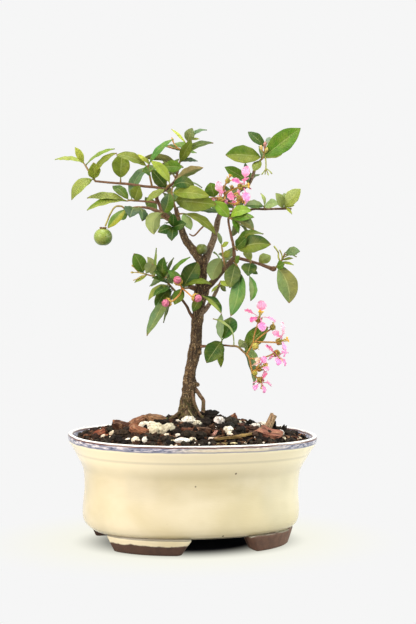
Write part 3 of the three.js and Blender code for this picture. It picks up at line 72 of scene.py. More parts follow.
MM = 0.001
BOX = np.array(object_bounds()) / MM
BODY = "root"

VIEW_TURN = math.radians(20.0)
RIGHT = np.array([math.cos(VIEW_TURN), -math.sin(VIEW_TURN), 0.0])
TOWARDS = np.array([-math.sin(VIEW_TURN), -math.cos(VIEW_TURN), 0.0])
UP = np.array([0.0, 0.0, 1.0])
PLAIN = (1.0, 1.0, 1.0)
VIEW_AXES = np.array([RIGHT, UP, TOWARDS])
EYE_DISTANCE = 796.7
EYE = np.array([6.6, 164.6, EYE_DISTANCE]) @ VIEW_AXES


def from_view(points: Array) -> Array:
    """Turns (u, v, w) rows into the pot's own axes, each axis times its length."""
    return np.asarray(points, float) @ VIEW_AXES


def place(points: Array) -> Array:
    """Slides each point seen at (u, v) along its sight line to the depth w.

    Args:
        points: rows of u, v, w.

    Returns:
        The points, as flat + (eye - flat) * w / distance, flat being w = 0.
    """
    points = np.asarray(points, float)
    flat = from_view(points * (1.0, 1.0, 0.0))
    return flat + (EYE - flat) * (points[..., 2:3] / EYE_DISTANCE)


def stations(route: Route) -> Array:
    """Rows of x, y, z, radius from rows of u, v, w, radius."""
    rows = np.array(route, float)
    return np.column_stack([place(rows[:, :3]), rows[:, 3]])


def unit(vectors: Array) -> Array:
    """Vectors divided by their own lengths."""
    return vectors / np.maximum(np.linalg.norm(vectors, axis=-1, keepdims=True), 1e-9)


def smooth_step(low: float, high: float, values: Array) -> Array:
    """0 below low, 1 above high and 3t^2 - 2t^3 between them."""
    t = np.clip((values - low) / (high - low), 0.0, 1.0)
    return t * t * (3.0 - 2.0 * t)


def value_noise(points: Array, seed: int) -> Array:
    """Smooth noise from 0 to 1: the eight corners of each unit cell get a hashed
    number, and the point takes their mean, weighted by smooth steps along x, y, z."""
    cell = np.floor(points).astype(np.int64)
    share = points - cell
    share = share * share * (3.0 - 2.0 * share)
    total = np.zeros(len(points))
    for corner in range(8):
        offset = np.array([corner & 1, corner >> 1 & 1, corner >> 2 & 1])
        x, y, z = (cell + offset).T
        code = (x * 73856093 ^ y * 19349663 ^ z * 83492791 ^ seed * 2654435761) & 0x7FFFFFFF
        code = (code ^ code >> 13) * 1274126177 & 0x7FFFFFFF
        code = (code ^ code >> 16) * 668265263 & 0x7FFFFFFF
        total += np.prod(np.where(offset == 1, share, 1.0 - share), axis=1) * code / 0x7FFFFFFF
    return total


def rough_noise(points: Array, seed: int, octaves: int = 4) -> Array:
    """Noise from about -1 to 1: octaves of value noise, each twice as fine and
    half as strong as the last."""
    total = np.zeros(len(points))
    for octave in range(octaves):
        total += (value_noise(points * 2.0**octave, seed + octave) - 0.5) * 0.5**octave
    return total


def smooth_path(points: Array, steps: int) -> Array:
    """A Catmull-Rom curve through the rows of points.

    Args:
        points: rows of any number of values, such as x, y, z, radius.
        steps: stations from one row to the next.

    Returns:
        Rows p1 + t(p2-p0)/2 + t^2(2p0-5p1+4p2-p3)/2 + t^3(3p1-p0-3p2+p3)/2.
    """
    rows = np.vstack([2 * points[0] - points[1], points, 2 * points[-1] - points[-2]])
    p0, p1, p2, p3 = (rows[i:len(rows) - 3 + i, None, :] for i in range(4))
    t = (np.arange(steps) / steps)[None, :, None]
    curve = p1 + 0.5 * t * (p2 - p0 + t * (2 * p0 - 5 * p1 + 4 * p2 - p3 + t * (3 * (p1 - p2) + p3 - p0)))
    return np.vstack([curve.reshape(-1, points.shape[1]), points[-1]])


def carried_frames(path: Array) -> tuple[Array, Array, Array]:
    """Frames along a path, each turned as little as may be from the last.

    Returns:
        The tangents, and two rows of sides at right angles to them.
    """
    along = unit(np.gradient(path, axis=0))
    side = unit(np.cross(along[0], (0.31, 0.52, -0.79)))
    sides = []
    for tangent in along:
        side = unit(side - tangent * np.dot(side, tangent))
        sides.append(side)
    side_rows = np.array(sides)
    return along, side_rows, np.cross(along, side_rows)


def oval(half_x: Array, half_y: Array, angles: Array, roundness: float) -> Array:
    """A squarish oval: x and y are the half lengths times the cosine and sine,
    each raised to 2 / roundness with its sign kept."""
    power = 2.0 / roundness
    cosine, sine = np.cos(angles), np.sin(angles)
    x = half_x * np.sign(cosine) * np.abs(cosine) ** power
    y = half_y * np.sign(sine) * np.abs(sine) ** power
    return np.stack([x, y], axis=-1)


def turns(count: int) -> Array:
    """Equal angles round a full turn."""
    return 2.0 * math.pi * np.arange(count) / count


def crosswise(axis: Array) -> tuple[Array, Array]:
    """Two sides at right angles to an axis and to each other."""
    side = unit(np.cross((0.3, 0.5, -0.8), axis))
    return side, np.cross(axis, side)


def outward(axis: Array, angle: float) -> Array:
    """The way out from an axis at an angle round it."""
    side, other = crosswise(axis)
    return side * math.cos(angle) + other * math.sin(angle)


def round_ball(rows: int, cols: int) -> tuple[Array, Array, Array]:
    """A ball of radius 1 as rings from pole to pole, without the poles.

    Returns:
        The angles from the pole, the angles round, and rows x columns x 3 points.
    """
    polar = np.linspace(0, math.pi, rows + 2)[1:-1, None]
    angles = turns(cols)
    rings = [np.sin(polar) * np.cos(angles), np.sin(polar) * np.sin(angles)]
    return polar, angles, np.dstack([*rings, np.broadcast_to(np.cos(polar), (rows, cols))])


def with_poles(rows: Array, cols: int = 1) -> Array:
    """Rows with the mean of the first ring before them and that of the last after."""
    return np.vstack([rows[:cols].mean(0), rows, rows[-cols:].mean(0)])


@dataclass
class Shell:
    """Closed surfaces: points in millimetres, faces of 4 or 3 corners (a 3-corner
    face ends in -1), a place on the surface and a colour for each point."""

    points: Array
    faces: Array
    uv: Array
    tone: Array
    finish: int = 0
    flat: bool = False

    @classmethod
    def loft(cls, rings: Array, start: Array, end: Array, tone: Array = PLAIN,
             finish: int = 0, uv: Array | None = None, flat: bool = False) -> "Shell":
        """A closed skin over rows of rings, from one pole to the other.

        Args:
            rings: rows x columns x 3.
            start: the pole before the first ring.
            end: the pole after the last ring.
            tone: one colour, or one for each point, the poles first and last.
            finish: the number of its material.
            uv: rows x columns x 2, or None for the shares along and round.
            flat: true for facets instead of a smooth surface.
        """
        rows, cols = rings.shape[:2]
        points = np.vstack([start[None], rings.reshape(-1, 3), end[None]])
        column = np.arange(cols)
        after = (column + 1) % cols
        base = 1 + cols * np.arange(rows - 1)[:, None]
        quads = np.stack([base + column, base + after, base + cols + after, base + cols + column], -1)
        none = np.full(cols, -1)
        last = 1 + cols * (rows - 1)
        first_fan = np.stack([np.zeros(cols, int), 1 + after, 1 + column, none], -1)
        last_fan = np.stack([np.full(cols, len(points) - 1), last + column, last + after, none], -1)
        faces = np.vstack([quads.reshape(-1, 4), first_fan, last_fan])
        if uv is None:
            grid = np.meshgrid(np.linspace(0, 1, rows), column / cols, indexing="ij")
            uv = np.stack(grid, -1)
        tones = np.broadcast_to(np.asarray(tone, float), (len(points), 3)).copy()
        return cls(points, faces, with_poles(uv.reshape(-1, 2), cols), tones, finish, flat).outward()

    def outward(self) -> "Shell":
        """Turns the faces round if the volume that they hold counts as negative."""
        a, b, c = (self.points[self.faces[:, i]] for i in range(3))
        d = self.points[np.where(self.faces[:, 3] < 0, self.faces[:, 2], self.faces[:, 3])]
        middle = self.points.mean(0)
        volume = np.einsum("ij,ij->", a - middle, np.cross(b - middle, c - middle))
        volume += np.einsum("ij,ij->", a - middle, np.cross(c - middle, d - middle))
        if volume < 0:
            quad = self.faces[:, 3] >= 0
            self.faces[quad] = self.faces[quad][:, ::-1]
            self.faces[~quad, :3] = self.faces[~quad, 2::-1]
        return self


def add_object(name: str, data: bpy.types.ID) -> bpy.types.Object:
    """Puts an object with its data in the scene."""
    piece = bpy.data.objects.new(name, data)
    bpy.context.scene.collection.objects.link(piece)
    return piece


def note(mesh: bpy.types.Mesh, name: str, values: Array) -> None:
    """Gives each point of a mesh a number or a vector, under a name."""
    kind, key = ("FLOAT_VECTOR", "vector") if values.ndim == 2 else ("FLOAT", "value")
    mesh.attributes.new(name, kind, "POINT").data.foreach_set(key, values.ravel())


def make_object(name: str, shells: list[Shell], materials: list[Material],
                extra: dict[str, Array] | None = None) -> bpy.types.Object:
    """Makes one mesh object of some shells.

    Args:
        name: the object's name.
        shells: its surfaces.
        materials: its finishes, in the order of the shells' numbers.
        extra: further values, one for each point, by attribute name.

    Returns:
        The object, at the origin, its place in its mesh, in metres. A point outside
        the solids' own box is drawn back onto it.
    """
    starts = np.cumsum([0] + [len(shell.points) for shell in shells[:-1]])
    faces = np.vstack([np.where(s.faces < 0, -1, s.faces + start) for s, start in zip(shells, starts)])
    points = np.clip(np.vstack([shell.points for shell in shells]), *BOX)
    uv = np.vstack([shell.uv for shell in shells])
    tone = np.vstack([shell.tone for shell in shells])
    counts = np.where(faces[:, 3] < 0, 3, 4)
    corners = faces[faces >= 0]
    mesh = bpy.data.meshes.new(name)
    mesh.vertices.add(len(points))
    mesh.vertices.foreach_set("co", (points * MM).ravel())
    mesh.loops.add(len(corners))
    mesh.loops.foreach_set("vertex_index", corners.astype(np.int32))
    mesh.polygons.add(len(faces))
    mesh.polygons.foreach_set("loop_start", (np.cumsum(counts) - counts).astype(np.int32))
    finishes = np.concatenate([np.full(len(s.faces), s.finish, np.int32) for s in shells])
    mesh.polygons.foreach_set("material_index", finishes)
    smooth = np.concatenate([np.full(len(s.faces), not s.flat) for s in shells])
    mesh.polygons.foreach_set("use_smooth", smooth)
    mesh.update(calc_edges=True)
    mesh.uv_layers.new(name="Place").data.foreach_set("uv", uv[corners].ravel())
    colours = np.hstack([tone, np.ones((len(tone), 1))])
    mesh.attributes.new("Tone", "FLOAT_COLOR", "POINT").data.foreach_set("color", colours.ravel())
    for key, values in (extra or {}).items():
        note(mesh, key, values)
    for material in materials:
        mesh.materials.append(material)
    mesh.validate()
    return add_object(name, mesh)


def dress(piece: bpy.types.Object, slot: str, *nodes: str) -> None:
    """Lets a piece ride on the body and stand for CAD nodes."""
    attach(piece, BODY)
    if nodes:
        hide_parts(*nodes)
    log.info("%s: %d faces", piece.name, len(piece.data.polygons))


def tube(rows: Array, sides: int, tone: Array, finish: int = 0, ripple: float = 0.0) -> Shell:
    """A round tube along rows of x, y, z, radius.

    The point at angle a of a station is its middle + radius (1 + ripple
    sin(3a + 0.2 z)) (side cos a + other sin a), and each end closes in a low dome.
    """
    along, side, other = carried_frames(rows[:, :3])
    angles = turns(sides)
    reach = rows[:, 3:4] * (1.0 + ripple * np.sin(3.0 * angles + rows[:, 2:3] * 0.2))
    rings = rows[:, None, :3] + side[:, None] * (reach * np.cos(angles))[..., None]
    rings += other[:, None] * (reach * np.sin(angles))[..., None]
    start = rows[0, :3] - along[0] * rows[0, 3] * 0.6
    end = rows[-1, :3] + along[-1] * rows[-1, 3] * 0.6
    return Shell.loft(rings, start, end, tone, finish)


def turned(centre: Array, axis: Array, profile: Array, sides: int, tone: Array,
           finish: int = 0, lobes: int = 0, depth: float = 0.0) -> Shell:
    """A body turned about an axis, from rows of height and radius.

    The point at angle a is centre + axis height + radius (1 + depth cos(lobes a))
    (side cos a + other sin a). The first and last rows are its poles.
    """
    side, other = crosswise(axis)
    angles = turns(sides)
    inner = profile[1:-1]
    reach = inner[:, 1:2] * (1.0 + depth * np.cos(lobes * angles))
    rings = centre + axis * inner[:, None, 0:1] + side * (reach * np.cos(angles))[..., None]
    rings = rings + other * (reach * np.sin(angles))[..., None]
    return Shell.loft(rings, centre + axis * profile[0, 0], centre + axis * profile[-1, 0], tone, finish)


def stalk(rows: Array, steps: int, colour: str, finish: int = 0) -> Shell:
    """A thin smooth stalk along rows of x, y, z, radius, of a colour code."""
    return tube(smooth_path(rows, steps), 8, linear(colour), finish)


def linear(code: str) -> Array:
    """A colour code such as "#7a8b4c" as linear red, green and blue."""
    shares = [int(code[i:i + 2], 16) / 255.0 for i in (1, 3, 5)]
    return np.array([s / 12.92 if s <= 0.04045 else ((s + 0.055) / 1.055) ** 2.4 for s in shares])


def linear4(code: str) -> tuple[float, float, float, float]:
    """The same with a full fourth channel, as a colour socket takes it."""
    return (*linear(code), 1.0)


class Tone(Enum):
    """The greens of the leaves, from young yellow to old dark ones; the bluish ones are in part a painted sheen
    of the pale light on glossy leaves.
    """

    YOUNG = "#a5ab58"
    YELLOW = "#d4d46e"
    YELLOW_GREEN = "#a9b352"
    FRESH = "#83983f"
    BRIGHT = "#628c27"
    LIGHT_OLIVE = "#9ea55e"
    PALE = "#b4bb86"
    MINT = "#a9bf95"
    MID = "#668530"
    OLIVE = "#7f8636"
    OLIVE_MID = "#74812f"
    TAN_OLIVE = "#8f8442"
    GREY_OLIVE = "#7f8f6c"
    GREY_GREEN = "#8d9d80"
    BLUE_GREEN = "#6f8a72"
    BLUE_LIGHT = "#9db0a4"
    BLUE_GREY = "#8395a0"
    BLUE_DARK = "#49604f"
    MID_DARK = "#56741f"
    DARK_OLIVE = "#516221"
    DARK = "#3c5c19"
    DEEP = "#2d5214"
    GRASS = "#628420"
    LIME = "#8fb23e"
    SAGE = "#7ba377"
    OLIVE_DEEP = "#4f5f27"
    TAN_GREY = "#87825a"
    SPRING = "#74ad55"
    JADE = "#568a48"
    GOLDEN_OLIVE = "#aaa53c"
    TAN_PINK = "#c9a283"
    FILL = "#5d7a2a"


class Blush(Enum):
    """The pinks of the petals."""

    LIMB = "#eb9ac3"
    PALE = "#f3bcd3"
    HOT = "#e24a90"
    ROSE = "#de6c9b"
    ORCHID = "#ea8bc8"
    SALMON = "#e88a80"
    CREAM = "#efcfa8"


class Paint:
    """A material in the making: one surface shader and the nodes that feed it."""

    def __init__(self, name: str, roughness: float = 0.5, specular: float = 0.5) -> None:
        """Starts a material whose roughness and specular level are constants."""
        self.material = bpy.data.materials.new(name)
        self.material.use_nodes = True
        self.tree = self.material.node_tree
        self.shader = self.tree.nodes["Principled BSDF"]
        self.shader.inputs["Roughness"].default_value = roughness
        self.shader.inputs["Specular IOR Level"].default_value = specular

    def feed(self, node: bpy.types.Node, name: str | int, value: object) -> None:
        """Links a socket to a node's input, or sets a constant there."""
        if isinstance(value, bpy.types.NodeSocket):
            self.tree.links.new(value, node.inputs[name])
        elif value is not None:
            node.inputs[name].default_value = value

    def set(self, name: str, value: object) -> None:
        """Feeds the surface shader."""
        self.feed(self.shader, name, value)

    def place(self, scale: tuple[float, float, float] = (1, 1, 1)) -> Socket:
        """Object coordinates in metres, stretched by a scale."""
        return self.stretch(self.tree.nodes.new("ShaderNodeTexCoord").outputs["Object"], scale)

    def stretch(self, vector: Socket, scale: tuple[float, float, float]) -> Socket:
        """A vector times a scale along each axis."""
        node = self.tree.nodes.new("ShaderNodeMapping")
        self.feed(node, "Vector", vector)
        self.feed(node, "Scale", scale)
        return node.outputs["Vector"]

    def attribute(self, name: str, output: str = "Color") -> Socket:
        """A value that the piece's points carry."""
        node = self.tree.nodes.new("ShaderNodeAttribute")
        node.attribute_name = name
        return node.outputs[output]

    def split(self, vector: Socket) -> tuple[Socket, Socket, Socket]:
        """The three parts of a vector."""
        node = self.tree.nodes.new("ShaderNodeSeparateXYZ")
        self.feed(node, "Vector", vector)
        return node.outputs["X"], node.outputs["Y"], node.outputs["Z"]

    def flat(self) -> Socket:
        """The place on the surface, along and across it, as one vector."""
        node = self.tree.nodes.new("ShaderNodeUVMap")
        node.uv_map = "Place"
        return node.outputs["UV"]

    def uv(self) -> tuple[Socket, Socket]:
        """The place on the surface, along and across it."""
        return self.split(self.flat())[:2]

    def noise(self, vector: Socket, scale: float, detail: float = 3.0, wander: float = 0.0) -> Socket:
        """Cloudy noise from about 0.25 to 0.75."""
        node = self.tree.nodes.new("ShaderNodeTexNoise")
        for name, value in (("Vector", vector), ("Scale", scale), ("Detail", detail), ("Distortion", wander)):
            self.feed(node, name, value)
        return node.outputs["Fac"]

    def cells(self, vector: Socket, scale: float) -> Socket:
        """Distance inside scattered cells, 0 at a seed."""
        node = self.tree.nodes.new("ShaderNodeTexVoronoi")
        self.feed(node, "Vector", vector)
        self.feed(node, "Scale", scale)
        return node.outputs["Distance"]

    def maths(self, operation: str, a: object, b: object = None, c: object = None) -> Socket:
        """One arithmetic step."""
        node = self.tree.nodes.new("ShaderNodeMath")
        node.operation = operation
        for index, value in enumerate((a, b, c)):
            self.feed(node, index, value)
        return node.outputs["Value"]

    def times(self, a: object, b: object, plus: object = None) -> Socket:
        """The product of two values, with a third added where it is given."""
        return self.maths("MULTIPLY" if plus is None else "MULTIPLY_ADD", a, b, plus)

    def band(self, value: Socket, low: float, high: float, start: float = 0.0, end: float = 1.0) -> Socket:
        """A value below low gives start, above high gives end, smooth between them."""
        node = self.tree.nodes.new("ShaderNodeMapRange")
        node.interpolation_type = "SMOOTHSTEP"
        for name, number in (("Value", value), ("From Min", low), ("From Max", high),
                             ("To Min", start), ("To Max", end)):
            self.feed(node, name, number)
        return node.outputs["Result"]

    def mix(self, share: object, a: object, b: object, kind: str = "MIX") -> Socket:
        """Colour a turned into colour b by a share. A code stands for its colour."""
        node = self.tree.nodes.new("ShaderNodeMix")
        node.data_type = "RGBA"
        node.blend_type = kind
        self.feed(node, 0, share)
        self.feed(node, 6, linear4(a) if isinstance(a, str) else a)
        self.feed(node, 7, linear4(b) if isinstance(b, str) else b)
        return node.outputs[2]

    def coat(self, under: object, colour: object, value: Socket, low: float, high: float,
             start: float = 0.0, end: float = 1.0) -> Socket:
        """A colour laid over another, by the band of a value."""
        return self.mix(self.band(value, low, high, start, end), under, colour)

    def ramp(self, value: Socket, stops: tuple[tuple[float, str], ...]) -> Socket:
        """A value turned into a colour between the stops."""
        node = self.tree.nodes.new("ShaderNodeValToRGB")
        elements = node.color_ramp.elements
        while len(elements) < len(stops):
            elements.new(0.5)
        for element, (position, code) in zip(elements, stops):
            element.position = position
            element.color = linear4(code)
        self.feed(node, "Fac", value)
        return node.outputs["Color"]

    def finished(self, colour: Socket, height: Socket, depth: float, strength: float) -> Material:
        """The material, with its colour and bumps of a height from 0 to 1, depth metres high."""
        node = self.tree.nodes.new("ShaderNodeBump")
        for name, value in (("Height", height), ("Distance", depth), ("Strength", strength)):
            self.feed(node, name, value)
        self.set("Base Color", colour)
        self.set("Normal", node.outputs["Normal"])
        return self.material


@dataclass(frozen=True)
class Glaze:
    """Cream glaze with a banded rim over brown clay that stays bare on the feet."""

    cream: str = "#e1d7bb"
    cream_deep: str = "#d2c6a1"
    haze: str = "#b9b49c"
    lip_line: str = "#5d3a34"
    slate: str = "#7b8199"
    groove: str = "#6f695c"
    painted_highlight_band: str = "#fbf1d3"
    speck: str = "#4d3a2a"
    rim_cream: str = "#eadcbe"
    lip_white: str = "#f6f2ea"
    clay: str = "#3f271b"
    clay_pale: str = "#6b4a3a"
    clay_dark: str = "#22140d"

    def material(self) -> Material:
        """Height picks the bands, with noise to break their edges."""
        paint = Paint("cream_glaze", roughness=0.14)
        coords = paint.place()
        x, _, z = paint.split(coords)
        streak = paint.noise(paint.place((1.0, 1.0, 4.0)), 300.0, 4.0)
        wash = paint.noise(paint.place((1.0, 1.0, 1.6)), 26.0, 3.0, 0.4)
        wavy = paint.times(paint.noise(coords, 90.0, 3.0), 0.0009, z)
        side = paint.band(x, -0.02, 0.03, 0.0043, 0.0082)
        drip = paint.times(paint.noise(paint.place((1, 1, 0.25)), 190.0, 4.0), 0.0022, side)
        bare = paint.band(paint.maths("SUBTRACT", z, drip), -0.0002, 0.0002, 1.0, 0.0)
        grit = paint.noise(coords, 260.0, 5.0)
        body, rim = self.body(paint, coords, z, wash), self.rim(paint, x, wavy, streak)
        colour = paint.coat(body, rim, wavy, 0.0583, 0.0589)
        lip = paint.times(paint.band(wavy, 0.0610, 0.0614), paint.band(wavy, 0.0619, 0.0622, 1.0, 0.0))
        worn = paint.band(streak, 0.6, 0.7, 1.0, 0.45)
        colour = paint.mix(paint.times(lip, worn), colour, self.lip_line)
        colour = paint.coat(colour, self.lip_white, wavy, 0.0619, 0.0623)
        groove = paint.times(paint.band(z, 0.0084, 0.0088), paint.band(z, 0.0092, 0.0099, 0.9, 0.0))
        colour = paint.mix(groove, colour, self.groove)
        edge = paint.maths("ABSOLUTE", paint.maths("SUBTRACT", z, drip))
        colour = paint.coat(colour, self.groove, edge, 0.0, 0.0006, 0.7, 0.0)
        # Painted light: the bare clay is paler towards the right feet and darker on the left ones, as the light
        # falls.
        clay = paint.coat(self.clay, self.clay_pale, x, -0.03, 0.05, 0.15, 0.75)
        clay = paint.coat(clay, self.clay_dark, grit, 0.4, 0.7, 0.0, 0.35)
        paint.set("Roughness", paint.times(bare, 0.55, paint.band(wash, 0.3, 0.7, 0.1, 0.17)))
        height = paint.times(paint.noise(coords, 24.0, 2.0), 4.0, streak)
        height = paint.times(paint.times(bare, grit), 5.0, height)
        return paint.finished(paint.mix(bare, colour, clay), height, 0.0001, 0.45)

    def body(self, paint: Paint, coords: Socket, z: Socket, wash: Socket) -> Socket:
        """The cream below the rim: cloudy, hazy, paler in a painted highlight band below the rim, with a
        painted shade line at the crease, and specks.
        """
        body = paint.coat(self.cream, self.cream_deep, wash, 0.3, 0.72)
        haze = paint.noise(paint.place((1.0, 1.0, 0.6)), 34.0, 2.0)
        body = paint.coat(body, self.haze, haze, 0.5, 0.8, 0.0, 0.4)
        # Painted highlight: a paler band below the crease, where the light catches the body.
        body = paint.coat(body, self.painted_highlight_band, z, 0.0425, 0.0515, 0.0, 0.8)
        # Painted shade: a soft dark line in the groove colour along the crease under the flared rim.
        crease = paint.times(paint.band(z, 0.0508, 0.0519), paint.band(z, 0.0521, 0.0532, 0.2, 0.0))
        body = paint.mix(crease, body, self.groove)
        specks = paint.band(paint.cells(coords, 120.0), 0.05, 0.09, 1.0, 0.0)
        rare = paint.band(paint.noise(coords, 75.0, 1.0), 0.63, 0.68)
        return paint.mix(paint.times(specks, rare), body, self.speck)

    def rim(self, paint: Paint, x: Socket, wavy: Socket, streak: Socket) -> Socket:
        """The slate streaks of the rim, cream at the middle of its front and dark below."""
        rim = paint.ramp(streak, ((0.34, "#e4dee2"), (0.44, "#b2afbe"), (0.53, "#7f859d"), (0.64, "#4f5369")))
        middle = paint.band(paint.maths("ABSOLUTE", paint.maths("ADD", x, -0.004)), 0.012, 0.04, 0.85, 0.0)
        middle = paint.times(middle, paint.band(wavy, 0.0604, 0.061, 1.0, 0.45))
        rim = paint.mix(middle, rim, self.rim_cream)
        return paint.coat(rim, self.slate, wavy, 0.0589, 0.0596, 0.85, 0.0)


@dataclass(frozen=True)
class Bark:
    """Brown bark with tan scales, dark cracks along each limb and fine wrinkles across it."""

    crack: str = "#20150c"
    brown: str = "#412e1c"
    warm: str = "#5a4029"
    tan: str = "#b39c76"
    grey: str = "#8d7964"
    twig: str = "#5f4231"
    moss: str = "#4d5524"

    def material(self) -> Material:
        """Noise on coordinates that run with the limb gives the grain."""
        paint = Paint("scaly_bark", roughness=0.85, specular=0.25)
        grain = paint.attribute("Grain", "Vector")
        girth = paint.attribute("Girth", "Fac")
        relief = paint.attribute("Relief", "Fac")
        long_grain = paint.stretch(grain, (1.0, 1.0, 0.3))
        wrinkle = paint.noise(paint.stretch(grain, (0.8, 0.8, 1.5)), 0.8, 4.0, 1.3)
        streak = paint.noise(long_grain, 1.6, 5.0, 0.4)
        patch = paint.noise(paint.stretch(grain, (0.35, 0.35, 0.16)), 1.0, 3.0, 0.5)
        scale = paint.noise(paint.stretch(grain, (1.0, 1.0, 1.2)), 1.2, 3.0, 0.3)
        old = paint.coat(self.brown, self.warm, streak, 0.36, 0.66)
        old = paint.coat(old, "#7d6a50", patch, 0.5, 0.68, 0.0, 0.35)
        old = paint.coat(old, "#8f7650", wrinkle, 0.52, 0.6, 0.0, 0.75)
        old = paint.coat(old, self.crack, wrinkle, 0.4, 0.48, 0.85, 0.0)
        old = paint.coat(old, self.tan, scale, 0.59, 0.64, 0.0, 0.9)
        old = paint.coat(old, self.crack, paint.noise(long_grain, 3.4, 3.0), 0.56, 0.66, 0.0, 0.5)
        old = paint.coat(old, self.crack, relief, 0.2, 0.5, 0.7, 0.0)
        ashy = paint.coat(self.grey, "#5d4c3c", wrinkle, 0.44, 0.6)
        ashy = paint.coat(ashy, "#b5a58c", paint.noise(grain, 4.0, 2.0), 0.58, 0.66, 0.0, 0.7)
        young = paint.coat(self.twig, "#84624a", streak, 0.35, 0.65)
        young = paint.coat(young, "#c2a888", paint.noise(grain, 5.0, 2.0), 0.6, 0.68, 0.0, 0.4)
        colour = paint.mix(paint.attribute("Ashy", "Fac"), paint.coat(young, old, girth, 0.9, 1.9), ashy)
        green = paint.band(paint.split(paint.place())[2], 0.072, 0.092, 0.55, 0.0)
        green = paint.times(green, paint.band(paint.noise(grain, 0.6, 3.0), 0.42, 0.6))
        colour = paint.mix(green, colour, self.moss)
        height = paint.maths("ADD", paint.maths("ADD", streak, relief), wrinkle)
        return paint.finished(colour, height, 0.0006, 0.9)


@dataclass(frozen=True)
class LeafSkin:
    """Smooth green skin, glossier above than below, with a midrib and side veins."""

    gloss: float = 0.38
    tint: str = "#d9e6b4"
    side_veins: float = 8.0

    def material(self) -> Material:
        """The points carry the tone, and the place along and across draws the veins."""
        paint = Paint("leaf_skin", specular=0.19)
        along, across = paint.uv()
        tone = paint.attribute("Tone")
        under = paint.attribute("Under", "Fac")
        out = paint.maths("ABSOLUTE", paint.times(across, 2.0, -1.0))
        coords = paint.place()
        mottle = paint.noise(coords, 330.0, 3.0, 0.4)
        colour = paint.mix(1.0, tone, self.tint, "MULTIPLY")
        colour = paint.coat(colour, "#1f2a0c", mottle, 0.3, 0.72, 0.0, 0.24)
        colour = paint.coat(colour, "#b7b04a", paint.noise(coords, 140.0, 2.0), 0.42, 0.7, 0.0, 0.14)
        slant = paint.times(out, -0.16, along)
        step = paint.maths("FRACT", paint.times(slant, self.side_veins))
        line = paint.maths("ABSOLUTE", paint.maths("SUBTRACT", step, 0.5))
        vein = paint.times(paint.band(line, 0.03, 0.1, 1.0, 0.0), paint.band(out, 0.75, 0.95, 1.0, 0.0))
        midrib = paint.band(out, 0.03, 0.08, 1.0, 0.0)
        pale = paint.mix(0.6, colour, "#cbd08a")
        colour = paint.mix(paint.times(vein, 0.1), colour, pale)
        colour = paint.mix(paint.times(midrib, 0.34), colour, pale)
        colour = paint.mix(paint.times(under, 0.28), colour, "#a3aa80")
        tip = paint.times(paint.band(along, 0.93, 0.985), paint.band(mottle, 0.46, 0.56))
        colour = paint.mix(paint.times(tip, 0.7), colour, "#8a5f33")
        rough = paint.times(under, 0.22, self.gloss)
        paint.set("Roughness", paint.times(mottle, 0.12, rough))
        height = paint.times(paint.maths("MAXIMUM", vein, midrib), -1.0, mottle)
        return paint.finished(colour, height, 0.00014, 0.8)


@dataclass(frozen=True)
class PetalSkin:
    """Thin crinkled satin pink."""

    def material(self) -> Material:
        """The points carry the pink, and lines along the petal crinkle it."""
        paint = Paint("petal_skin", roughness=0.55, specular=0.35)
        lines = paint.maths("SINE", paint.times(paint.uv()[1], 42.0))
        cloud = paint.noise(paint.place(), 420.0, 3.0, 0.3)
        colour = paint.coat(paint.attribute("Tone"), "#fbe3ea", cloud, 0.42, 0.72, 0.0, 0.3)
        colour = paint.coat(colour, "#cf3f7d", lines, 0.4, 1.0, 0.0, 0.2)
        return paint.finished(colour, paint.times(lines, 0.3, cloud), 0.0002, 0.6)


@dataclass(frozen=True)
class Mottled:
    """A plain finish for small parts: the tone of each point, clouded by noise."""

    name: str
    roughness: float
    shade: str
    share: float = 0.35
    scale: float = 500.0
    depth: float = 0.0002
    specular: float = 0.4

    def material(self) -> Material:
        """Noise turns the tone towards the shade and roughens it."""
        paint = Paint(self.name, self.roughness, self.specular)
        cloud = paint.noise(paint.place(), self.scale, 4.0, 0.3)
        colour = paint.coat(paint.attribute("Tone"), self.shade, cloud, 0.42, 0.66, 0.0, self.share)
        return paint.finished(colour, cloud, self.depth, 0.8)


@dataclass(frozen=True)
class ChipSkin:
    """Split bark: the tone of each point under fine lines along the chip."""

    shade: str = "#2e180d"

    def material(self) -> Material:
        """Noise drawn out along the chip gives lines and low ridges."""
        paint = Paint("bark_chip", 0.82, 0.25)
        lines = paint.noise(paint.stretch(paint.flat(), (2.5, 34.0, 1.0)), 1.0, 4.0, 0.3)
        cloud = paint.noise(paint.place(), 330.0, 3.0)
        colour = paint.coat(paint.attribute("Tone"), self.shade, lines, 0.45, 0.64, 0.0, 0.75)
        colour = paint.coat(colour, "#cfa079", cloud, 0.5, 0.72, 0.0, 0.4)
        return paint.finished(colour, paint.times(lines, -1.0, cloud), 0.0004, 0.8)


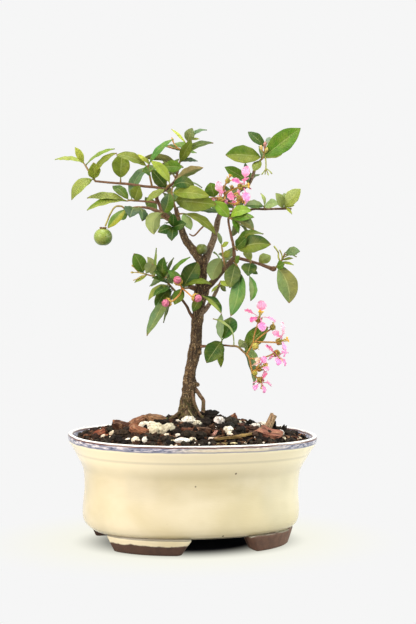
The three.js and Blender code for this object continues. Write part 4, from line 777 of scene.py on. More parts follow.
@dataclass
class Studio:
    """A pale floor that fades into pale air, soft light and the camera."""

    air: str = "#f6f6f6"
    table: str = "#d9d7d0"
    fill: float = 0.62
    pitch: float = 2.32
    roll: float = 1.42
    lens: float = 80.0
    sensor: float = 36.0
    clip_end: float = 60.0
    aim: tuple[float, float, float] = (0.0, 0.0, 120.0)
    floor_radius: float = 12.0
    painted_shadow_half: tuple[float, float] = (0.057, 0.042)
    lamps: tuple[tuple[str, tuple[float, float, float], float, float, str], ...] = (
        ("window_left", (-900.0, -450.0, 480.0), 700.0, 11.0, "#fff3e6"),
        ("window_right", (900.0, -300.0, 440.0), 700.0, 10.0, "#fbfff2"),
        ("ceiling", (-60.0, -100.0, 1250.0), 900.0, 13.0, "#ffffff"),
    )

    def build(self) -> None:
        """Makes the camera, the lamps, the air and the floor."""
        self.camera()
        for name, spot, size, power, tint in self.lamps:
            self.lamp(name, np.array(spot), size, power, tint)
        world = bpy.context.scene.world or bpy.data.worlds.new("air")
        bpy.context.scene.world = world
        world.use_nodes = True
        back = world.node_tree.nodes["Background"]
        back.inputs["Color"].default_value = linear4(self.air)
        back.inputs["Strength"].default_value = self.fill
        bpy.context.scene.view_settings.view_transform = "Standard"
        self.floor()
        self.sky()

    def camera(self) -> None:
        """A lens at the eye that looks along the tree's view, pitched and rolled."""
        pitch, roll = math.radians(self.pitch), math.radians(self.roll)
        ahead = -TOWARDS * math.cos(pitch) - UP * math.sin(pitch)
        head = np.cross(RIGHT, ahead)
        right = RIGHT * math.cos(roll) + head * math.sin(roll)
        head = head * math.cos(roll) - RIGHT * math.sin(roll)
        data = bpy.data.cameras.new("view")
        data.lens, data.sensor_width, data.clip_end = self.lens, self.sensor, self.clip_end
        camera = add_object("view", data)
        turn = Matrix([Vector(right), Vector(head), Vector(-ahead)]).transposed()
        camera.matrix_world = Matrix.Translation(Vector(EYE) * MM) @ turn.to_4x4()
        bpy.context.scene.camera = camera

    def lamp(self, name: str, spot: Array, size: float, power: float, tint: str) -> None:
        """A square lamp of a size in millimetres that faces the middle of the tree."""
        data = bpy.data.lights.new(name, "AREA")
        data.shape, data.size, data.energy, data.color = "SQUARE", size * MM, power, linear(tint)
        lamp = add_object(name, data)
        turn = Vector(np.array(self.aim) - spot).to_track_quat("-Z", "Y").to_matrix().to_4x4()
        lamp.matrix_world = Matrix.Translation(Vector(spot) * MM) @ turn
        lamp.visible_camera = False

    def floor(self) -> None:
        """Two discs. One glows as pale as the air, with a painted shadow and painted warm light round the pot:
        its glow is warmer and weaker close to the pot and gone under it. One only returns light, as a matt
        table does."""
        paint = Paint("pale_floor", roughness=0.9, specular=0.0)
        x, y, _ = paint.split(paint.place((1 / self.painted_shadow_half[0], 1 / self.painted_shadow_half[1], 1.0)))
        reach = paint.maths("SQRT", paint.maths("ADD", paint.times(x, x), paint.times(y, y)))
        away = paint.band(reach, 1.0, 2.4)
        paint.set("Base Color", paint.mix(away, "#2a2b36", "#000000"))
        # Painted warm light, as if thrown back from the pot onto the floor close to it.
        paint.set("Emission Color", paint.mix(away, "#f4f3e4", self.air))
        # Painted shadow: the glow weakens near the pot and is gone under its footprint.
        paint.set("Emission Strength", paint.band(reach, 0.62, 1.26))
        glow = self.disc("pale_floor", 0.0, paint)
        glow.visible_diffuse = False
        matt = Paint("matt_floor", roughness=0.9, specular=0.0)
        matt.set("Base Color", linear4(self.table))
        self.disc("matt_floor", -0.0004, matt).visible_camera = False

    def disc(self, name: str, level: float, paint: Paint) -> bpy.types.Object:
        """A wide flat disc at a level in metres."""
        shape = bmesh.new()
        bmesh.ops.create_circle(shape, cap_ends=True, segments=96, radius=self.floor_radius,
                                matrix=Matrix.Translation((0, 0, level)))
        return self.scenery(name, shape, paint)

    def sky(self) -> None:
        """A dome of pale air behind everything, which lights nothing."""
        paint = Paint("pale_air", roughness=1.0, specular=0.0)
        paint.set("Base Color", linear4("#000000"))
        paint.set("Emission Color", linear4(self.air))
        paint.set("Emission Strength", 1.0)
        shape = bmesh.new()
        bmesh.ops.create_uvsphere(shape, u_segments=64, v_segments=32, radius=self.floor_radius + 1.0)
        dome = self.scenery("pale_air", shape, paint)
        dome.visible_diffuse = dome.visible_shadow = False

    def scenery(self, name: str, shape: bmesh.types.BMesh, paint: Paint) -> bpy.types.Object:
        """An object of the scenery: a mesh of the shape, with the material."""
        mesh = bpy.data.meshes.new(name)
        shape.to_mesh(mesh)
        shape.free()
        mesh.materials.append(paint.material)
        piece = add_object(name, mesh)
        return piece


@dataclass
class OvalPot:
    """The glazed pot: a flared body, four corner feet and its drain screens."""

    rim_half: tuple[float, float] = (72.3, 53.8)
    foot_half: tuple[float, float] = (59.3, 44.3)
    foot_inner_half: tuple[float, float] = (44.0, 30.0)
    foot_draft: float = 2.4
    foot_height: float = 8.5
    foot_ease: float = 0.9
    foot_shares: tuple[float, ...] = (0.0, 0.03, 0.08, 0.2, 0.4, 0.6, 0.8, 1.0, 1.1)
    front_arch: tuple[float, float, float] = (32.0, 42.5, 3.0)
    end_arch: tuple[float, float, float] = (38.0, 43.0, 1.0)
    roundness: float = 2.3
    floor_top: float = 14.0
    drain_x: float = 28.0
    drain_radius: float = 6.0
    sides: int = 240
    profile: tuple[tuple[float, float], ...] = (
        (16.0, 8.5), (14.2, 8.6), (13.2, 9.2), (12.2, 9.9), (11.2, 10.8), (10.3, 11.9), (9.5, 13.8),
        (9.1, 16.2), (9.05, 20.0), (9.4, 25.0), (9.85, 30.5), (9.75, 35.5), (9.4, 39.2), (8.9, 42.2),
        (7.6, 45.3), (5.5, 49.1), (3.4, 52.9), (1.75, 55.6), (0.85, 57.0), (0.45, 58.0), (0.15, 59.2),
        (0.0, 60.3), (0.1, 61.2), (0.45, 61.8), (1.0, 62.15), (1.7, 62.1), (2.4, 61.7), (3.0, 60.8),
        (4.6, 57.6), (8.0, 51.6), (13.0, 42.0), (13.8, 14.0),
    )
    screen_side: float = 17.0
    screen_base: float = 14.38
    screen_thick: float = 0.8
    screen_margin: float = 0.3
    screen_threads: int = 11
    thread_radius: float = 0.22
    glaze: Glaze = field(default_factory=Glaze)

    def build(self) -> None:
        """Makes the pot and both screens."""
        feet = [self.foot(sx, sy) for sx in (-1, 1) for sy in (-1, 1)]
        pot = make_object("oval_pot", [self.body(), *feet], [self.glaze.material()])
        self.drill(pot)
        dress(pot, "glazed_pot", "pot")
        mesh_paint = Mottled("black_mesh", 0.6, "#050505", depth=0.00005).material()
        for name, x in (("left", -self.drain_x), ("right", self.drain_x)):
            screen = make_object(f"drain_mesh_{name}", self.threads(x), [mesh_paint])
            dress(screen, "drain_screen", f"drain_screen_{name}")

    def body(self) -> Shell:
        """The profile carried round the squarish oval: inset from the rim, at its
        height, out of smooth curves through the listed rows."""
        rows = smooth_path(np.array(self.profile), 4)
        angles = turns(self.sides)
        inset = rows[:, 0:1]
        plan = oval(self.rim_half[0] - inset, self.rim_half[1] - inset, angles, self.roundness)
        height = np.broadcast_to(rows[:, 1:2], plan.shape[:2])
        rings = np.dstack([plan, height])
        return Shell.loft(rings, np.array([0.0, 0.0, self.foot_height]), np.array([0.0, 0.0, self.floor_top]))

    def foot(self, sx: int, sy: int) -> Shell:
        """One corner foot: at each height the outer oval from one arch edge to the
        other, then the inner oval back, with its corners eased by averaging."""
        rings = []
        for share in self.foot_shares:
            wide = min(share, 1.0)
            ease = self.foot_ease * (1.0 - min(1.0, share / self.foot_shares[2])) ** 2
            edges = [
                sign * shift + (low * (1 - wide) + high * wide) / 2 + ease
                for sign, (high, low, shift) in ((sx, self.front_arch), (sy, self.end_arch))
            ]
            outer = [half - self.foot_draft * (1 - wide) - ease for half in self.foot_half]
            inner = [half + ease for half in self.foot_inner_half]
            loop = np.vstack([self.arc(outer, *edges, 40), self.arc(inner, *edges, 24)[::-1]])
            for _ in range(2):
                loop = 0.5 * loop + 0.25 * (np.roll(loop, 1, 0) + np.roll(loop, -1, 0))
            rings.append(np.column_stack([loop * (sx, sy), np.full(len(loop), share * self.foot_height)]))
        grid = np.array(rings)
        return Shell.loft(grid, grid[0].mean(0), grid[-1].mean(0))

    def arc(self, halves: list[float], edge_x: float, edge_y: float, count: int) -> Array:
        """Points on one quarter of the oval where x passes edge_x and y passes edge_y."""
        power = self.roundness
        far_x = halves[0] * (1 - (edge_y / halves[1]) ** power) ** (1 / power)
        x = edge_x + (far_x - edge_x) * np.sin(np.linspace(0, math.pi / 2, count))
        y = halves[1] * (1 - np.clip(x / halves[0], 0, 1) ** power) ** (1 / power)
        return np.column_stack([x, y])

    def drill(self, pot: bpy.types.Object) -> None:
        """Cuts both drain holes."""
        for x in (-self.drain_x, self.drain_x):
            profile = np.array([[-4, 0], [-4, self.drain_radius], [24, self.drain_radius], [24, 0]], float)
            plug = make_object("plug", [turned(np.array([x, 0.0, 0.0]), UP, profile, 48, PLAIN)], [])
            cut = pot.modifiers.new("drain", "BOOLEAN")
            cut.operation, cut.object, cut.solver = "DIFFERENCE", plug, "EXACT"
            graph = bpy.context.evaluated_depsgraph_get()
            drilled = bpy.data.meshes.new_from_object(pot.evaluated_get(graph))
            pot.modifiers.clear()
            pot.data = drilled
            bpy.data.objects.remove(plug)

    def threads(self, x: float) -> list[Shell]:
        """A square woven mesh: threads both ways, each waved over and under."""
        half = self.screen_side / 2 - self.screen_margin
        places = np.linspace(-half, half, self.screen_threads)
        along = np.linspace(-half - 0.2, half + 0.2, 4 * self.screen_threads)
        wave = np.cos((along + half) / (2 * half) * math.pi * (self.screen_threads - 1)) * 0.14
        middle = self.screen_base + self.screen_thick / 2
        still, radius = np.ones(len(along)), np.full(len(along), self.thread_radius)
        shells = []
        for index, spot in enumerate(places):
            lift = wave if index % 2 else -wave
            for row in ((x + along, still * spot, middle + lift), (still * (x + spot), along, middle - lift)):
                shells.append(tube(np.column_stack([*row, radius]), 6, linear("#1c1d1b")))
        return shells


@dataclass(frozen=True)
class Lying:
    """A large piece that lies on the mix: at x and y, its three sizes, its tone, how
    far it stands out, how it is turned, tipped and rolled in degrees, and its slant."""

    at: tuple[float, float]
    size: tuple[float, float, float]
    tone: str
    lift: float
    turn: tuple[float, float, float] = (0, 0, 0)
    skew: float = 0.0

    def axes(self) -> Array:
        """Rolled about its length, tipped about its width, then turned about Z."""
        spin, tip, roll = (math.radians(angle) for angle in self.turn)
        turn = Matrix.Rotation(spin, 3, "Z") @ Matrix.Rotation(tip, 3, "Y") @ Matrix.Rotation(roll, 3, "X")
        return np.array(turn)


CHIPS = (
    Lying((-37.6, -16.6), (11, 5.6, 2.6), "#8f5a3d", 1.8, (-14, 22, 20), 0.25),
    Lying((34.6, -30.2), (13.6, 7.6, 2.4), "#94604e", 2.8, (-22, 14, 24), 0.55),
    Lying((-57.2, -3.5), (7.4, 5, 3.4), "#7a3d24", 1.4, (10, -18, 20), 0.3),
    Lying((-54, -9.5), (6, 2.6, 2), "#8c4a2b", 0.8, (-30, 4, 10)),
    Lying((-21.5, 3), (15.5, 6.5, 4), "#9b7350", 1.6, (30, 3, 20), -0.3),
    Lying((-34, 1), (12.5, 6, 4.2), "#7c4f34", 1.8, (4, -24, 14), 0.3),
    Lying((-43.5, 0.5), (10.5, 5.5, 4.6), "#4b2c1c", 2, (-10, 12, 16), 0.3),
    Lying((41.5, -14), (12, 3.6, 2), "#a58b6b", 4.6, (8, -64, 30), 0.2),
    Lying((39, -15), (5, 4, 3), "#8b7458", 1.6, (30, 8, 0)),
    Lying((21.5, -4), (9, 3.4, 2.4), "#6d3f26", 1.8, (8, -30, 30), 0.4),
    Lying((58, -20.5), (7.4, 2.6, 2), "#6b3c22", 1.2, (38, -8, 0)),
    Lying((24.6, -31.4), (6.4, 5, 2.6), "#503c31", 1.2, (60, 30, 10), 0.2),
    Lying((25, -17.6), (9, 5, 3), "#4d2c20", 1, (-40, 14, 10), 0.3),
    Lying((-2.6, -24.7), (8.2, 3.4, 2.2), "#58402f", 1.2, (12, 6, 10)),
    Lying((6, -38.6), (17, 2.2, 1.5), "#7a6234", 2, (4, -3, 0)),
    Lying((16.5, -35.2), (13, 1.9, 1.3), "#a3854c", 2.2, (16, -4, 0)),
    Lying((1.2, -43.4), (6, 2.2, 1.3), "#b39a68", 0.8, (4, 0, 0)),
    Lying((-4.5, -10), (5.6, 2.4, 1.6), "#a3592f", 1.2, (10, 0, 0)),
    Lying((1.5, -31), (6, 1.8, 1.4), "#a8776a", 1.4, (50, -20, 0)),
    Lying((-12.5, -24.5), (7, 3, 2.4), "#5d3722", 1, (-20, 6, 0)),
    Lying((47.5, -27), (6, 3, 2), "#59371f", 0.8, (30, 8, 0)),
    Lying((-28, -34), (4, 1.6, 1.2), "#b8673c", 0.9, (20, 0, 0)),
    Lying((30, 24), (10, 6, 3.4), "#7b4a2e", 1, (30, 10, 8)),
    Lying((-36, 26), (11, 5, 3.4), "#8c5232", 1, (-20, 12, 8)),
)
CLODS = (
    Lying((-47.8, -14.6), (10.5, 8, 6.4), "#3a2c1e", 1.2, (20, 0, 0)),
    Lying((-43, -11.5), (8, 6.6, 5.4), "#2c2118", 1.4, (60, 0, 0)),
    Lying((-49.4, 0.5), (4.6, 4.2, 4), "#2f2a20", 2),
    Lying((-54, 2), (3.6, 3.2, 3), "#2b3319", 2),
    Lying((-35.2, -31), (6.8, 5.4, 4.4), "#2a231b", 1, (30, 0, 0)),
    Lying((-27.4, -33.6), (8.4, 5.4, 4.2), "#332a20", 1),
    Lying((-12.2, -20.6), (8, 6.2, 5.2), "#2b241c", 1.4, (20, 0, 0)),
    Lying((-14.6, -30.8), (9.6, 6.4, 5), "#33291e", 1.4, (-10, 0, 0)),
    Lying((-23, -8), (11, 7, 5.2), "#241a13", 1.2),
    Lying((-7.5, -33), (7.2, 5.4, 4.6), "#2c241b", 1.2),
    Lying((8, -2), (12.5, 8.5, 7.4), "#1f1712", 2, (10, 0, 0)),
    Lying((13.5, -6.5), (7.5, 6, 5), "#2a1d15", 1.4),
    Lying((1.5, -13.5), (9.5, 7, 5.4), "#231a13", 1),
    Lying((17.4, -13.2), (9, 7, 6), "#38332a", 1.8, (30, 0, 0)),
    Lying((14.6, -19), (6.4, 5, 4.6), "#2b2a26", 1.4),
    Lying((31, -9.5), (5, 4.2, 5), "#1f1d18", 2),
    Lying((17.8, -27), (7.4, 5.6, 5), "#262019", 1.2),
    Lying((28.5, -23.5), (7, 5.4, 4.4), "#4a3428", 1.2),
    Lying((36, -19.5), (6, 5, 4), "#57473a", 1),
    Lying((44.6, -12), (4, 4, 6.2), "#1d1713", 3.4, (0, 0, 20)),
    Lying((46.2, -13.5), (5.4, 3, 3), "#231c17", 1.8, (0, 30, 0)),
    Lying((50.6, -13.2), (2.6, 2.6, 5.6), "#231b16", 2.6, (0, 28, 0)),
    Lying((51, -20), (8, 5, 4), "#2d241c", 1, (-20, 0, 0)),
    Lying((52.5, -25.5), (6, 4, 2.8), "#4c2b1a", 0.8, (-30, 0, 0)),
    Lying((-9, -40.8), (6, 3.6, 2.6), "#241b14", 0.8),
    Lying((30, -37), (8, 4, 3), "#1d130d", 0.6),
)
PUMICE = (
    Lying((-32.6, -8), (7.6, 6.2, 5.2), "#efe6d2", 2, (10, 0, 0)),
    Lying((-29.4, -12.4), (7, 6, 5.4), "#ece1cb", 2, (40, 0, 0)),
    Lying((-29.4, -21), (7.6, 6.4, 8.6), "#ebe0c3", 1.6, (0, 10, 0)),
    Lying((-22.8, -22.4), (9, 6.8, 7.2), "#cfc6ae", 1.8, (30, 0, 10)),
    Lying((-20.2, -38.4), (9, 4.2, 3), "#efe9e2", 1.4, (4, 0, 0)),
    Lying((-7.4, -11.8), (8, 6.2, 5.2), "#e9e6d8", 1.8, (-20, 0, 0)),
    Lying((-3, -15), (5.4, 4.4, 3.4), "#d9d4bd", 1.2, (-40, 0, 0)),
    Lying((10.3, -13.8), (7.2, 5.6, 5.6), "#ece3de", 2.2, (20, 0, 0)),
    Lying((10.8, -28), (5.4, 4.6, 4.8), "#efe8d8", 2),
    Lying((10.2, -31.6), (3.6, 2.8, 1.8), "#e4d3bd", 1.2),
    Lying((44.8, -22.6), (3.8, 3.4, 4.4), "#dcd3ce", 1.6, (0, 30, 0)),
    Lying((33, -13.4), (6.6, 5, 4), "#dedad2", 1.4),
    Lying((-43.2, -8.4), (3.4, 3, 2.6), "#f0ead8", 1.6),
    Lying((-56.4, -9.4), (3.2, 2.6, 2.4), "#eae0c9", 1.2),
    Lying((-51.5, -10.4), (3.6, 2.8, 4.6), "#d9cbae", 1.6, (0, 10, 0)),
    Lying((-53.6, -14.6), (2.8, 2.4, 1.8), "#e6dcc6", 1),
    Lying((-43.6, -28.8), (5.2, 4.2, 3.6), "#f0e5cd", 1.2),
    Lying((-39, -31.2), (3.6, 3.2, 4), "#f1ecdf", 1.2),
    Lying((-24.6, -36.6), (3.8, 2.4, 1.4), "#e7d6a6", 0.8),
    Lying((-20.4, -31.6), (3.2, 2.8, 3), "#ece2d2", 1.4),
    Lying((-25.6, -28.2), (3.4, 2.6, 2), "#dccfb6", 1.2),
    Lying((-2.2, -37.6), (4.4, 2.6, 1.8), "#ead9c8", 1.2),
    Lying((8.4, -43), (4.6, 2, 1.2), "#e9d9a8", 0.8),
    Lying((25, -7.5), (3.6, 2.6, 2), "#d8cfb0", 1.4),
    Lying((28.5, -7), (3.4, 2.6, 2.2), "#e3d6c6", 1.4),
    Lying((54.8, -26), (4.6, 2.6, 2), "#e2c9ae", 1, (20, 0, 0)),
    Lying((16, -4.5), (4.2, 2.4, 1.8), "#d9d2b4", 2),
    Lying((46, 8), (5.6, 5, 4.2), "#e6dccb", 1.4),
    Lying((-14, 30), (6, 5, 4.4), "#f0ebe2", 1.4),
)


@dataclass
class PottingMix:
    """The dark mound with clods, split bark, pumice and finer crumbs between them."""

    half: tuple[float, float] = (68.3, 50.0)
    rim_half: tuple[float, float] = (67.3, 48.8)
    base_height: float = 59.0
    rise: float = 12.0
    slope: float = 1.3
    roundness: float = 2.3
    crumbs: int = 2300
    slivers: int = 330
    grit: int = 120
    spare_clods: int = 230
    spare_chips: int = 110
    spare_stones: int = 26
    clod_look: tuple[int, float] = (0, 0.75)
    stone_look: tuple[int, float] = (2, 0.42)
    wall: tuple[tuple[float, float], ...] = ((0.82, 14.6), (0.845, 42.0), (0.94, 52.5), (0.98, 57.6))
    crumb_tones: str = "#241810 #1a120d #33231a #432a1b #563622 #2f2820 #3a3227 #151010"
    sliver_tones: str = "#7a4f30 #8a5a38 #5a3b26 #a07a52 #3a2a1e"
    grit_tones: str = "#e9e2d6 #d8cdbb #f1ece4 #cdbfa9"
    clod_tones: str = "#2b2119 #221910 #352a1f #3d2c1e #1d1611 #4b3322"
    chip_tones: str = "#5a3420 #3b2517 #754527 #2b1d14 #8a5637 #4a2f20"
    stone_tones: str = "#e6dccb #d8cbb0 #efe9dc"

    def build(self) -> None:
        """Makes the mound with all that lies on it."""
        rng = np.random.default_rng(41)
        crumb_paint = Mottled("bark_crumb", 0.9, "#0b0704", 0.85, 520.0, 0.0007, 0.2).material()
        stone_paint = Mottled("pumice", 0.95, "#8f8468", 0.55, 430.0, 0.0008, 0.2).material()
        paints = [crumb_paint, ChipSkin().material(), stone_paint]
        dress(make_object("mound", [self.mound()], paints), "potting_mix", "soil")
        dress(make_object("loose_crumbs", self.scatter_crumbs(rng), paints), "potting_mix")
        listed = [
            *(self.slab(rng, chip) for chip in CHIPS),
            *(self.boulder(rng, clod, *self.clod_look) for clod in CLODS),
            *(self.boulder(rng, stone, *self.stone_look) for stone in PUMICE),
        ]
        dress(make_object("chips_and_pumice", listed, paints), "potting_mix")
        dress(make_object("spare_bark", self.spare(rng), paints), "potting_mix")

    def plan(self, share: Array, angles: Array) -> Array:
        """Spots x, y at a share of the way out to the oval, at some angles."""
        return oval(self.rim_half[0] * share, self.rim_half[1] * share, angles, self.roundness)

    def height(self, x: Array, y: Array) -> Array:
        """The mound's height: base + rise max(0, 1 - share^slope), share being how far
        out of the oval a spot lies."""
        share = (np.abs(x) / self.half[0]) ** self.roundness + (np.abs(y) / self.half[1]) ** self.roundness
        return self.base_height + self.rise * np.maximum(0, 1 - share ** (self.slope / self.roundness))

    def mound(self) -> Shell:
        """Rings from the floor of the pot up its wall, then inwards over the mound,
        0.6 mm low and roughened by 1.3 mm of coarse and 0.9 mm of fine noise."""
        angles = turns(200)
        rings = []
        for share, z in self.wall:
            plan = self.plan(share, angles)
            rings.append(np.column_stack([plan, np.full(len(plan), z)]))
        for share in np.linspace(0.985, 0.02, 70):
            plan = self.plan(share, angles)
            z = self.height(plan[:, 0], plan[:, 1]) - 0.6
            spots = np.column_stack([plan, np.zeros(len(plan))])
            z = z + 1.3 * rough_noise(spots / 3.2, 5) + 0.9 * rough_noise(spots / 1.1, 9)
            rings.append(np.column_stack([plan, z]))
        grid = np.array(rings)
        return Shell.loft(grid, UP * self.wall[0][1], grid[-1].mean(0), linear("#1e140d"))

    def spots(self, rng: Chances, count: int, reach: float, room: float = 0.0) -> Array:
        """Even random spots on the oval: radius the root of a random share. Those that
        would lie on a listed piece are left out, room being their own radius."""
        angle = rng.uniform(0, 2 * math.pi, count)
        plan = self.plan(np.sqrt(rng.uniform(0, 1, count)) * reach, angle)
        for piece in (*CHIPS, *CLODS, *PUMICE) if room > 0 else ():
            away = np.hypot(*(plan - piece.at).T)
            plan = plan[away > room + 0.42 * max(piece.size[:2])]
        return np.column_stack([plan, self.height(plan[:, 0], plan[:, 1])])

    def scatter_crumbs(self, rng: Chances) -> list[Shell]:
        """Small lumps and slivers, a few dozen faces each, in bark browns."""
        shells = []
        tones = self.crumb_tones.split()
        for spot in self.spots(rng, self.crumbs, 0.985):
            size = rng.gamma(5.0, 0.17) + 0.4
            stretch = rng.uniform(0.65, 1.5, 3)
            tone = tones[rng.integers(len(tones))]
            sink = UP * (rng.uniform(-0.1, 0.45) * size)
            shells.append(self.lump(rng, spot + sink, size * stretch, tone, 0))
        tones = self.sliver_tones.split()
        for spot in self.spots(rng, self.slivers, 0.97):
            tone = tones[rng.integers(len(tones))]
            size = np.array([rng.uniform(1.6, 4.2), rng.uniform(0.35, 0.9), rng.uniform(0.25, 0.6)])
            shells.append(self.lump(rng, spot + (0, 0, 0.7), size, tone, 1, cols=6, tilt=0.35))
        tones = self.grit_tones.split()
        for spot in self.spots(rng, self.grit, 0.96, 0.5):
            tone = tones[rng.integers(len(tones))]
            size = rng.uniform(0.5, 1.1) * rng.uniform(0.8, 1.2, 3)
            shells.append(self.lump(rng, spot + (0, 0, 0.9), size, tone, 2))
        return shells

    def lump(self, rng: Chances, spot: Array, size: Array, tone: str, finish: int,
             cols: int = 7, tilt: float = 1.6) -> Shell:
        """A rough lump: a ball of three rings, each point pushed in or out at random,
        stretched by its size, turned and set on its spot."""
        ball = round_ball(3, cols)[2] * rng.uniform(0.72, 1.12, (3, cols, 1)) * size
        turn = self.turn(rng, tilt)
        pole = turn @ (0, 0, size[2] * 0.8)
        return Shell.loft(ball @ turn.T + spot, pole + spot, spot - pole, linear(tone), finish, flat=True)

    def turn(self, rng: Chances, tilt: float) -> Array:
        """A random turn about the upright axis after a random tilt."""
        spin, lean, way = rng.uniform(0, 2 * math.pi), rng.uniform(-tilt, tilt), rng.uniform(0, math.pi)
        axis = (math.cos(way), math.sin(way), 0)
        return np.array(Matrix.Rotation(spin, 3, "Z") @ Matrix.Rotation(lean, 3, axis))

    def seat(self, piece: Lying) -> Array:
        """Where the middle of a piece is: its spot on the mound plus its lift."""
        x, y = piece.at
        return np.array([x, y, float(self.height(np.array(x), np.array(y))) + piece.lift])

    def slab(self, rng: Chances, chip: Lying) -> Shell:
        """A split chip: a squarish rod along x with skewed ragged ends, its rings
        roughened by noise drawn out along the grain."""
        rows, cols = 24, 36
        along = np.linspace(-1, 1, rows)[:, None]
        angles = turns(cols)
        ends = (1 - np.abs(along) ** 16) ** 0.25
        section = oval(1.0, 1.0, angles, 9.0)
        length, width, thick = chip.size
        y = section[:, 0] * ends * width / 2
        z = section[:, 1] * ends * thick / 2
        x = np.broadcast_to(along * length / 2, y.shape) + chip.skew * y
        flat = np.column_stack([x.ravel(), y.ravel(), z.ravel()])
        seed = int(rng.integers(1000))
        push = rough_noise(flat * (0.2, 0.9, 0.9), seed) * 0.5
        push = push + rough_noise(flat * (0.3, 3.2, 3.2), seed + 1) * 0.22
        flat = flat * (1 + push[:, None] * (0.0, 0.8, 1.4))
        ragged = rough_noise(flat * (0.1, 1.5, 1.5), seed + 7) * (np.abs(along) > 0.8).repeat(cols)
        flat[:, 0] += 0.16 * length * np.sign(np.repeat(along, cols)) * ragged
        shade = 1.0 + 0.5 * rough_noise(flat * (0.25, 1.6, 1.6), seed + 3)
        tones = with_poles(linear(chip.tone) * shade[:, None], cols)
        grid = (flat @ chip.axes().T + self.seat(chip)).reshape(rows, cols, 3)
        return Shell.loft(grid, grid[0].mean(0), grid[-1].mean(0), tones, 1)

    def boulder(self, rng: Chances, piece: Lying, finish: int, rough: float) -> Shell:
        """A clod or a stone: a ball pushed about by coarse and fine noise, with pits
        where a finer noise dips, and painted shade that darkens the pits."""
        rows, cols = 22, 32
        ball = round_ball(rows, cols)[2].reshape(-1, 3)
        seed = int(rng.integers(1000))
        push = 1 + rough * rough_noise(ball * 1.2 + seed, seed, 3)
        push = push + 0.4 * rough * rough_noise(ball * 3.6, seed + 2, 3)
        pits = np.clip(rough_noise(ball * 5.0 + seed, seed + 5, 2) - 0.14, 0, 1)
        ball = ball * (push - 0.9 * pits)[:, None] * np.array(piece.size) / 2
        grid = (ball @ piece.axes().T + self.seat(piece)).reshape(rows, cols, 3)
        tone = linear(piece.tone)
        # Painted shade: the tone darkens in the pits.
        tones = tone * np.clip(1 - 2.2 * pits + 0.5 * rough_noise(ball * 0.8, seed + 9), 0.15, 1.5)[:, None]
        tones = np.clip(np.vstack([tone, tones, tone]), 0.004, 0.95)
        return Shell.loft(grid, grid[0].mean(0), grid[-1].mean(0), tones, finish)

    def spare(self, rng: Chances) -> list[Shell]:
        """Further clods, chips and stones in the room that the listed ones leave."""
        shells = []
        for count, room, tones, look in (
            (self.spare_clods, 1.6, self.clod_tones, self.clod_look),
            (self.spare_chips, 2.2, self.chip_tones, None),
            (self.spare_stones, 1.8, self.stone_tones, self.stone_look),
        ):
            palette = tones.split()
            for x, y, _ in self.spots(rng, count, 0.93, room):
                tone = palette[rng.integers(len(palette))]
                spin = (rng.uniform(0, 360), rng.uniform(-14, 14), rng.uniform(-25, 25))
                if look is None:
                    size = (rng.uniform(3.5, 7.5), rng.uniform(1.8, 3.8), rng.uniform(1.0, 2.2))
                    shells.append(self.slab(rng, Lying((x, y), size, tone, 0.7, spin, rng.uniform(-0.5, 0.5))))
                else:
                    size = tuple(rng.uniform(2.4, 5.0) * rng.uniform(0.8, 1.15, 3) * (1, 1, 0.8))
                    shells.append(self.boulder(rng, Lying((x, y), size, tone, 0.5, spin), *look))
        return shells


TRUNK: Route = (
    (-3, 56, 0, 5.6), (-3, 66, 0, 6), (-3.2, 71, 0, 6.4), (-3.7, 75, 0, 5.2), (-4.2, 80, 0.3, 4.4),
    (-3.9, 85, 0.5, 3.8), (-3.1, 90, 0.6, 4), (-2.9, 95, 0.6, 3.5), (-2.2, 100, 0.5, 3.2),
    (-1.3, 105, 0.4, 3.3), (-0.6, 110, 0.2, 3.7), (-0.1, 115, 0, 3.3), (0.1, 120, 0, 3.1), (0.6, 126, 0, 3.3),
    (1.4, 132, 0, 3.3), (2, 138, 0, 3.3), (2.3, 144.5, 0, 4.3), (2.5, 151, 0, 2.9), (2.9, 158, 0, 3),
    (3.2, 163, 0, 2.6),
)
ROOTS: tuple[Route, ...] = (
    (
        (-1, 89, 1, 1.5), (1.6, 86.3, 1, 1.2), (3.5, 83.6, 1.2, 1.1), (5.2, 81.2, 1.2, 1.15),
        (5.3, 77.5, 1, 1.2), (5.2, 70, 1, 1.3),
    ),
    ((-1.5, 88, 2.6, 1), (-1, 84, 3.2, 0.9), (0.4, 79, 3.4, 0.9), (3, 73.8, 3, 0.8), (6, 70, 2.6, 0.8)),
    ((-5, 77, 1, 1.6), (-8.6, 73.6, 2.5, 1.2), (-13, 70.4, 5, 0.9), (-17, 67.4, 8, 0.8)),
    ((-4, 76, 2, 1.6), (-4.5, 72.4, 7, 1.2), (-6, 67.4, 13, 0.9)),
    ((-2, 76, -2, 1.7), (2, 73, -6, 1.2), (7, 69.4, -10, 0.9)),
)
ROOTLETS: tuple[tuple[Route, str], ...] = (
    (
        ((-20.3, 66.5, 13, 0.35), (-18, 66.4, 17, 0.45), (-16, 64.6, 22, 0.4), (-14.6, 63.2, 26, 0.3)),
        "#a08a5c",
    ),
    (((-15.4, 67, 9, 0.3), (-12, 68, 9, 0.4), (-8.6, 69.4, 8, 0.4)), "#8f7a50"),
    (
        ((-3.3, 75.5, 5.6, 0.35), (-1.4, 72.6, 6.2, 0.4), (0.4, 69.4, 6.4, 0.4), (1.6, 66.6, 6.6, 0.35)),
        "#8d8258",
    ),
    (((2.6, 71.6, 3, 0.3), (2, 69, 4.6, 0.35), (1, 66.2, 6.6, 0.3)), "#7d7a4c"),
    (((-14.9, 67.4, 8, 0.35), (-15, 69, 8.2, 0.5), (-15.6, 70.6, 8.4, 0.3)), "#5a8a2a"),
    (((-14.9, 68, 8, 0.3), (-14, 69.2, 8.6, 0.45), (-13.2, 69.8, 9, 0.25)), "#6c9a34"),
)
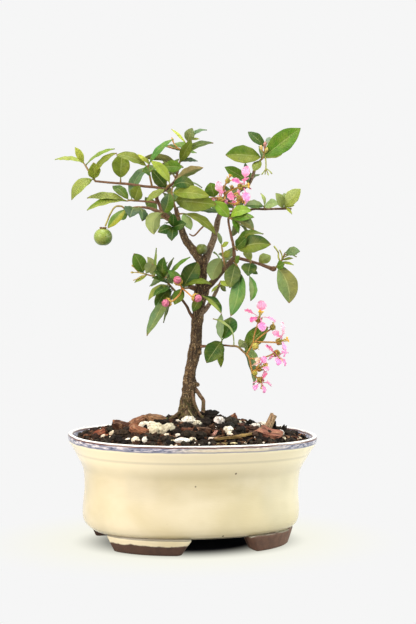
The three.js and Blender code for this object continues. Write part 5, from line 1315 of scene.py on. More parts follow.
BRANCHES: dict[str, Route] = {
    "left_main": (
        (3, 160, 0, 2.6), (-3, 168, 2.6, 2.4), (-7, 173, 4, 2.2), (-10, 180, 4.8, 1.9), (-11.8, 185, 5, 1.6),
        (-13.3, 191.3, 5, 1.2),
    ),
    "right_main": (
        (3.4, 160, 0, 2.5), (8, 172, -2, 2), (10, 180, -3, 1.8), (11.2, 186, -3.4, 1.6), (14, 193, -5, 1.3),
        (20, 200, -7, 1.1), (28.3, 206.5, -8, 1), (31.6, 215.3, -7, 0.9),
    ),
    "flower_twig": ((13.4, 192, -4.8, 0.9), (13, 195.5, -2, 0.7)),
    "left_side": (
        (-11.6, 183.6, 5, 1.4), (-15.9, 184.9, 4.6, 1.4), (-20.9, 188, 4, 1.4), (-27.7, 190.8, 6, 0.9),
        (-33, 191.5, 7, 0.7),
    ),
    "left_riser": (
        (-20.7, 187.8, 4, 1.2), (-22.4, 192.6, 1.6, 1.05), (-24.2, 196, 0, 1.05), (-24, 198.6, -1, 1),
        (-22, 200.4, -2, 1), (-19.2, 201.7, -3, 0.9),
    ),
    "left_arm": (
        (-19.6, 201.5, -3, 0.9), (-24.4, 203, -3.2, 0.85), (-32, 203.5, -4, 0.8), (-40, 204.5, -6, 0.75),
        (-50, 205, -8, 0.7), (-60, 205.7, -10, 0.65),
    ),
    "left_lower": (
        (-23.6, 194.2, 0.7, 0.8), (-27, 194.7, -2, 0.7), (-34, 195, -6, 0.6), (-37, 195.1, -7.6, 0.6),
    ),
    "top_twig": (
        (-19.4, 201.6, -3, 0.9), (-14.4, 206.8, -6, 0.75), (-12.8, 212, -7.4, 0.7), (-12, 217, -8, 0.7),
    ),
    "right_thick": (
        (3, 144, 0.6, 2.2), (8, 148.6, 3, 1.8), (12, 153.4, 5, 1.6), (16, 158, 6, 1.5), (20.2, 163, 6, 1.5),
    ),
    "right_riser": (
        (21, 163.6, 6, 1.1), (20.4, 170, 5, 0.85), (18.3, 178.4, 3, 0.75), (17, 186.4, 3, 0.7),
        (20, 189.6, 3, 0.65), (26, 191, 3.4, 0.65), (32.3, 192.1, 3.8, 0.7), (37.5, 192.1, 3.8, 0.7),
        (48, 192.6, 3, 0.65), (53, 192.7, 3, 0.5),
    ),
    "right_middle": (
        (20.2, 163, 6, 1.2), (23, 163.7, 6.4, 1.05), (31.2, 161.8, 6.8, 0.85), (36, 160.4, 6.2, 0.85),
        (40, 159.1, 6, 1), (43.8, 157.7, 6, 1.4),
    ),
    "grey_branch": (
        (1.8, 130.5, 1.4, 1.8), (5.5, 134.5, 3.6, 1.4), (8.3, 138.6, 6, 1.2), (10.4, 143, 7.6, 1.1),
        (12.4, 148, 8.6, 1),
    ),
    "left_low_twig": (
        (0, 126.5, 0.6, 1.3), (-3.8, 131.5, 2, 0.9), (-5.5, 135, 3, 0.8), (-8.4, 139, 4, 0.7),
        (-11, 142.5, 5, 0.7),
    ),
    "burl_spur": ((1, 145, 1, 1.6), (-4.6, 146.2, 3.4, 0.9)),
    "right_low": ((1, 112.4, 1, 1), (8, 112.7, 3, 0.7), (14.5, 113.4, 6, 0.6), (20.2, 113.1, 7.2, 0.6)),
    "back_left": ((-5, 170.6, 3.2, 1.4), (-8, 176, -8, 1), (-11, 183, -18, 0.8), (-13, 188, -24, 0.7)),
    "back_right": ((11, 185, -3.2, 1.3), (12.8, 188, -11, 1), (16.6, 190, -21, 0.8), (19.8, 190.6, -29, 0.7)),
    "back_middle": ((2.9, 155, 0, 1.6), (5.5, 158, -9, 1), (9.5, 160, -19, 0.8), (11, 161, -24, 0.7)),
    "back_low": ((2, 145, -1, 1.6), (-4, 147, -10, 1), (-10, 149, -17, 0.8), (-13, 150.5, -20, 0.7)),
    "back_top": ((-14.4, 206.6, -6, 0.7), (-13.4, 208.1, -14, 0.7)),
}


@dataclass
class WoodyTree:
    """The trunk, roots and branches, grown together under rough bark."""

    voxel: float = 0.36
    step: float = 0.8
    ripple: float = 0.1
    slight_ripple: float = 0.04
    trunk_ashy: float = 0.12
    root_ashy: float = 0.3
    ashy: dict[str, float] = field(default_factory=lambda: {
        "right_main": 0.85, "grey_branch": 1.0, "right_thick": 0.25, "left_main": 0.2,
    })

    def build(self) -> None:
        """Joins the limbs by a voxel remesh, then roughens the bark."""
        limbs = [self.limb(TRUNK), *(self.limb(route) for route in ROOTS)]
        limbs += [self.limb(route) for route in BRANCHES.values()]
        shells = [tube(limb, 20, PLAIN, ripple=self.slight_ripple if i else self.ripple)
                  for i, limb in enumerate(limbs)]
        shells += self.knots()
        rough = make_object("limbs", shells, [])
        remesh = rough.modifiers.new("join", "REMESH")
        remesh.mode, remesh.voxel_size = "VOXEL", self.voxel * MM
        graph = bpy.context.evaluated_depsgraph_get()
        joined = bpy.data.meshes.new_from_object(rough.evaluated_get(graph))
        count = len(joined.vertices)
        points, normals = np.empty(count * 3), np.empty(count * 3)
        joined.vertices.foreach_get("co", points)
        joined.vertices.foreach_get("normal", normals)
        points, normals = points.reshape(-1, 3) / MM, normals.reshape(-1, 3)
        grain, girth, limb = self.grain(points, limbs)
        shares = [self.trunk_ashy] + [self.root_ashy] * len(ROOTS)
        shares += [self.ashy.get(name, 0.0) for name in BRANCHES]
        relief = self.relief(points, grain, girth)
        points += normals * relief[:, None]
        joined.vertices.foreach_set("co", (points * MM).ravel())
        note(joined, "Grain", grain)
        note(joined, "Girth", girth)
        note(joined, "Ashy", np.array(shares)[limb])
        note(joined, "Relief", np.clip(0.5 + relief / np.maximum(0.16 * girth, 0.1), 0, 1))
        joined.polygons.foreach_set("use_smooth", np.ones(len(joined.polygons), bool))
        joined.materials.clear()
        joined.materials.append(Bark().material())
        joined.update()
        bpy.data.objects.remove(rough)
        dress(add_object("barked_tree", joined), "bark", "trunk")
        strands = [tube(self.limb(route), 8, linear(tone)) for route, tone in ROOTLETS]
        paint = Mottled("rootlet_skin", 0.8, "#5a4630").material()
        dress(make_object("rootlets", strands, [paint]), "bark")

    def limb(self, route: Route) -> Array:
        """Rows of x, y, z, radius about one step apart along a limb."""
        rows = stations(route)
        gap = np.linalg.norm(np.diff(rows[:, :3], axis=0), axis=1).mean()
        return smooth_path(rows, max(3, int(gap / self.step)))

    def knots(self) -> list[Shell]:
        """Burrs and old cuts on the trunk and the forks, as squat turned bodies."""
        places = (
            ((2.4, 108.8, 1.2), (1.0, 0.1, 0.3), 1.5), ((1.6, 90.4, 2.2), (1.0, 0.2, 0.6), 1.2),
            ((2.2, 144.8, 3.2), (-0.2, 0.1, 1.0), 1.9), ((-0.6, 110.4, 2.6), (-0.4, 0.2, 0.9), 1.3),
            ((-5.4, 79.0, 2.6), (-0.8, 0.1, 0.5), 1.7), ((-21.2, 188.6, 4.6), (0.0, 0.4, 0.9), 1.2),
            ((43.9, 158.2, 6.6), (0.5, 0.5, 0.6), 1.5), ((3.0, 132.4, 2.0), (1.0, 0.1, 0.4), 1.1),
        )
        burr = np.array([[-1.2, 0], [-0.8, 0.9], [0.0, 1.05], [0.5, 0.8], [0.75, 0.3], [0.6, 0.0]])
        return [turned(place(np.array(spot)), unit(from_view(way)), burr * size, 12, PLAIN)
                for spot, way, size in places]

    def grain(self, points: Array, limbs: list[Array]) -> tuple[Array, Array, Array]:
        """Coordinates that run with the nearest limb, its radius there and its number.

        The nearest station is the one whose distance less its radius is least. The
        coordinates are the offsets to its two sides, and the length along the limb.
        """
        sides, others, lengths = [], [], []
        for index, limb in enumerate(limbs):
            _, side, other = carried_frames(limb[:, :3])
            steps = np.linalg.norm(np.diff(limb[:, :3], axis=0), axis=1)
            sides.append(side)
            others.append(other)
            lengths.append(np.concatenate([[0.0], np.cumsum(steps)]) + 37.0 * index)
        rows, side, other = np.vstack(limbs), np.vstack(sides), np.vstack(others)
        length = np.concatenate(lengths)
        numbers = np.repeat(np.arange(len(limbs)), [len(limb) for limb in limbs])
        nearest = np.empty(len(points), int)
        for start in range(0, len(points), 4000):
            block = points[start:start + 4000, None, :] - rows[None, :, :3]
            nearest[start:start + 4000] = (np.sqrt((block**2).sum(-1)) - rows[:, 3]).argmin(1)
        offset = points - rows[nearest, :3]
        across = np.einsum("ij,ij->i", offset, side[nearest])
        upward = np.einsum("ij,ij->i", offset, other[nearest])
        return np.column_stack([across, upward, length[nearest]]), rows[nearest, 3], numbers[nearest]

    def relief(self, points: Array, grain: Array, girth: Array) -> Array:
        """Bark height: ridges along the limb, flakes and small lumps, each noise
        times a share of the radius."""
        ridges = rough_noise(grain * (0.95, 0.95, 0.16), 3)
        flakes = np.abs(rough_noise(grain * (0.5, 0.5, 0.33), 11, 3))
        lumps = rough_noise(points * 0.55, 23, 3)
        depth = np.clip(girth * 0.13, 0.06, 0.55)
        return depth * (1.25 * ridges - 0.9 * flakes + 0.8 * lumps + 0.12)


@dataclass(frozen=True)
class Leaf:
    """One leaf: its place on the stem, the tip as u, v, w, its width, its roll
    about its length, its tone, and how far it arches and bends sideways. The
    upper tone is that of the half that lies higher in the view; on some leaves the
    two tones are two real greens, on others they are painted sheen on one half and
    painted shade on the other."""

    at: float
    tip: tuple[float, float, float]
    width: float
    roll: float
    tone: Tone
    bow: float = 1.0
    sweep: float = 0.0
    upper: Tone | None = None


@dataclass(frozen=True)
class Sprig:
    """A bare thin stalk of a colour."""

    route: Route
    colour: str


@dataclass(frozen=True)
class Shoot:
    """A leafy shoot: its stem, its leaves and its bare stalks."""

    name: str
    stem: Route
    leaves: tuple[Leaf, ...]
    sprigs: tuple[Sprig, ...] = ()


@dataclass(frozen=True)
class BackShoot:
    """A shoot at the back with three crossed pairs of leaves, laid out by rule."""

    name: str
    stem: Route
    length: float
    seed: int


SHOOTS: tuple[Shoot, ...] = (
    Shoot("left_arm_tip", (
        (-59.8, 205.7, -10), (-62.5, 209.5, -11.6), (-65, 213.5, -13.4), (-66.6, 215.8, -14.6, 0.4),
    ), (
        Leaf(3, (-83.1, 216.8, -25.7), 6, 65, Tone.YOUNG, bow=2.4),
        Leaf(3, (-72.1, 224.9, -8), 4.5, 20, Tone.YELLOW),
        Leaf(2.4, (-49, 224.4, -6), 5, 66, Tone.FRESH, bow=2.2),
        Leaf(0.2, (-47, 221.5, -5), 7, 62, Tone.OLIVE, bow=4),
        Leaf(0.3, (-73.2, 194.8, -5), 8, 34, Tone.LIGHT_OLIVE, bow=4.4),
        Leaf(0.3, (-61.2, 216.6, -4), 7.6, 10, Tone.YELLOW_GREEN),
    )),
    Shoot("left_arm_middle", ((-45.3, 204.8, -7), (-45.3, 207.2, -5.4, 0.4)), (
        Leaf(1, (-45, 222, -4), 10.5, 5, Tone.OLIVE_MID, bow=1.4),
    )),
    Shoot("left_upper", ((-27.2, 203.2, -3.4), (-28.8, 210, -1.5), (-30, 214.5, 0), (-29.2, 216, 0.5, 0.4)), (
        Leaf(2, (-48, 221.5, 3), 7.5, 45, Tone.OLIVE, bow=2),
        Leaf(3, (-15.6, 230.8, 4), 5.8, 46, Tone.JADE, bow=2.6),
        Leaf(3, (-36, 221.5, 2), 2.4, 30, Tone.YELLOW), Leaf(3, (-32.6, 219.8, 5), 2.2, 30, Tone.YELLOW),
        Leaf(1.2, (-33, 212, 12), 6, 40, Tone.MID, bow=1.5),
        Leaf(1.2, (-24, 215, -19), 7, 45, Tone.MID, bow=1.5),
    )),
    Shoot("left_inner", ((-20.6, 200.9, -2.4), (-18.6, 203.2, 3), (-17, 205.2, 6.4, 0.4)), (
        Leaf(0.8, (-27.7, 212.8, 7), 8, 14, Tone.DARK),
        Leaf(2, (-28.4, 217.8, 10), 6.2, 30, Tone.YELLOW_GREEN, sweep=1.2),
        Leaf(0.6, (-30.2, 195.2, 6), 5.5, 40, Tone.LIGHT_OLIVE),
    )),
    Shoot("left_middle_tip", ((-36.8, 195.1, -7.6), (-39.5, 195.3, -8.5), (-41.5, 194.8, -9.2, 0.4)), (
        Leaf(2, (-64.2, 195.2, -14), 7.5, 58, Tone.LIGHT_OLIVE, bow=2.6),
        Leaf(2, (-64.3, 189.2, -8), 7, 58, Tone.LIGHT_OLIVE, bow=2.4, upper=Tone.FRESH),
        Leaf(1.4, (-49.8, 203.5, -15), 6.4, 30, Tone.MID_DARK, bow=1.5),
        Leaf(0.7, (-29.3, 215, -12), 8, 40, Tone.BLUE_GREEN, bow=2.5, sweep=2),
        Leaf(0, (-34.2, 204, -2), 8, 16, Tone.OLIVE_MID),
    )),
    Shoot("left_fruit_shoot", (
        (-32.6, 191.5, 7), (-36, 191.4, 8), (-41.8, 190.4, 9), (-44.7, 191.8, 10, 0.5),
        (-48.1, 191.3, 11, 0.45), (-50.8, 187.2, 12, 0.45), (-53.5, 180.2, 12.6, 0.45),
    ), (
        Leaf(2, (-52.1, 178.8, 17), 5.6, 25, Tone.GOLDEN_OLIVE, upper=Tone.MID),
        Leaf(1.2, (-39.6, 185.4, 20), 9.6, 14, Tone.BLUE_DARK, bow=1.5),
        Leaf(0.6, (-32.3, 183.6, 14), 7, 44, Tone.BLUE_DARK, bow=1.5, upper=Tone.BLUE_GREEN),
        Leaf(1.4, (-44, 184, 2), 6, 45, Tone.MID, bow=1.5),
    ), sprigs=(
        Sprig((
            (-44.7, 191.8, 10, 0.54), (-48.1, 191.3, 11, 0.5), (-50.8, 187.2, 12, 0.5),
            (-53.5, 180.2, 12.6, 0.5),
        ), "#a8a050"),
    )),
    Shoot("left_fork_pair", ((-20, 187.4, 4.2), (-20.3, 188.3, 7), (-20.6, 188.8, 9, 0.4)), (
        Leaf(1.7, (-25, 176.5, 18), 9.4, 160, Tone.LIGHT_OLIVE, sweep=-3),
        Leaf(1.4, (-17.6, 200.4, 13), 8, 20, Tone.MID_DARK, sweep=-1.5, upper=Tone.BLUE_DARK),
    )),
    Shoot("left_rosette", ((-10.6, 182, 5), (-13, 181.2, 9.5), (-14.5, 180.4, 13, 0.45)), (
        Leaf(2, (-23.4, 177.3, 20), 6, 20, Tone.DEEP), Leaf(2, (-15.2, 172.2, 22), 6.6, 6, Tone.DEEP),
        Leaf(2, (-14.4, 188.4, 21), 5.6, 10, Tone.DEEP), Leaf(2, (-6.8, 182.6, 19), 5.8, 18, Tone.DEEP),
    )),
    Shoot("fork_mint", ((-12.6, 188, 5.2), (-9.4, 188.4, 8.6, 0.45)), (
        Leaf(1, (-4.4, 179, 14), 6, 20, Tone.MINT), Leaf(1, (9.6, 176.2, 11), 6.8, 45, Tone.OLIVE, bow=4),
    ), sprigs=(
        Sprig((
            (-9.4, 188.4, 8.6, 0.5), (-3, 187.4, 9, 0.45), (3.1, 183.2, 9, 0.5), (0.6, 179.2, 9, 0.5),
            (-2.6, 175.9, 9, 0.45), (-5.2, 176.8, 9, 0.35),
        ), "#8a6440"),
    )),
    Shoot("top_shoot", ((-12, 216.6, -8), (-10, 223, -8.5), (-8, 228, -9), (-6.3, 231, -9, 0.4)), (
        Leaf(2.4, (-5, 237.4, -6), 6.4, 14, Tone.GREY_OLIVE),
        Leaf(3, (3.4, 236.5, -12), 4.5, 60, Tone.BLUE_GREEN, bow=2.2),
        Leaf(3, (-0.7, 231.2, -9), 1.8, 30, Tone.YELLOW, bow=0.3),
        Leaf(2, (-16.7, 236.8, -11), 2.2, 40, Tone.YELLOW, bow=0.5),
        Leaf(0.7, (7.4, 228.9, -4), 6.5, 52, Tone.DARK_OLIVE, bow=3),
        Leaf(0.2, (-5.2, 230.4, -2), 6.2, 6, Tone.OLIVE_MID),
        Leaf(1.1, (-20.5, 226.8, -6), 5, 60, Tone.DARK_OLIVE, bow=1.2),
        Leaf(0.2, (-1.5, 219, -13), 5, 60, Tone.BLUE_DARK),
        Leaf(1.4, (-14, 228, -26), 7, 40, Tone.MID, bow=1.5),
        Leaf(0.9, (-3, 224, -25), 7, 50, Tone.MID, bow=1.5),
    ), sprigs=(
        Sprig(((-9.6, 224.6, -7.6, 0.4), (-12.6, 225.4, -5, 0.35), (-15.4, 228.4, -3.6, 0.3)), "#c98f52"),
        Sprig((
            (-12.6, 225.4, -5, 0.35), (-15.6, 225.6, -3, 0.3), (-17.6, 226.2, -2.4, 0.7),
            (-18.8, 226.6, -2.2, 0.2),
        ), "#c98f52"),
        Sprig(((-15.4, 228.4, -3.6, 0.3), (-16.2, 230.6, -3.2, 0.65), (-16.6, 231.8, -3, 0.2)), "#d3a25c"),
    )),
    Shoot("upper_centre", ((-12.2, 215.4, -7.8), (-11, 215.6, -4.6), (-9.8, 214.8, -1.6, 0.45)), (
        Leaf(2, (-21.2, 215, 0), 7.6, 22, Tone.GRASS, bow=0.6),
        Leaf(0.4, (-33, 219, -9), 7, 122, Tone.TAN_OLIVE, bow=3),
    )),
    Shoot("upper_right_pair", ((-14.4, 206.6, -5.8), (-14.2, 207.2, -1), (-13.8, 207.8, 2.4, 0.45)), (
        Leaf(2, (1.7, 215.4, 6), 7, 142, Tone.LIGHT_OLIVE, upper=Tone.TAN_PINK),
        Leaf(1.5, (-3.5, 204, -4), 6, 55, Tone.DEEP, bow=1.5),
    )),
    Shoot("centre_left", ((-13.3, 191, 5), (-15, 196, 5.4), (-15.8, 200, 5.8), (-15.6, 203.6, 6.2, 0.45)), (
        Leaf(1, (9.4, 194.2, 13), 11.5, 6, Tone.OLIVE_MID, bow=1.6),
        Leaf(2, (5.4, 198.9, 16), 8.6, 30, Tone.OLIVE_MID, bow=2, upper=Tone.OLIVE),
        Leaf(2.8, (1.4, 202.6, 2), 5, 75, Tone.GREY_GREEN, bow=4.2),
        Leaf(3, (-3, 204.2, 11), 7, 24, Tone.DEEP, bow=2, sweep=1.6),
    )),
    Shoot("centre_back", ((11.4, 187, -3.6), (11.6, 189.2, -8, 0.45)), (
        Leaf(1, (-2.4, 191.4, -9), 5, 46, Tone.DEEP), Leaf(1, (4, 197, -24), 9, 40, Tone.FILL, bow=1.5),
    )),
    Shoot("flower_leaf", ((13.2, 194.5, -3), (10.6, 196.6, -3), (8.6, 197.8, -3, 0.4)), (
        Leaf(2, (5.9, 206.4, -2.5), 9.5, 10, Tone.MID, upper=Tone.GRASS),
        Leaf(1, (24, 199, -7), 4.6, 56, Tone.DEEP), Leaf(0.4, (20.2, 192.6, -3), 4.6, 30, Tone.DARK),
    )),
    Shoot("right_inner", ((17.2, 186, 3), (17.4, 186.4, 6), (18, 186.6, 9), (19.4, 185.6, 11, 0.45)), (
        Leaf(1.4, (8.4, 195.6, 10), 7.6, 24, Tone.LIME), Leaf(2, (30, 191, 13), 7.4, 42, Tone.LIME, bow=3),
        Leaf(3, (31.7, 187.4, 16), 5.6, 36, Tone.BRIGHT, bow=1.6),
        Leaf(3, (31.8, 180.4, 20), 8, 136, Tone.TAN_OLIVE, bow=2.6, upper=Tone.DEEP),
        Leaf(2.6, (23.3, 178.2, 14), 3.8, 35, Tone.BRIGHT), Leaf(2, (29, 184, 3), 6, 70, Tone.DARK),
    )),
    Shoot("right_middle_inner", ((20.3, 170.4, 5), (21.4, 169.8, 9), (22.4, 168, 11.4, 0.45)), (
        Leaf(0.9, (37.1, 178.4, 7), 7.4, 50, Tone.OLIVE_MID, bow=4.2, upper=Tone.MID_DARK),
        Leaf(1.4, (27.8, 175.8, 18), 6.4, 12, Tone.DARK),
        Leaf(2, (41.3, 172.4, 20), 10.6, 24, Tone.OLIVE_MID, bow=2.4, sweep=0.8, upper=Tone.DEEP),
        Leaf(0.8, (37.6, 174.9, 0), 6, 58, Tone.BLUE_GREEN, bow=1.2),
    )),
    Shoot("centre_small", ((16, 158, 6), (15.4, 160.5, 10.6), (14.6, 164.2, 10.8), (13.4, 171, 10, 0.4)), (
        Leaf(3, (10.8, 178.2, 12), 3.4, 40, Tone.GREY_GREEN, bow=0.5),
        Leaf(2.8, (17.4, 172.8, 12), 2.8, 30, Tone.YELLOW_GREEN, bow=0.5),
        Leaf(2, (18.8, 167.4, 14), 4.2, 15, Tone.OLIVE, bow=0.6),
        Leaf(1.9, (8.2, 150.6, 15), 9.6, 158, Tone.LIGHT_OLIVE, sweep=-1, upper=Tone.MID_DARK),
    )),
    Shoot("right_middle_olive", ((35.8, 160.5, 6), (35.3, 161, 3.4), (34.8, 161, 1.4, 0.45)), (
        Leaf(2, (41.6, 165.3, -1), 7, 20, Tone.LIGHT_OLIVE, upper=Tone.PALE),
    )),
    Shoot("right_hanging", ((30.5, 162.1, 6.8), (30.3, 160.8, 10), (29.8, 157, 9), (29.4, 154.3, 8, 0.45)), (
        Leaf(0.6, (28.9, 153.2, 19), 9, 8, Tone.DEEP, upper=Tone.DARK),
        Leaf(3, (31.4, 139.4, 11), 6, 40, Tone.SPRING, sweep=1.5, upper=Tone.MINT),
        Leaf(2, (34.6, 154.8, 10), 3, 30, Tone.DARK, bow=0.5),
        Leaf(0.5, (27, 168.6, -4), 5, 20, Tone.LIGHT_OLIVE),
    )),
    Shoot("centre_hanging", ((20.6, 162.4, 6), (22, 160.2, 9.4), (23.8, 156.9, 11.4, 0.45)), (
        Leaf(0.8, (18.8, 146, 19), 9.4, 6, Tone.OLIVE_DEEP),
        Leaf(2, (19.5, 130.3, 20), 9, 20, Tone.JADE, bow=1.5, sweep=-2.6, upper=Tone.SAGE),
        Leaf(0.8, (24, 165, 17), 4, 40, Tone.MID, bow=0.5),
    )),
    Shoot("right_end", (
        (43.8, 158, 6.2), (45.4, 159.4, 7.2), (47.6, 162, 7.4), (49, 164.8, 7.2), (50, 167.4, 7, 0.4),
    ), (
        Leaf(0.9, (53, 138.4, 13), 11.6, 12, Tone.GREY_OLIVE, bow=1.6, sweep=2.4, upper=Tone.TAN_GREY),
        Leaf(1, (49.9, 161.2, 12), 5, 15, Tone.MID, bow=0.6),
        Leaf(4, (58.6, 168.2, 10), 6, 30, Tone.BLUE_GREEN, bow=1.4),
        Leaf(3.6, (56.8, 165.4, 5), 3.4, 68, Tone.OLIVE, bow=0.8),
        Leaf(2.4, (54.6, 164.6, 10), 2, 40, Tone.OLIVE, bow=0.3),
        Leaf(2, (55.2, 160.7, 9), 2, 30, Tone.YELLOW_GREEN, bow=0.6),
        Leaf(1.6, (51, 149, -10), 7, 30, Tone.FILL, bow=2),
    ), sprigs=(
        Sprig((
            (47.6, 162, 7.4, 0.5), (46.3, 164.6, 8.4, 0.5), (46, 167.6, 9, 0.45), (43.6, 171, 9.4, 0.5),
        ), "#b5b85a"),
        Sprig(((48.4, 163.4, 7.4, 0.45), (48.2, 166, 8.6, 0.4), (46.9, 168.9, 9.4, 0.45)), "#a9ad4c"),
        Sprig(((49, 164.8, 7.2, 0.4), (52.6, 166.4, 8, 0.35), (56.6, 166.9, 8.6, 0.45)), "#8d9a3e"),
    )),
    Shoot("right_arm_tip", ((47.8, 192.7, 3), (49.6, 193.6, 3.2, 0.45)), (
        Leaf(0.4, (58.1, 204.1, 7), 8.4, 26, Tone.LIGHT_OLIVE, upper=Tone.PALE),
        Leaf(0.2, (48.2, 201.8, -4), 6, 30, Tone.GREY_GREEN), Leaf(0.2, (43.4, 201.4, 8), 6.4, 35, Tone.PALE),
        Leaf(1, (54.6, 194.7, 5), 2, 30, Tone.YELLOW, bow=0.3),
        Leaf(1, (53.4, 189.8, 6), 2, 30, Tone.YELLOW, bow=0.3),
    )),
    Shoot("right_arm_middle", ((37.5, 192, 3.8), (37.4, 194, 6.4, 0.45)), (
        Leaf(1, (45.4, 195, 14), 6.4, 40, Tone.GREY_GREEN), Leaf(1, (35.3, 201.2, 4), 3.4, 56, Tone.PALE),
        Leaf(0.8, (26.4, 193.6, 8), 7.4, 50, Tone.DARK, upper=Tone.GREY_GREEN),
    )),
    Shoot("top_right", (
        (31.4, 215, -7, 0.7), (34, 219.4, -6.4), (36.2, 222, -6), (37, 226, -6), (37, 229, -6, 0.4),
    ), (
        Leaf(1.8, (57.05, 238.9, -1), 12, 6, Tone.BRIGHT, bow=1.6),
        Leaf(1.6, (47, 224.3, -15), 6, 42, Tone.OLIVE), Leaf(3.4, (26.9, 235.8, -9), 6.5, 30, Tone.DARK),
        Leaf(4, (42, 232.5, -13), 5, 30, Tone.BLUE_GREY),
        Leaf(1.8, (14.3, 222.4, -1), 11.4, 32, Tone.OLIVE, bow=1.5, upper=Tone.MID_DARK),
        Leaf(1.2, (30.6, 213.2, 2), 5.2, 20, Tone.OLIVE),
        Leaf(1.4, (34, 226, -24), 8, 50, Tone.FILL, bow=1.5),
    ), sprigs=(
        Sprig((
            (37, 222.4, -5.6, 0.45), (37.6, 219.4, -3.4, 0.42), (37.7, 215.5, -2, 0.42),
            (37.3, 212, -1.4, 0.3),
        ), "#97a354"),
        Sprig((
            (37.7, 215.5, -2, 0.34), (36.8, 213.8, -1.4, 0.3), (35.6, 212.1, -1, 0.42),
            (35.4, 211.7, -1, 0.2),
        ), "#97a354"),
        Sprig((
            (37.7, 215.5, -2, 0.34), (38.5, 213.6, -1.2, 0.3), (39.1, 211.9, -0.8, 0.42),
            (39.2, 211.5, -0.8, 0.2),
        ), "#97a354"),
        Sprig((
            (37.7, 215.5, -2, 0.34), (39.6, 214.2, -1.6, 0.3), (41, 212.7, -1.2, 0.42),
            (41.3, 212.3, -1.2, 0.2),
        ), "#97a354"),
        Sprig((
            (36.4, 224, -5, 0.4), (35.2, 225.6, -3.4, 0.5), (34.8, 226.8, -3, 1), (34.6, 228, -2.8, 0.8),
            (34.6, 228.6, -2.8, 0.2),
        ), "#cdb46c"),
        Sprig((
            (36.8, 225.6, -5, 0.4), (36.6, 227.6, -3.8, 0.5), (36.9, 229, -3.4, 1), (37, 230.2, -3.2, 0.7),
            (37, 230.8, -3.2, 0.2),
        ), "#c98f86"),
        Sprig((
            (36.6, 224, -4.8, 0.4), (37.4, 225, -3.4, 0.7), (37.9, 226, -3, 1), (38, 227, -3, 0.6),
            (38, 227.4, -3, 0.2),
        ), "#c6bb62"),
    )),
    Shoot("top_right_low", ((28, 206.2, -8), (27.4, 207.6, -4.8, 0.45)), (
        Leaf(1, (13.9, 215.4, -3), 7, 26, Tone.MID_DARK), Leaf(0.9, (25.4, 218, -9), 5, 42, Tone.DARK),
        Leaf(0.5, (33, 212, -24), 8, 50, Tone.FILL, bow=1.5),
    )),
    Shoot("lower_left_spray", (
        (-10.8, 142.2, 5), (-14, 145.4, 8), (-17, 148.5, 10), (-20, 150.8, 11), (-25, 152, 12, 0.5),
        (-31, 153.5, 12, 0.4),
    ), (
        Leaf(5, (-36.5, 164.9, 14), 8, 15, Tone.MID_DARK),
        Leaf(4, (-29.5, 163.2, 4), 7, 140, Tone.LIGHT_OLIVE),
        Leaf(4.8, (-25.6, 159.4, 21), 6.6, 170, Tone.PALE, upper=Tone.GREY_OLIVE),
        Leaf(3.9, (-23.3, 168.3, 9), 4, 62, Tone.MID, bow=0.6, upper=Tone.FRESH),
        Leaf(3, (-19.2, 163.4, 17), 7, 34, Tone.DARK),
        Leaf(2.8, (-13.5, 163, 13), 4, 58, Tone.DARK_OLIVE, bow=0.6),
        Leaf(2.4, (-5, 164.1, 15), 5, 62, Tone.BRIGHT, bow=1.4),
        Leaf(2.6, (-24.8, 154.8, 19), 4.6, 35, Tone.DARK),
        Leaf(1.8, (-26.2, 151, 18), 5, 52, Tone.DARK, bow=1.8),
        Leaf(1.6, (-27.6, 137.8, 16), 5.5, 48, Tone.LIGHT_OLIVE, bow=3.4),
        Leaf(1.3, (-24.9, 140, 22), 6, 44, Tone.DARK, bow=2),
        Leaf(1, (-23, 133.3, 13), 7, 20, Tone.DARK, sweep=1.5),
        Leaf(0.9, (-27.9, 117.2, 21), 8, 36, Tone.GREY_OLIVE, bow=1.5, upper=Tone.BLUE_GREEN),
        Leaf(0.6, (-18.3, 125.4, 2), 5, 68, Tone.DARK_OLIVE),
        Leaf(2.6, (-27, 147, -6), 7, 50, Tone.FILL, bow=1.5),
        Leaf(1.8, (-10, 153, -5), 7, 40, Tone.FILL, bow=1.5),
        Leaf(4.6, (-36, 148.2, 13), 2.8, 30, Tone.YELLOW_GREEN, bow=0.6),
    ), sprigs=(
        Sprig((
            (-30.6, 153.4, 12, 0.4), (-33.6, 154.2, 12.6, 0.35), (-36.6, 157, 13, 0.3),
            (-37.4, 157.8, 13.2, 0.6), (-37.8, 158.4, 13.3, 0.2),
        ), "#c9b860"),
        Sprig((
            (-33, 154, 12.5, 0.35), (-36.2, 154, 13, 0.3), (-37.6, 154, 13.2, 0.6), (-38.4, 154, 13.3, 0.2),
        ), "#c9b860"),
        Sprig(((-30, 152.4, 12.4, 0.35), (-34, 150.6, 13.6, 0.3), (-36.8, 149.4, 14, 0.3)), "#b59a5c"),
    )),
    Shoot("lower_left_buds", ((-4.2, 146, 3.2), (-8.4, 145.5, 8, 0.55)), (
        Leaf(1, (-17.2, 155.6, 16), 5.2, 15, Tone.JADE, sweep=1.2),
        Leaf(1, (-12.7, 135.9, 13), 6.8, 10, Tone.MID_DARK, upper=Tone.MID),
        Leaf(1, (0.3, 161, 9), 10.5, 6, Tone.DEEP), Leaf(1, (8.5, 148, 15), 7, 60, Tone.OLIVE_MID, bow=3),
    )),
    Shoot("trunk_low_leaves", ((2.2, 141, 2.6), (2.9, 141.4, 6.4, 0.45)), (
        Leaf(1, (14.2, 131.5, 14), 7, 48, Tone.LIGHT_OLIVE, bow=2.6, upper=Tone.DEEP),
        Leaf(0.8, (-2.2, 132.2, 10), 5.6, 10, Tone.DARK),
    )),
    Shoot("grey_branch_tip", ((12.2, 147.6, 8.6), (13.6, 150.4, 9, 0.45)), (
        Leaf(1, (17.6, 147.3, 14), 4, 30, Tone.YELLOW_GREEN, bow=0.5),
        Leaf(0.3, (16.6, 144.6, 6), 3.8, 30, Tone.DARK_OLIVE, bow=0.5),
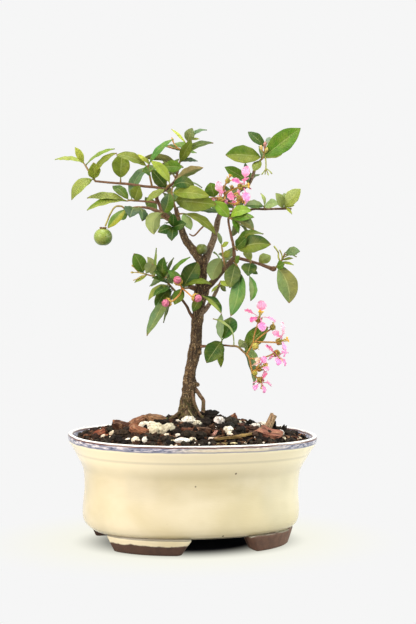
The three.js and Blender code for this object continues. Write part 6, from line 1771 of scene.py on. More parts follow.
        Leaf(0.2, (8.4, 143.6, 11), 2, 40, Tone.YELLOW_GREEN, bow=0.4),
    )),
    Shoot("lower_right_near", ((14.6, 113.4, 6), (15, 116, 6.4, 0.45)), (
        Leaf(1, (6.5, 103, 15), 11, 6, Tone.DARK, bow=1.2),
        Leaf(0.7, (14.8, 100.6, 3), 4.6, 30, Tone.FRESH, bow=0.8),
        Leaf(1, (15, 131.5, 4), 7, 50, Tone.BLUE_LIGHT),
        Leaf(1, (19.5, 129.8, -4), 10, 15, Tone.JADE, sweep=-1.5, upper=Tone.GRASS),
    )),
    Shoot("lower_right_far", ((19.8, 113.1, 7.2), (24, 112.8, 8), (27.5, 110, 9), (29, 108.6, 10, 0.45)), (
        Leaf(0.5, (9.3, 128.4, 12), 5, 78, Tone.PALE, bow=4.8),
        Leaf(1.2, (28.5, 115.2, 15), 6.5, 165, Tone.GREY_GREEN, bow=0.6),
        Leaf(2.4, (41.3, 124.5, 5), 10, 15, Tone.MID_DARK, bow=1.4, sweep=1),
        Leaf(2.4, (35, 89.5, 0), 8, 60, Tone.DARK, bow=1.5),
        Leaf(1.8, (36, 104, -8), 8, 40, Tone.FILL, bow=1.5),
    )),
)


BACK_SHOOTS: tuple[BackShoot, ...] = (
    BackShoot("back_left_high", ((-12.8, 187.6, -23.5), (-14, 192, -29), (-15, 197, -34)), 13, 11),
    BackShoot("back_left_low", ((-9.4, 179.5, -13), (-17, 184, -17), (-24, 188, -22)), 12, 12),
    BackShoot("back_right_high", ((19.6, 190.8, -28.4), (19.2, 194, -33), (17.6, 197.4, -38)), 11, 13),
    BackShoot("back_right_low", ((15.5, 189.5, -18.2), (20, 186.4, -20), (23.8, 182.8, -22)), 10, 14),
    BackShoot("back_middle", ((10.8, 160.9, -23.6), (13.5, 161, -30), (15.5, 160, -36)), 13, 15),
    BackShoot("back_low", ((-12.8, 150.4, -19.8), (-17, 151.5, -25), (-21, 152, -31)), 12, 16),
    BackShoot("back_top", ((-13.6, 208, -13.6), (-15, 210.4, -20), (-16.6, 212.6, -26)), 11, 17),
)


def skin_places(top: int, bottom: int) -> tuple[Array, Array]:
    """Places across a thin skin: s from -1 to 1 over the top and back underneath.

    Returns:
        The places, and 1 for each above and -1 for each below.
    """
    above = np.cos(np.linspace(math.pi, 0, top))
    below = np.cos(np.linspace(0, math.pi, bottom + 2))[1:-1]
    return np.concatenate([above, below]), np.concatenate([np.ones(top), -np.ones(bottom)])


def lengthwise(middle: Array, face: Array) -> tuple[Array, Array, Array]:
    """The tangents of a midrib, with the ways up and sideways at right angles to them."""
    tangent = unit(np.gradient(middle, axis=0))
    lift = unit(face - tangent * (tangent @ face)[:, None])
    return tangent, lift, np.cross(tangent, lift)


def chord_frame(root: Array, tip: Array, normal: Array) -> tuple[Array, Array, Array]:
    """The chord from root to tip, the way along it and the way its face looks."""
    chord = tip - root
    along = chord / float(np.linalg.norm(chord))
    return chord, along, unit(normal - along * np.dot(normal, along))


def skin_grid(middle: Array, side: Array, lift: Array, reach: Array, height: Array) -> Array:
    """The points middle + side reach + lift height, as rows x columns x 3."""
    return middle[:, None] + side[:, None] * reach[..., None] + lift[:, None] * height[..., None]


def skin_uv(t: Array, s: Array) -> Array:
    """The shares along and across a skin."""
    return np.stack(np.broadcast_arrays(t[:, None], 0.5 + 0.5 * s), -1)


def facing(root: Array, tip: Array, roll: float) -> tuple[Array, Array]:
    """The way a blade faces and its crosswise way, up the view.

    Roll 0 looks at the viewer, 90 looks up the view, and past 90 the underside
    shows: normal = front cos(roll) + upward sin(roll).
    """
    along = unit(tip - root)
    sight = unit(EYE - root)
    front = unit(sight - along * np.dot(sight, along))
    upward = np.cross(along, front)
    if np.dot(along, RIGHT) > 0:
        upward = -upward
    angle = math.radians(roll)
    normal = front * math.cos(angle) + upward * math.sin(angle)
    return normal, upward * math.cos(angle) - front * math.sin(angle)


@dataclass
class LeafForm:
    """The surface of a leaf: a thin closed skin round a curved midrib."""

    rows: int = 26
    top: int = 13
    bottom: int = 11
    thick: float = 0.42
    petiole: float = 0.07
    stalk_half: float = 0.34

    def shell(self, rng: Chances, root: Array, tip: Array, normal: Array, width: float,
              bow: float, sweep: float, tones: tuple[Array, Array], fold: float) -> tuple[Shell, Array]:
        """Makes one leaf.

        At the share t of its length the midrib is root + chord t + face bow
        4t(1-t) + across sweep 4t(1-t). The half width is the sine of pi t raised
        to a power that rises with t, times half the width, and no less than the
        stalk's. At the share s from the midrib to the margin the skin rises by
        fold |s|, and waves with t towards the margin.

        Args:
            rng: the leaf's own chances.
            root: where it leaves the stem.
            tip: its tip.
            normal: roughly the way its upper face looks.
            width: its full width.
            bow: how far the midrib arches towards its face.
            sweep: how far the midrib bends sideways.
            tones: the colours of its two halves.
            fold: the rise of each half, as a share of its width.

        Returns:
            The skin, and 1 for each point of its underside.
        """
        chord, along, face = chord_frame(root, tip, normal)
        across = np.cross(along, face)
        t = 0.5 - 0.5 * np.cos(np.linspace(0.02, 0.985, self.rows) * math.pi)
        arch = 4 * t * (1 - t)
        middle = root + chord * t[:, None] + face * (bow * arch)[:, None] + across * (sweep * arch)[:, None]
        curl = rng.uniform(-0.06, 0.05) * float(np.linalg.norm(chord))
        middle = middle + face * (curl * smooth_step(0.6, 1.0, t) * t)[:, None]
        tangent, lift, side = lengthwise(middle, face)
        twist = rng.uniform(-0.35, 0.35) * (t - 0.3)[:, None]
        side, lift = side * np.cos(twist) + lift * np.sin(twist), lift * np.cos(twist) - side * np.sin(twist)
        blade = np.clip((t - self.petiole) / (1 - self.petiole), 0, 1)
        breadth = np.sin(math.pi * blade) ** (0.66 + 0.16 * blade)
        half = np.maximum(width / 2 * breadth, self.stalk_half * (1 - 0.5 * t))
        spread = half / max(width / 2, 0.1)
        s, upper = skin_places(self.top, self.bottom)
        phase = rng.uniform(0, 6.28, 2)
        beat = rng.uniform(2.2, 4.2)
        swing = beat * 2 * math.pi * t[:, None]
        margin = 1 + 0.012 * np.sin(swing + phase[0] + 1.5 * np.sign(s)) * (np.abs(s) > 0.5)
        reach = half[:, None] * s * margin
        rise = fold * np.abs(reach) * (1 + 0.25 * np.abs(s))
        wave = 0.032 * width * s**2 * np.sin(swing + phase[1] + 0.9 * np.sign(s))
        droop = -0.12 * half[:, None] * np.abs(s) ** 3
        depth = self.thick * (0.5 - 0.34 * s**2) * np.sqrt(np.clip(1 - s**2, 0.05, 1))
        rib = np.exp(-(s / 0.09) ** 2) * (upper < 0) * 0.3
        height = rise + (wave + droop) * spread[:, None]
        height = height + upper * (depth + rib) * np.minimum(1, spread[:, None] * 3)
        round_part = (1 - smooth_step(0.1, 0.24, spread))[:, None] * np.sqrt(np.clip(1 - s**2, 0, 1)) * upper
        height = height + round_part * self.stalk_half * 0.8
        grid = skin_grid(middle, side, lift, reach, height)
        share = smooth_step(-0.12, 0.12, s)[None, :, None]
        colour = tones[0] * (1 - share) + tones[1] * share
        base_to_tip = rng.uniform(0.86, 1.12) + (rng.uniform(0.9, 1.2) - 1.0) * t
        colour = np.broadcast_to(colour, (*grid.shape[:2], 3)) * base_to_tip[:, None, None]
        colour = with_poles(colour.reshape(-1, 3), len(s))
        shell = Shell.loft(grid, middle[0] - tangent[0] * 0.3, tip + face * curl, colour, 0, skin_uv(t, s))
        under = np.concatenate([[0.0], np.tile((upper < 0).astype(float), self.rows), [0.0]])
        return shell, under


@dataclass
class LeafyCrown:
    """All leafy shoots, those in view by their lists and those behind by rule."""

    form: LeafForm = field(default_factory=LeafForm)
    narrow: float = 6.2
    fold: float = 0.24
    slight_fold: float = 0.1
    stem_radius: float = 0.6
    brown: str = "#8a6f3f"
    back_pairs: int = 3

    def build(self) -> None:
        """Makes one piece of each shoot."""
        stem_skin = Mottled("young_stem", 0.6, "#6b4a2a", 0.6, 350.0, 0.0002)
        finishes = [LeafSkin().material(), stem_skin.material()]
        for index, shoot in enumerate(SHOOTS):
            self.piece(shoot.name, self.listed(shoot, np.random.default_rng(100 + index)), finishes)
        for shoot in BACK_SHOOTS:
            self.piece(shoot.name, self.crossed(shoot, np.random.default_rng(shoot.seed)), finishes)

    def piece(self, name: str, made: list[tuple[Shell, Array]], finishes: list[Material]) -> None:
        """Makes the piece of a shoot, which stands for the node of its name."""
        shells, unders = zip(*made)
        leafy = make_object(f"{name}_leaves", list(shells), finishes, {"Under": np.concatenate(unders)})
        dress(leafy, "leaf", name)

    def stem(self, route: Route) -> Array:
        """The stem's stations, with the usual radius where none is listed."""
        return stations([(*row, self.stem_radius)[:4] for row in route])

    def twig(self, rows: Array, steps: int, colour: str) -> tuple[Shell, Array]:
        """A bare twig, which has no underside."""
        shell = stalk(rows, steps, colour, 1)
        return shell, np.zeros(len(shell.points))

    def spot(self, rows: Array, at: float) -> Array:
        """A place on the stem, from the stations on either side of it."""
        index = min(int(at), len(rows) - 2)
        return rows[index, :3] + (rows[index + 1, :3] - rows[index, :3]) * (at - index)

    def skin_fold(self, width: float) -> float:
        """Broad leaves fold up along the midrib, narrow ones hardly."""
        return self.slight_fold if width < self.narrow else self.fold

    def listed(self, shoot: Shoot, rng: Chances) -> list[tuple[Shell, Array]]:
        """The stem and the leaves of a listed shoot."""
        rows = self.stem(shoot.stem)
        made = [self.twig(rows, 7, self.brown)]
        for leaf in shoot.leaves:
            root = self.spot(rows, leaf.at)
            tip = place(np.array(leaf.tip, float))
            normal, wide = facing(root, tip, leaf.roll)
            across = np.cross(unit(tip - root), normal)
            side = 1.0 if np.dot(across, wide) > 0 else -1.0
            low, high = linear(leaf.tone.value), linear((leaf.upper or leaf.tone).value)
            # The two halves carry two real greens on some leaves, and painted sheen and painted shade on
            # others.
            tones = (low, high) if np.dot(across, UP) > 0 else (high, low)
            made.append(self.form.shell(rng, root, tip, normal, leaf.width, leaf.bow,
                                        leaf.sweep * side, tones, self.skin_fold(leaf.width)))
        return made + [self.twig(stations(sprig.route), 6, sprig.colour) for sprig in shoot.sprigs]

    def crossed(self, shoot: BackShoot, rng: Chances) -> list[tuple[Shell, Array]]:
        """Opposite pairs of leaves, each pair turned a quarter from the last."""
        rows = self.stem(shoot.stem)
        made = [self.twig(rows, 7, self.brown)]
        state = shoot.seed
        greens = (Tone.MID, Tone.FILL, Tone.OLIVE, Tone.MID_DARK, Tone.BRIGHT, Tone.DARK_OLIVE)

        def chance() -> float:
            """The next number of the same simple series that the solids use."""
            nonlocal state
            state = (state * 1664525 + 1013904223) % 4294967296
            return state / 4294967296

        for pair in range(self.back_pairs):
            at = (pair + 1) / self.back_pairs * (len(rows) - 1)
            root = self.spot(rows, at)
            along = unit(root - self.spot(rows, at - 0.2))
            first = unit(np.cross(along, UP))
            turn = (pair % 2) * math.pi / 2 + 0.5 + 0.4 * chance()
            for half in (0.0, math.pi):
                out = np.array(Matrix.Rotation(turn + half, 3, Vector(along)) @ Vector(first))
                heading = unit(out * 0.8 + along * 0.6 + UP * 0.1)
                reach = shoot.length * (0.85 + 0.3 * chance())
                normal = along * 0.6 + UP * 0.9 - out * 0.3
                tip = root + heading * reach
                tone = linear(greens[rng.integers(len(greens))].value)
                made.append(self.form.shell(rng, root, tip, normal, 0.5 * reach, 1.3, 0.0,
                                            (tone, tone), self.slight_fold))
        return made


@dataclass(frozen=True)
class Petal:
    """One petal: its tip as u, v, w, its width, roll, pink and arch."""

    tip: tuple[float, float, float]
    width: float
    roll: float
    pink: Blush
    bow: float = 1.0


@dataclass(frozen=True)
class Bloom:
    """An open flower: its middle, the way it faces and its five petals."""

    name: str
    centre: tuple[float, float, float]
    faces: tuple[float, float, float]
    petals: tuple[Petal, ...]

    def middle(self) -> Array:
        """The flower's middle."""
        return place(np.array(self.centre, float))

    def axis(self) -> Array:
        """The way that the flower faces."""
        return unit(from_view(np.array(self.faces, float)))


@dataclass(frozen=True)
class FlowerStalk:
    """A branched flower stalk with its open flowers and spent calyxes."""

    name: str
    blooms: tuple[str, ...]
    routes: tuple[Route, ...]
    spent: tuple[tuple[float, float, float, float, str], ...]


BLOOMS: tuple[Bloom, ...] = (
    Bloom("bloom_low_upper", centre=(36.3, 130.4, 15), faces=(0.2, 0.9, 0.3), petals=(
        Petal((37.8, 139.8, 14), 5.4, 0, Blush.LIMB), Petal((27.3, 133.8, 18), 4.6, 72, Blush.ROSE, bow=0.6),
        Petal((31.2, 127, 21), 4, 45, Blush.HOT), Petal((38.4, 121.6, 20), 4.6, 8, Blush.ORCHID),
        Petal((45.6, 127.4, 16), 4.4, 72, Blush.LIMB),
    )),
    Bloom("bloom_low_right", centre=(49.6, 116.8, 17), faces=(0.9, 0.3, 0.1), petals=(
        Petal((48.9, 128.2, 15), 4.2, 66, Blush.PALE, bow=0.8), Petal((43.6, 121.6, 20), 4.4, 48, Blush.ROSE),
        Petal((50.8, 107.4, 18), 3.8, 70, Blush.ORCHID), Petal((50.6, 121, 5), 4.2, 60, Blush.LIMB),
        Petal((50.2, 112, 26), 4.2, 60, Blush.ORCHID),
    )),
    Bloom("bloom_low_middle", centre=(47.4, 108, 15), faces=(0.4, -0.8, 0.3), petals=(
        Petal((40, 114.2, 17), 3.8, 62, Blush.ROSE, bow=0.5), Petal((47.6, 102.4, 22), 4.2, 28, Blush.ORCHID),
        Petal((51.9, 102.2, 13), 3.8, 62, Blush.ORCHID), Petal((42.5, 106, 7), 4, 50, Blush.LIMB),
        Petal((53, 110, 8), 4, 55, Blush.ORCHID),
    )),
    Bloom("bloom_low_pale", centre=(38.4, 101.6, 15), faces=(0.7, 0.5, 0.3), petals=(
        Petal((41, 107.2, 17), 4.2, 25, Blush.ORCHID), Petal((34, 106.4, 18), 3.6, 40, Blush.CREAM),
        Petal((33.2, 102.4, 8), 3.8, 50, Blush.CREAM), Petal((39, 96.6, 9), 3.8, 50, Blush.LIMB),
        Petal((42.4, 99.4, 22), 3.2, 55, Blush.LIMB),
    )),
    Bloom("bloom_low_tip", centre=(38.4, 92.2, 14), faces=(0.3, -0.9, 0.2), petals=(
        Petal((34.4, 87.6, 17), 3.4, 40, Blush.ORCHID), Petal((39.9, 86.2, 18), 3.2, 50, Blush.ORCHID),
        Petal((44, 90.6, 9), 3.8, 60, Blush.LIMB), Petal((41.9, 98, 18), 2.6, 60, Blush.ROSE),
        Petal((34.2, 92, 8), 3.8, 60, Blush.LIMB),
    )),
    Bloom("bloom_top_pale", centre=(25.3, 205, 6), faces=(0.9, 0.15, 0.35), petals=(
        Petal((26.9, 216.8, 4), 4.4, 6, Blush.LIMB), Petal((18.2, 208.3, 9), 3.8, 40, Blush.HOT),
        Petal((27.4, 195.8, 10), 4.6, 20, Blush.ORCHID), Petal((28.4, 203.8, -3), 4, 60, Blush.HOT),
        Petal((27.4, 209.6, -1), 4, 50, Blush.HOT),
    )),
    Bloom("bloom_top_left", centre=(11.9, 197, 4), faces=(-0.1, 0.3, -0.9), petals=(
        Petal((10.4, 207.6, 5), 4.6, 10, Blush.PALE), Petal((5.6, 195.2, 6), 3.6, 60, Blush.SALMON),
        Petal((13.8, 189, 2), 4, 50, Blush.HOT), Petal((16.2, 194.4, 3), 4, 40, Blush.LIMB),
        Petal((14.2, 202.4, 0), 4, 40, Blush.ROSE),
    )),
    Bloom("bloom_top_right", centre=(22.6, 198.4, 4), faces=(-0.3, 0.6, -0.7), petals=(
        Petal((15.6, 198.8, 9), 5, 20, Blush.ROSE), Petal((26.8, 193.4, 5), 4, 60, Blush.LIMB),
        Petal((27.6, 199.8, 1), 4, 60, Blush.HOT), Petal((23.5, 203.6, 0), 4, 50, Blush.LIMB),
        Petal((20.2, 193.4, 3), 4, 50, Blush.ROSE),
    )),
)


STALKS: tuple[FlowerStalk, ...] = (
    FlowerStalk("lower_right_flower_stalks", blooms=(
        "bloom_low_upper", "bloom_low_right", "bloom_low_middle", "bloom_low_pale", "bloom_low_tip",
    ), routes=(
        (
            (29.4, 108.6, 10.8, 0.6), (31, 106.2, 12, 0.6), (33, 98.6, 12.6, 0.55), (35.4, 95.4, 13, 0.5),
            (37, 95.2, 13.6, 0.5),
        ),
        ((31, 106.2, 12, 0.5), (36, 106.2, 13, 0.45), (42.4, 108, 14.2, 0.45), (46.4, 110.6, 14.6, 0.5)),
        ((29.6, 108.8, 11, 0.6), (33.2, 115.2, 13, 0.55)),
        ((33.2, 115.2, 13, 0.45), (33.4, 119, 13.6, 0.45), (35.8, 127.6, 14.4, 0.5)),
        ((33.2, 115.2, 13, 0.45), (38.5, 120, 13.4, 0.45), (43.6, 123.9, 13.4, 0.5)),
        ((33.2, 115.2, 13, 0.45), (36, 115.8, 14, 0.45), (46.9, 115.8, 16.8, 0.5)),
        ((33, 98.6, 12.6, 0.45), (36.4, 100.4, 14.6, 0.45)),
    ), spent=(
        (44, 124.6, 13.6, 2.4, "#8f8c34"), (34.4, 113.4, 15, 2.7, "#c0bb58"),
        (34.6, 97.8, 14.6, 2, "#a3a03c"),
    )),
    FlowerStalk("top_flower_stalks", blooms=("bloom_top_pale", "bloom_top_left", "bloom_top_right"), routes=(
        ((12.9, 195.9, -1.2, 0.6), (14.6, 198.4, 3, 0.5), (14.4, 197, 7, 0.45), (12.2, 196.1, 6.9, 0.45)),
        ((14.3, 198.2, 2, 0.5), (15.2, 200.8, 2.6, 0.45), (18.6, 202.6, 3.4, 0.45), (22.6, 204.5, 5, 0.5)),
        ((13.6, 197, 0.6, 0.45), (17, 195.2, 3.4, 0.45), (21, 194.8, 6.4, 0.45), (23.5, 196.5, 6.3, 0.5)),
        ((14.6, 199.4, 2.2, 0.45), (13.8, 203, 2, 0.45), (15.2, 206.6, 2, 0.5)),
        ((17.4, 202, 3, 0.4), (18.4, 203.8, 4.4, 0.4)), ((21, 194.8, 6.4, 0.4), (21.6, 194.8, 8.2, 0.4)),
        ((15.8, 207.8, 2, 0.4), (17.4, 210.6, 2.4, 0.4)),
        ((12.4, 198, 6.4, 0.4), (9, 198, 6, 0.38), (4, 197.2, 5, 0.4)),
    ), spent=(
        (16, 207.9, 2, 2.1, "#9a9a3a"), (18.5, 204.2, 4.8, 1.6, "#7d6a33"), (21.7, 195, 8.2, 1.4, "#b08a3a"),
        (17.4, 210.6, 2.4, 1, "#b59648"), (25.2, 195.8, 8, 1.2, "#5a4a2a"),
    )),
)


@dataclass
class FlowerClusters:
    """The open flowers, their calyxes with glands, their stamens and stalks."""

    ring_radius: float = 1.5
    rows: int = 22
    across: int = 17
    thick: float = 0.3
    stamens: int = 10
    dry_stamens: int = 9
    sepals: int = 5
    claw_pink: str = "#d8447f"
    rim_pink: str = "#fbe9ee"

    def build(self) -> None:
        """Makes each wheel of petals and each stalk."""
        petal_skin = PetalSkin().material()
        stalk_skin = Mottled("flower_stalk", 0.6, "#7a4a26", 0.5, 380.0, 0.0002).material()
        anther_skin = Mottled("anther", 0.7, "#b8791c", 0.5, 900.0, 0.0001).material()
        by_name = {bloom.name: bloom for bloom in BLOOMS}
        for index, bloom in enumerate(BLOOMS):
            rng = np.random.default_rng(500 + index)
            shells = [self.petal(rng, bloom, petal) for petal in bloom.petals]
            dress(make_object(f"{bloom.name}_petals", shells, [petal_skin]), "petal", bloom.name)
        for index, cluster in enumerate(STALKS):
            rng = np.random.default_rng(600 + index)
            shells = [stalk(stations(route), 7, "#b0853f") for route in cluster.routes]
            for name in cluster.blooms:
                middle, axis = by_name[name].middle(), by_name[name].axis()
                shells += self.calyx(middle, axis, rng) + self.filaments(middle, axis, rng)
            for u, v, w, radius, colour in cluster.spent:
                shells += self.spent(place(np.array([u, v, w])), radius, linear(colour), rng)
            stems = make_object(f"{cluster.name}_stems", shells, [stalk_skin, anther_skin])
            dress(stems, "flower_stalk", cluster.name)

    def petal(self, rng: Chances, bloom: Bloom, petal: Petal) -> Shell:
        """A clawed petal: a narrow claw that opens into a round limb, hollow like a
        spoon, its margin frilled by waves that grow towards the edge."""
        centre, axis = bloom.middle(), bloom.axis()
        tip = place(np.array(petal.tip, float))
        away = tip - centre
        away = unit(away - axis * np.dot(away, axis))
        root = centre + away * self.ring_radius * 0.7
        chord, _, face = chord_frame(root, tip, facing(root, tip, petal.roll)[0])
        t = np.linspace(0.0, 1.0, self.rows + 2)[1:-1]
        t = t + 0.06 * np.sin(math.pi * t)
        arch = 4 * t * (1 - t)
        middle = root + chord * t[:, None] + face * (petal.bow * arch)[:, None]
        tangent, lift, side = lengthwise(middle, face)
        limb = np.clip((t - 0.3) / 0.7, 0, 1)
        breadth = np.sin(math.pi * limb**0.92) ** 0.62 * smooth_step(-0.02, 0.3, limb)
        half = np.maximum(petal.width / 2 * 1.06 * breadth, 0.36)
        s, upper = skin_places(self.across, self.across - 2)
        phase, beat = rng.uniform(0, 6.28, 3), rng.uniform(3.5, 5.5, 2)
        frill = 0.34 * np.abs(s) ** 3 * np.sin(beat[0] * 2 * math.pi * t[:, None] + phase[0] + 1.1 * np.sign(s))
        frill = frill + 0.3 * smooth_step(0.75, 1.0, t)[:, None] * np.sin(beat[1] * 2.2 * s + phase[1])
        notch = 1 + 0.07 * np.sin(13 * t[:, None] + phase[2] + np.sign(s)) * np.abs(s)
        cup = 0.16 * half[:, None] * s**2 + 0.05 * half[:, None] * np.sin(9 * s + phase[0])
        reach = half[:, None] * s * notch
        depth = upper * self.thick / 2 * np.sqrt(np.clip(1 - s**2, 0.08, 1))
        height = cup + frill * smooth_step(0.3, 0.6, t)[:, None] + depth
        grid = skin_grid(middle, side, lift, reach, height)
        share = smooth_step(0.2, 0.75, t)[:, None, None]
        rim = smooth_step(0.6, 1.0, np.abs(s))[None, :, None] * 0.36
        colour = linear(self.claw_pink) * (1 - share) * 0.6 + linear(petal.pink.value) * (0.4 + 0.6 * share)
        colour = colour * (1 - rim) + linear(self.rim_pink) * rim
        colour = with_poles(np.broadcast_to(colour, grid.shape).reshape(-1, 3))
        return Shell.loft(grid, root, grid[-1].mean(0) + tangent[-1] * 0.12, colour, 0, skin_uv(t, s))

    def calyx(self, centre: Array, axis: Array, rng: Chances) -> list[Shell]:
        """A knob of an ovary in five sepals, each with a pair of oval glands."""
        olive, brown = linear("#9a8a34"), linear("#a9742f")
        body = np.array([[-3.7, 0], [-3.6, 0.45], [-3.0, 1.0], [-2.0, 1.25], [-1.0, 0.8], [0.2, 0.6],
                         [1.2, 0.7], [2.0, 0.9], [2.4, 0.5], [2.5, 0]])
        gland = np.array([[-1.05, 0], [-0.8, 0.42], [-0.1, 0.6], [0.6, 0.5], [1.0, 0.2], [1.1, 0]])
        shells = [turned(centre, axis, body, 14, olive)]
        for number in range(self.sepals * 2):
            out = outward(axis, (number // 2) * 2 * math.pi / self.sepals + (0.26 if number % 2 else -0.26))
            spot = centre + out * 1.35 - axis * 2.5
            tone = olive if rng.uniform() > 0.35 else brown
            shells.append(turned(spot, unit(axis + out * 0.35), gland, 9, tone))
        for number in range(self.sepals):
            out = outward(axis, number * 2 * math.pi / self.sepals)
            path = np.array([centre + out * 1.0 - axis * 2.4, centre + out * 1.6 - axis * 1.3,
                             centre + out * 1.9 - axis * 0.5])
            path = np.column_stack([path, [0.5, 0.62, 0.24]])
            shells.append(tube(smooth_path(path, 3), 7, olive))
        return shells

    def filaments(self, centre: Array, axis: Array, rng: Chances) -> list[Shell]:
        """A ring of thin stamens, each with a yellow anther, and three styles."""
        anther = np.array([[-0.42, 0], [-0.3, 0.28], [0.1, 0.34], [0.4, 0.2], [0.48, 0]])
        shells = []
        for number in range(self.stamens + 3):
            out = outward(axis, number * 2.4 + rng.uniform(-0.2, 0.2))
            reach = rng.uniform(0.9, 1.5) if number < self.stamens else 0.4
            top = centre + axis * rng.uniform(2.6, 3.6) + out * reach
            path = np.array([centre + axis * 0.6 + out * 0.5, centre + axis * 1.8 + out * reach * 0.7, top])
            path = np.column_stack([path, [0.13, 0.12, 0.11]])
            shells.append(tube(smooth_path(path, 3), 5, linear("#e3d8a0")))
            shells.append(turned(top, unit(axis + out), anther, 7, linear("#edc23a"), 1))
        return shells

    def spent(self, centre: Array, radius: float, tone: Array, rng: Chances) -> list[Shell]:
        """A faded flower: a lumpy knob with short dry stamens all round."""
        profile = np.array([[-1, 0], [-0.8, 0.5], [-0.2, 0.72], [0.4, 0.6], [0.75, 0.3], [0.85, 0]])
        profile = profile * radius * 0.9
        way = unit(np.array([0.1, -0.5, 0.8]))
        tip = np.array([[-0.3, 0], [-0.2, 0.22], [0.1, 0.27], [0.3, 0.15], [0.38, 0]])
        shells = [turned(centre, way, profile, 16, tone, lobes=5, depth=0.2)]
        for _ in range(self.dry_stamens):
            out = unit(rng.normal(size=3) + way * 0.6)
            path = np.array([centre + out * radius * 0.4, centre + out * radius * 1.05])
            path = np.column_stack([path, [0.2, 0.14]])
            shells.append(tube(smooth_path(path, 3), 5, linear("#c9b45e")))
            shells.append(turned(centre + out * radius * 1.02, out, tip, 6, linear("#dca63a"), 1))
        return shells


@dataclass
class BudTrio:
    """Three round buds in their cups on bent stalks."""

    radius: float = 2.2
    cup_depth: float = 3.1
    start: tuple[float, float, float] = (-8.8, 145.6, 9.4)
    buds: tuple[tuple[str, tuple[float, ...], Route], ...] = (
        ("flower_bud_top", (-11.5, 150.4, 17), ((-9.6, 147.4, 13.6),)),
        ("flower_bud_left", (-17.9, 136.8, 24), ((-10, 142, 15.6), (-13.6, 138.4, 20.4))),
        ("flower_bud_right", (0.6, 140, 20), ((-6, 143.6, 15), (-3, 141, 18.4))),
    )

    def build(self) -> None:
        """Makes the three buds, then their stalks as one piece."""
        pink = Mottled("bud_pink", 0.62, "#9c3458", 0.6, 620.0, 0.0004).material()
        skin = Mottled("bud_stalk", 0.6, "#8c5222", 0.45, 380.0, 0.0002).material()
        common = [(-8.4, 145.5, 8.6, 0.6), (*self.start, 0.6)]
        shells = [stalk(stations(common), 4, "#a97a3c")]
        for number, (name, centre, bends) in enumerate(self.buds):
            middle = place(np.array(centre, float))
            axis = unit(middle - place(np.array(bends[-1], float)))
            dress(make_object(f"{name}_ball", [self.ball(middle, axis, number)], [pink]), "petal", name)
            foot = middle - axis * self.cup_depth
            rows = stations([(*spot, 0.45) for spot in (self.start, *bends)])
            shells.append(stalk(np.vstack([rows, [*foot, 0.5]]), 8, "#c98d45"))
            shells += self.cup(foot, axis)
        dress(make_object("bud_stems", shells, [skin]), "flower_stalk", "flower_bud_stalks")

    def ball(self, middle: Array, axis: Array, number: int) -> Shell:
        """A ball of folded petals: its radius steps down by a sixth at five spiral
        creases, angle + 1.4 height, and is roughened by soft noise."""
        polar, angles, ball = round_ball(32, 60)
        swirl = (angles + 1.4 * np.cos(polar) + number) * 5 / (2 * math.pi)
        crease = 1 - 0.16 * (swirl % 1.0) ** 3
        flat = ball.reshape(-1, 3)
        size = self.radius * crease.ravel() * (1 + 0.08 * rough_noise(flat * 3, number + 3))
        grid = (flat * size[:, None]) @ np.array([*crosswise(axis), axis]) + middle
        # Painted shade: the pink darkens into each spiral crease.
        tone = linear("#cd7490") * (1 - 0.6 * ((swirl % 1.0) ** 5).ravel()[:, None])
        tone = with_poles(tone + linear("#d8a070") * smooth_step(0.3, 1.0, -flat[:, 2])[:, None] * 0.4)
        top = middle + axis * self.radius * 0.97
        return Shell.loft(grid.reshape(ball.shape), top, middle - axis * self.radius, tone)

    def cup(self, foot: Array, axis: Array) -> list[Shell]:
        """The calyx round the foot of a bud: a bowl of five sepals with glands."""
        bowl = np.array([[-0.7, 0], [-0.6, 0.5], [0.1, 1.5], [1.0, 2.15], [2.0, 2.45], [1.7, 2.1], [0.6, 1.4],
                         [0.4, 0]])
        gland = np.array([[-0.9, 0], [-0.6, 0.4], [0.0, 0.52], [0.6, 0.4], [0.9, 0]])
        shells = [turned(foot, axis, bowl, 30, linear("#b9a34e"), lobes=5, depth=0.16)]
        for number in range(10):
            out = outward(axis, (number // 2) * 2 * math.pi / 5 + (0.24 if number % 2 else -0.24))
            spot = foot + out * 1.9 + axis * 0.6
            shells.append(turned(spot, unit(axis + out * 0.8), gland, 8, linear("#b98a34")))
        return shells


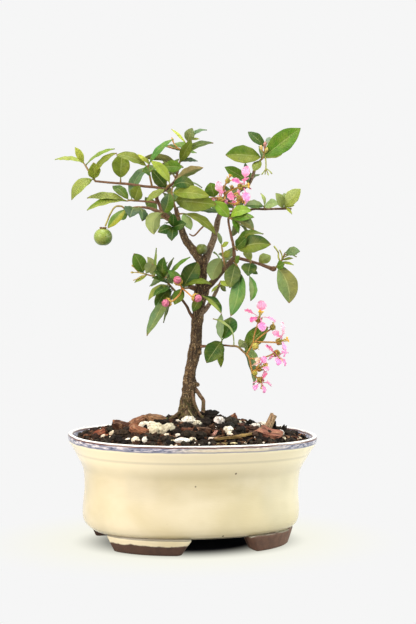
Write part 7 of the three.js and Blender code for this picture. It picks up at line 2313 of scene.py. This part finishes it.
@dataclass
class CherryFruits:
    """Two unripe fruits, each with three shallow lobes and a dry calyx."""

    fruits: tuple[tuple[str, tuple[float, float, float], float, float, str, str], ...] = (
        ("fruit_left", (-54.8, 173.9, 13), 5.2, 0.03, "#55732a", "#8ea046"),
        ("fruit_fork", (2, 168.3, 3.4), 3.3, 0.04, "#3f4a1c", "#6f8032"),
    )

    def build(self) -> None:
        """Makes both fruits."""
        skin = Mottled("fruit_skin", 0.36, "#8c7f3a", 0.32, 260.0, 0.00005).material()
        dry = Mottled("dry_calyx", 0.8, "#3a2414", 0.6, 500.0, 0.0003).material()
        for name, centre, radius, lobes, low, high in self.fruits:
            middle = place(np.array(centre, float))
            shells = [self.ball(middle, radius, lobes, (low, high))]
            if name == "fruit_left":
                shells += self.crown(middle, radius)
            dress(make_object(f"{name}_flesh", shells, [skin, dry]), "fruit", name)

    def ball(self, middle: Array, radius: float, lobes: float, tones: tuple[str, str]) -> Shell:
        """A ball whose radius swells by lobes cos(3 angle), dimpled at both poles, its green turning paler
        towards the upper left front as painted light.
        """
        polar = np.linspace(0, math.pi, 40)[1:-1, None]
        angles = turns(64)
        swell = 1 + 1.4 * lobes * np.cos(3 * angles) * np.sin(polar)
        dimple = 1 - 0.09 * np.exp(-(polar / 0.32) ** 2) - 0.07 * np.exp(-((math.pi - polar) / 0.25) ** 2)
        reach = radius * swell * dimple
        grid = np.dstack([reach * np.sin(polar) * np.cos(angles), reach * np.sin(polar) * np.sin(angles),
                          reach * np.cos(polar) * 0.96]) + middle
        flat = grid.reshape(-1, 3) - middle
        green, pale = (linear(tone) for tone in tones)
        # Painted light: paler towards the upper left front, the side the light falls on.
        share = smooth_step(-0.5, 1.0, flat @ np.array([-0.45, -0.35, 0.6]) / radius)[:, None]
        tone = with_poles(green * (1 - share) + pale * share)
        top = middle + UP * radius * 0.86
        return Shell.loft(grid, top, middle - UP * radius * 0.87, tone)

    def crown(self, middle: Array, radius: float) -> list[Shell]:
        """The knobbly dry calyx on top of the fruit: ten glands round the stalk."""
        shells = []
        gland = np.array([[-0.9, 0], [-0.6, 0.5], [0.1, 0.66], [0.7, 0.4], [0.95, 0]])
        base = middle + UP * radius * 0.86
        for number in range(10):
            angle = number * 2 * math.pi / 10 + 0.1 * (number % 2)
            out = np.array([math.cos(angle), math.sin(angle), 0.0])
            tone = linear("#8a6a32" if number % 3 else "#6a4826")
            shells.append(turned(base + out * 1.3 + UP * 0.5, unit(out + UP * 0.5), gland, 8, tone, 1))
        return shells


def main() -> None:
    """Builds the studio and the bonsai."""
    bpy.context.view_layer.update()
    for kind in (Studio, OvalPot, PottingMix, WoodyTree, LeafyCrown, FlowerClusters, BudTrio, CherryFruits):
        part = kind()
        part.build()
        log.info("%s is made", type(part).__name__)


if __name__ == "__main__":
    main()
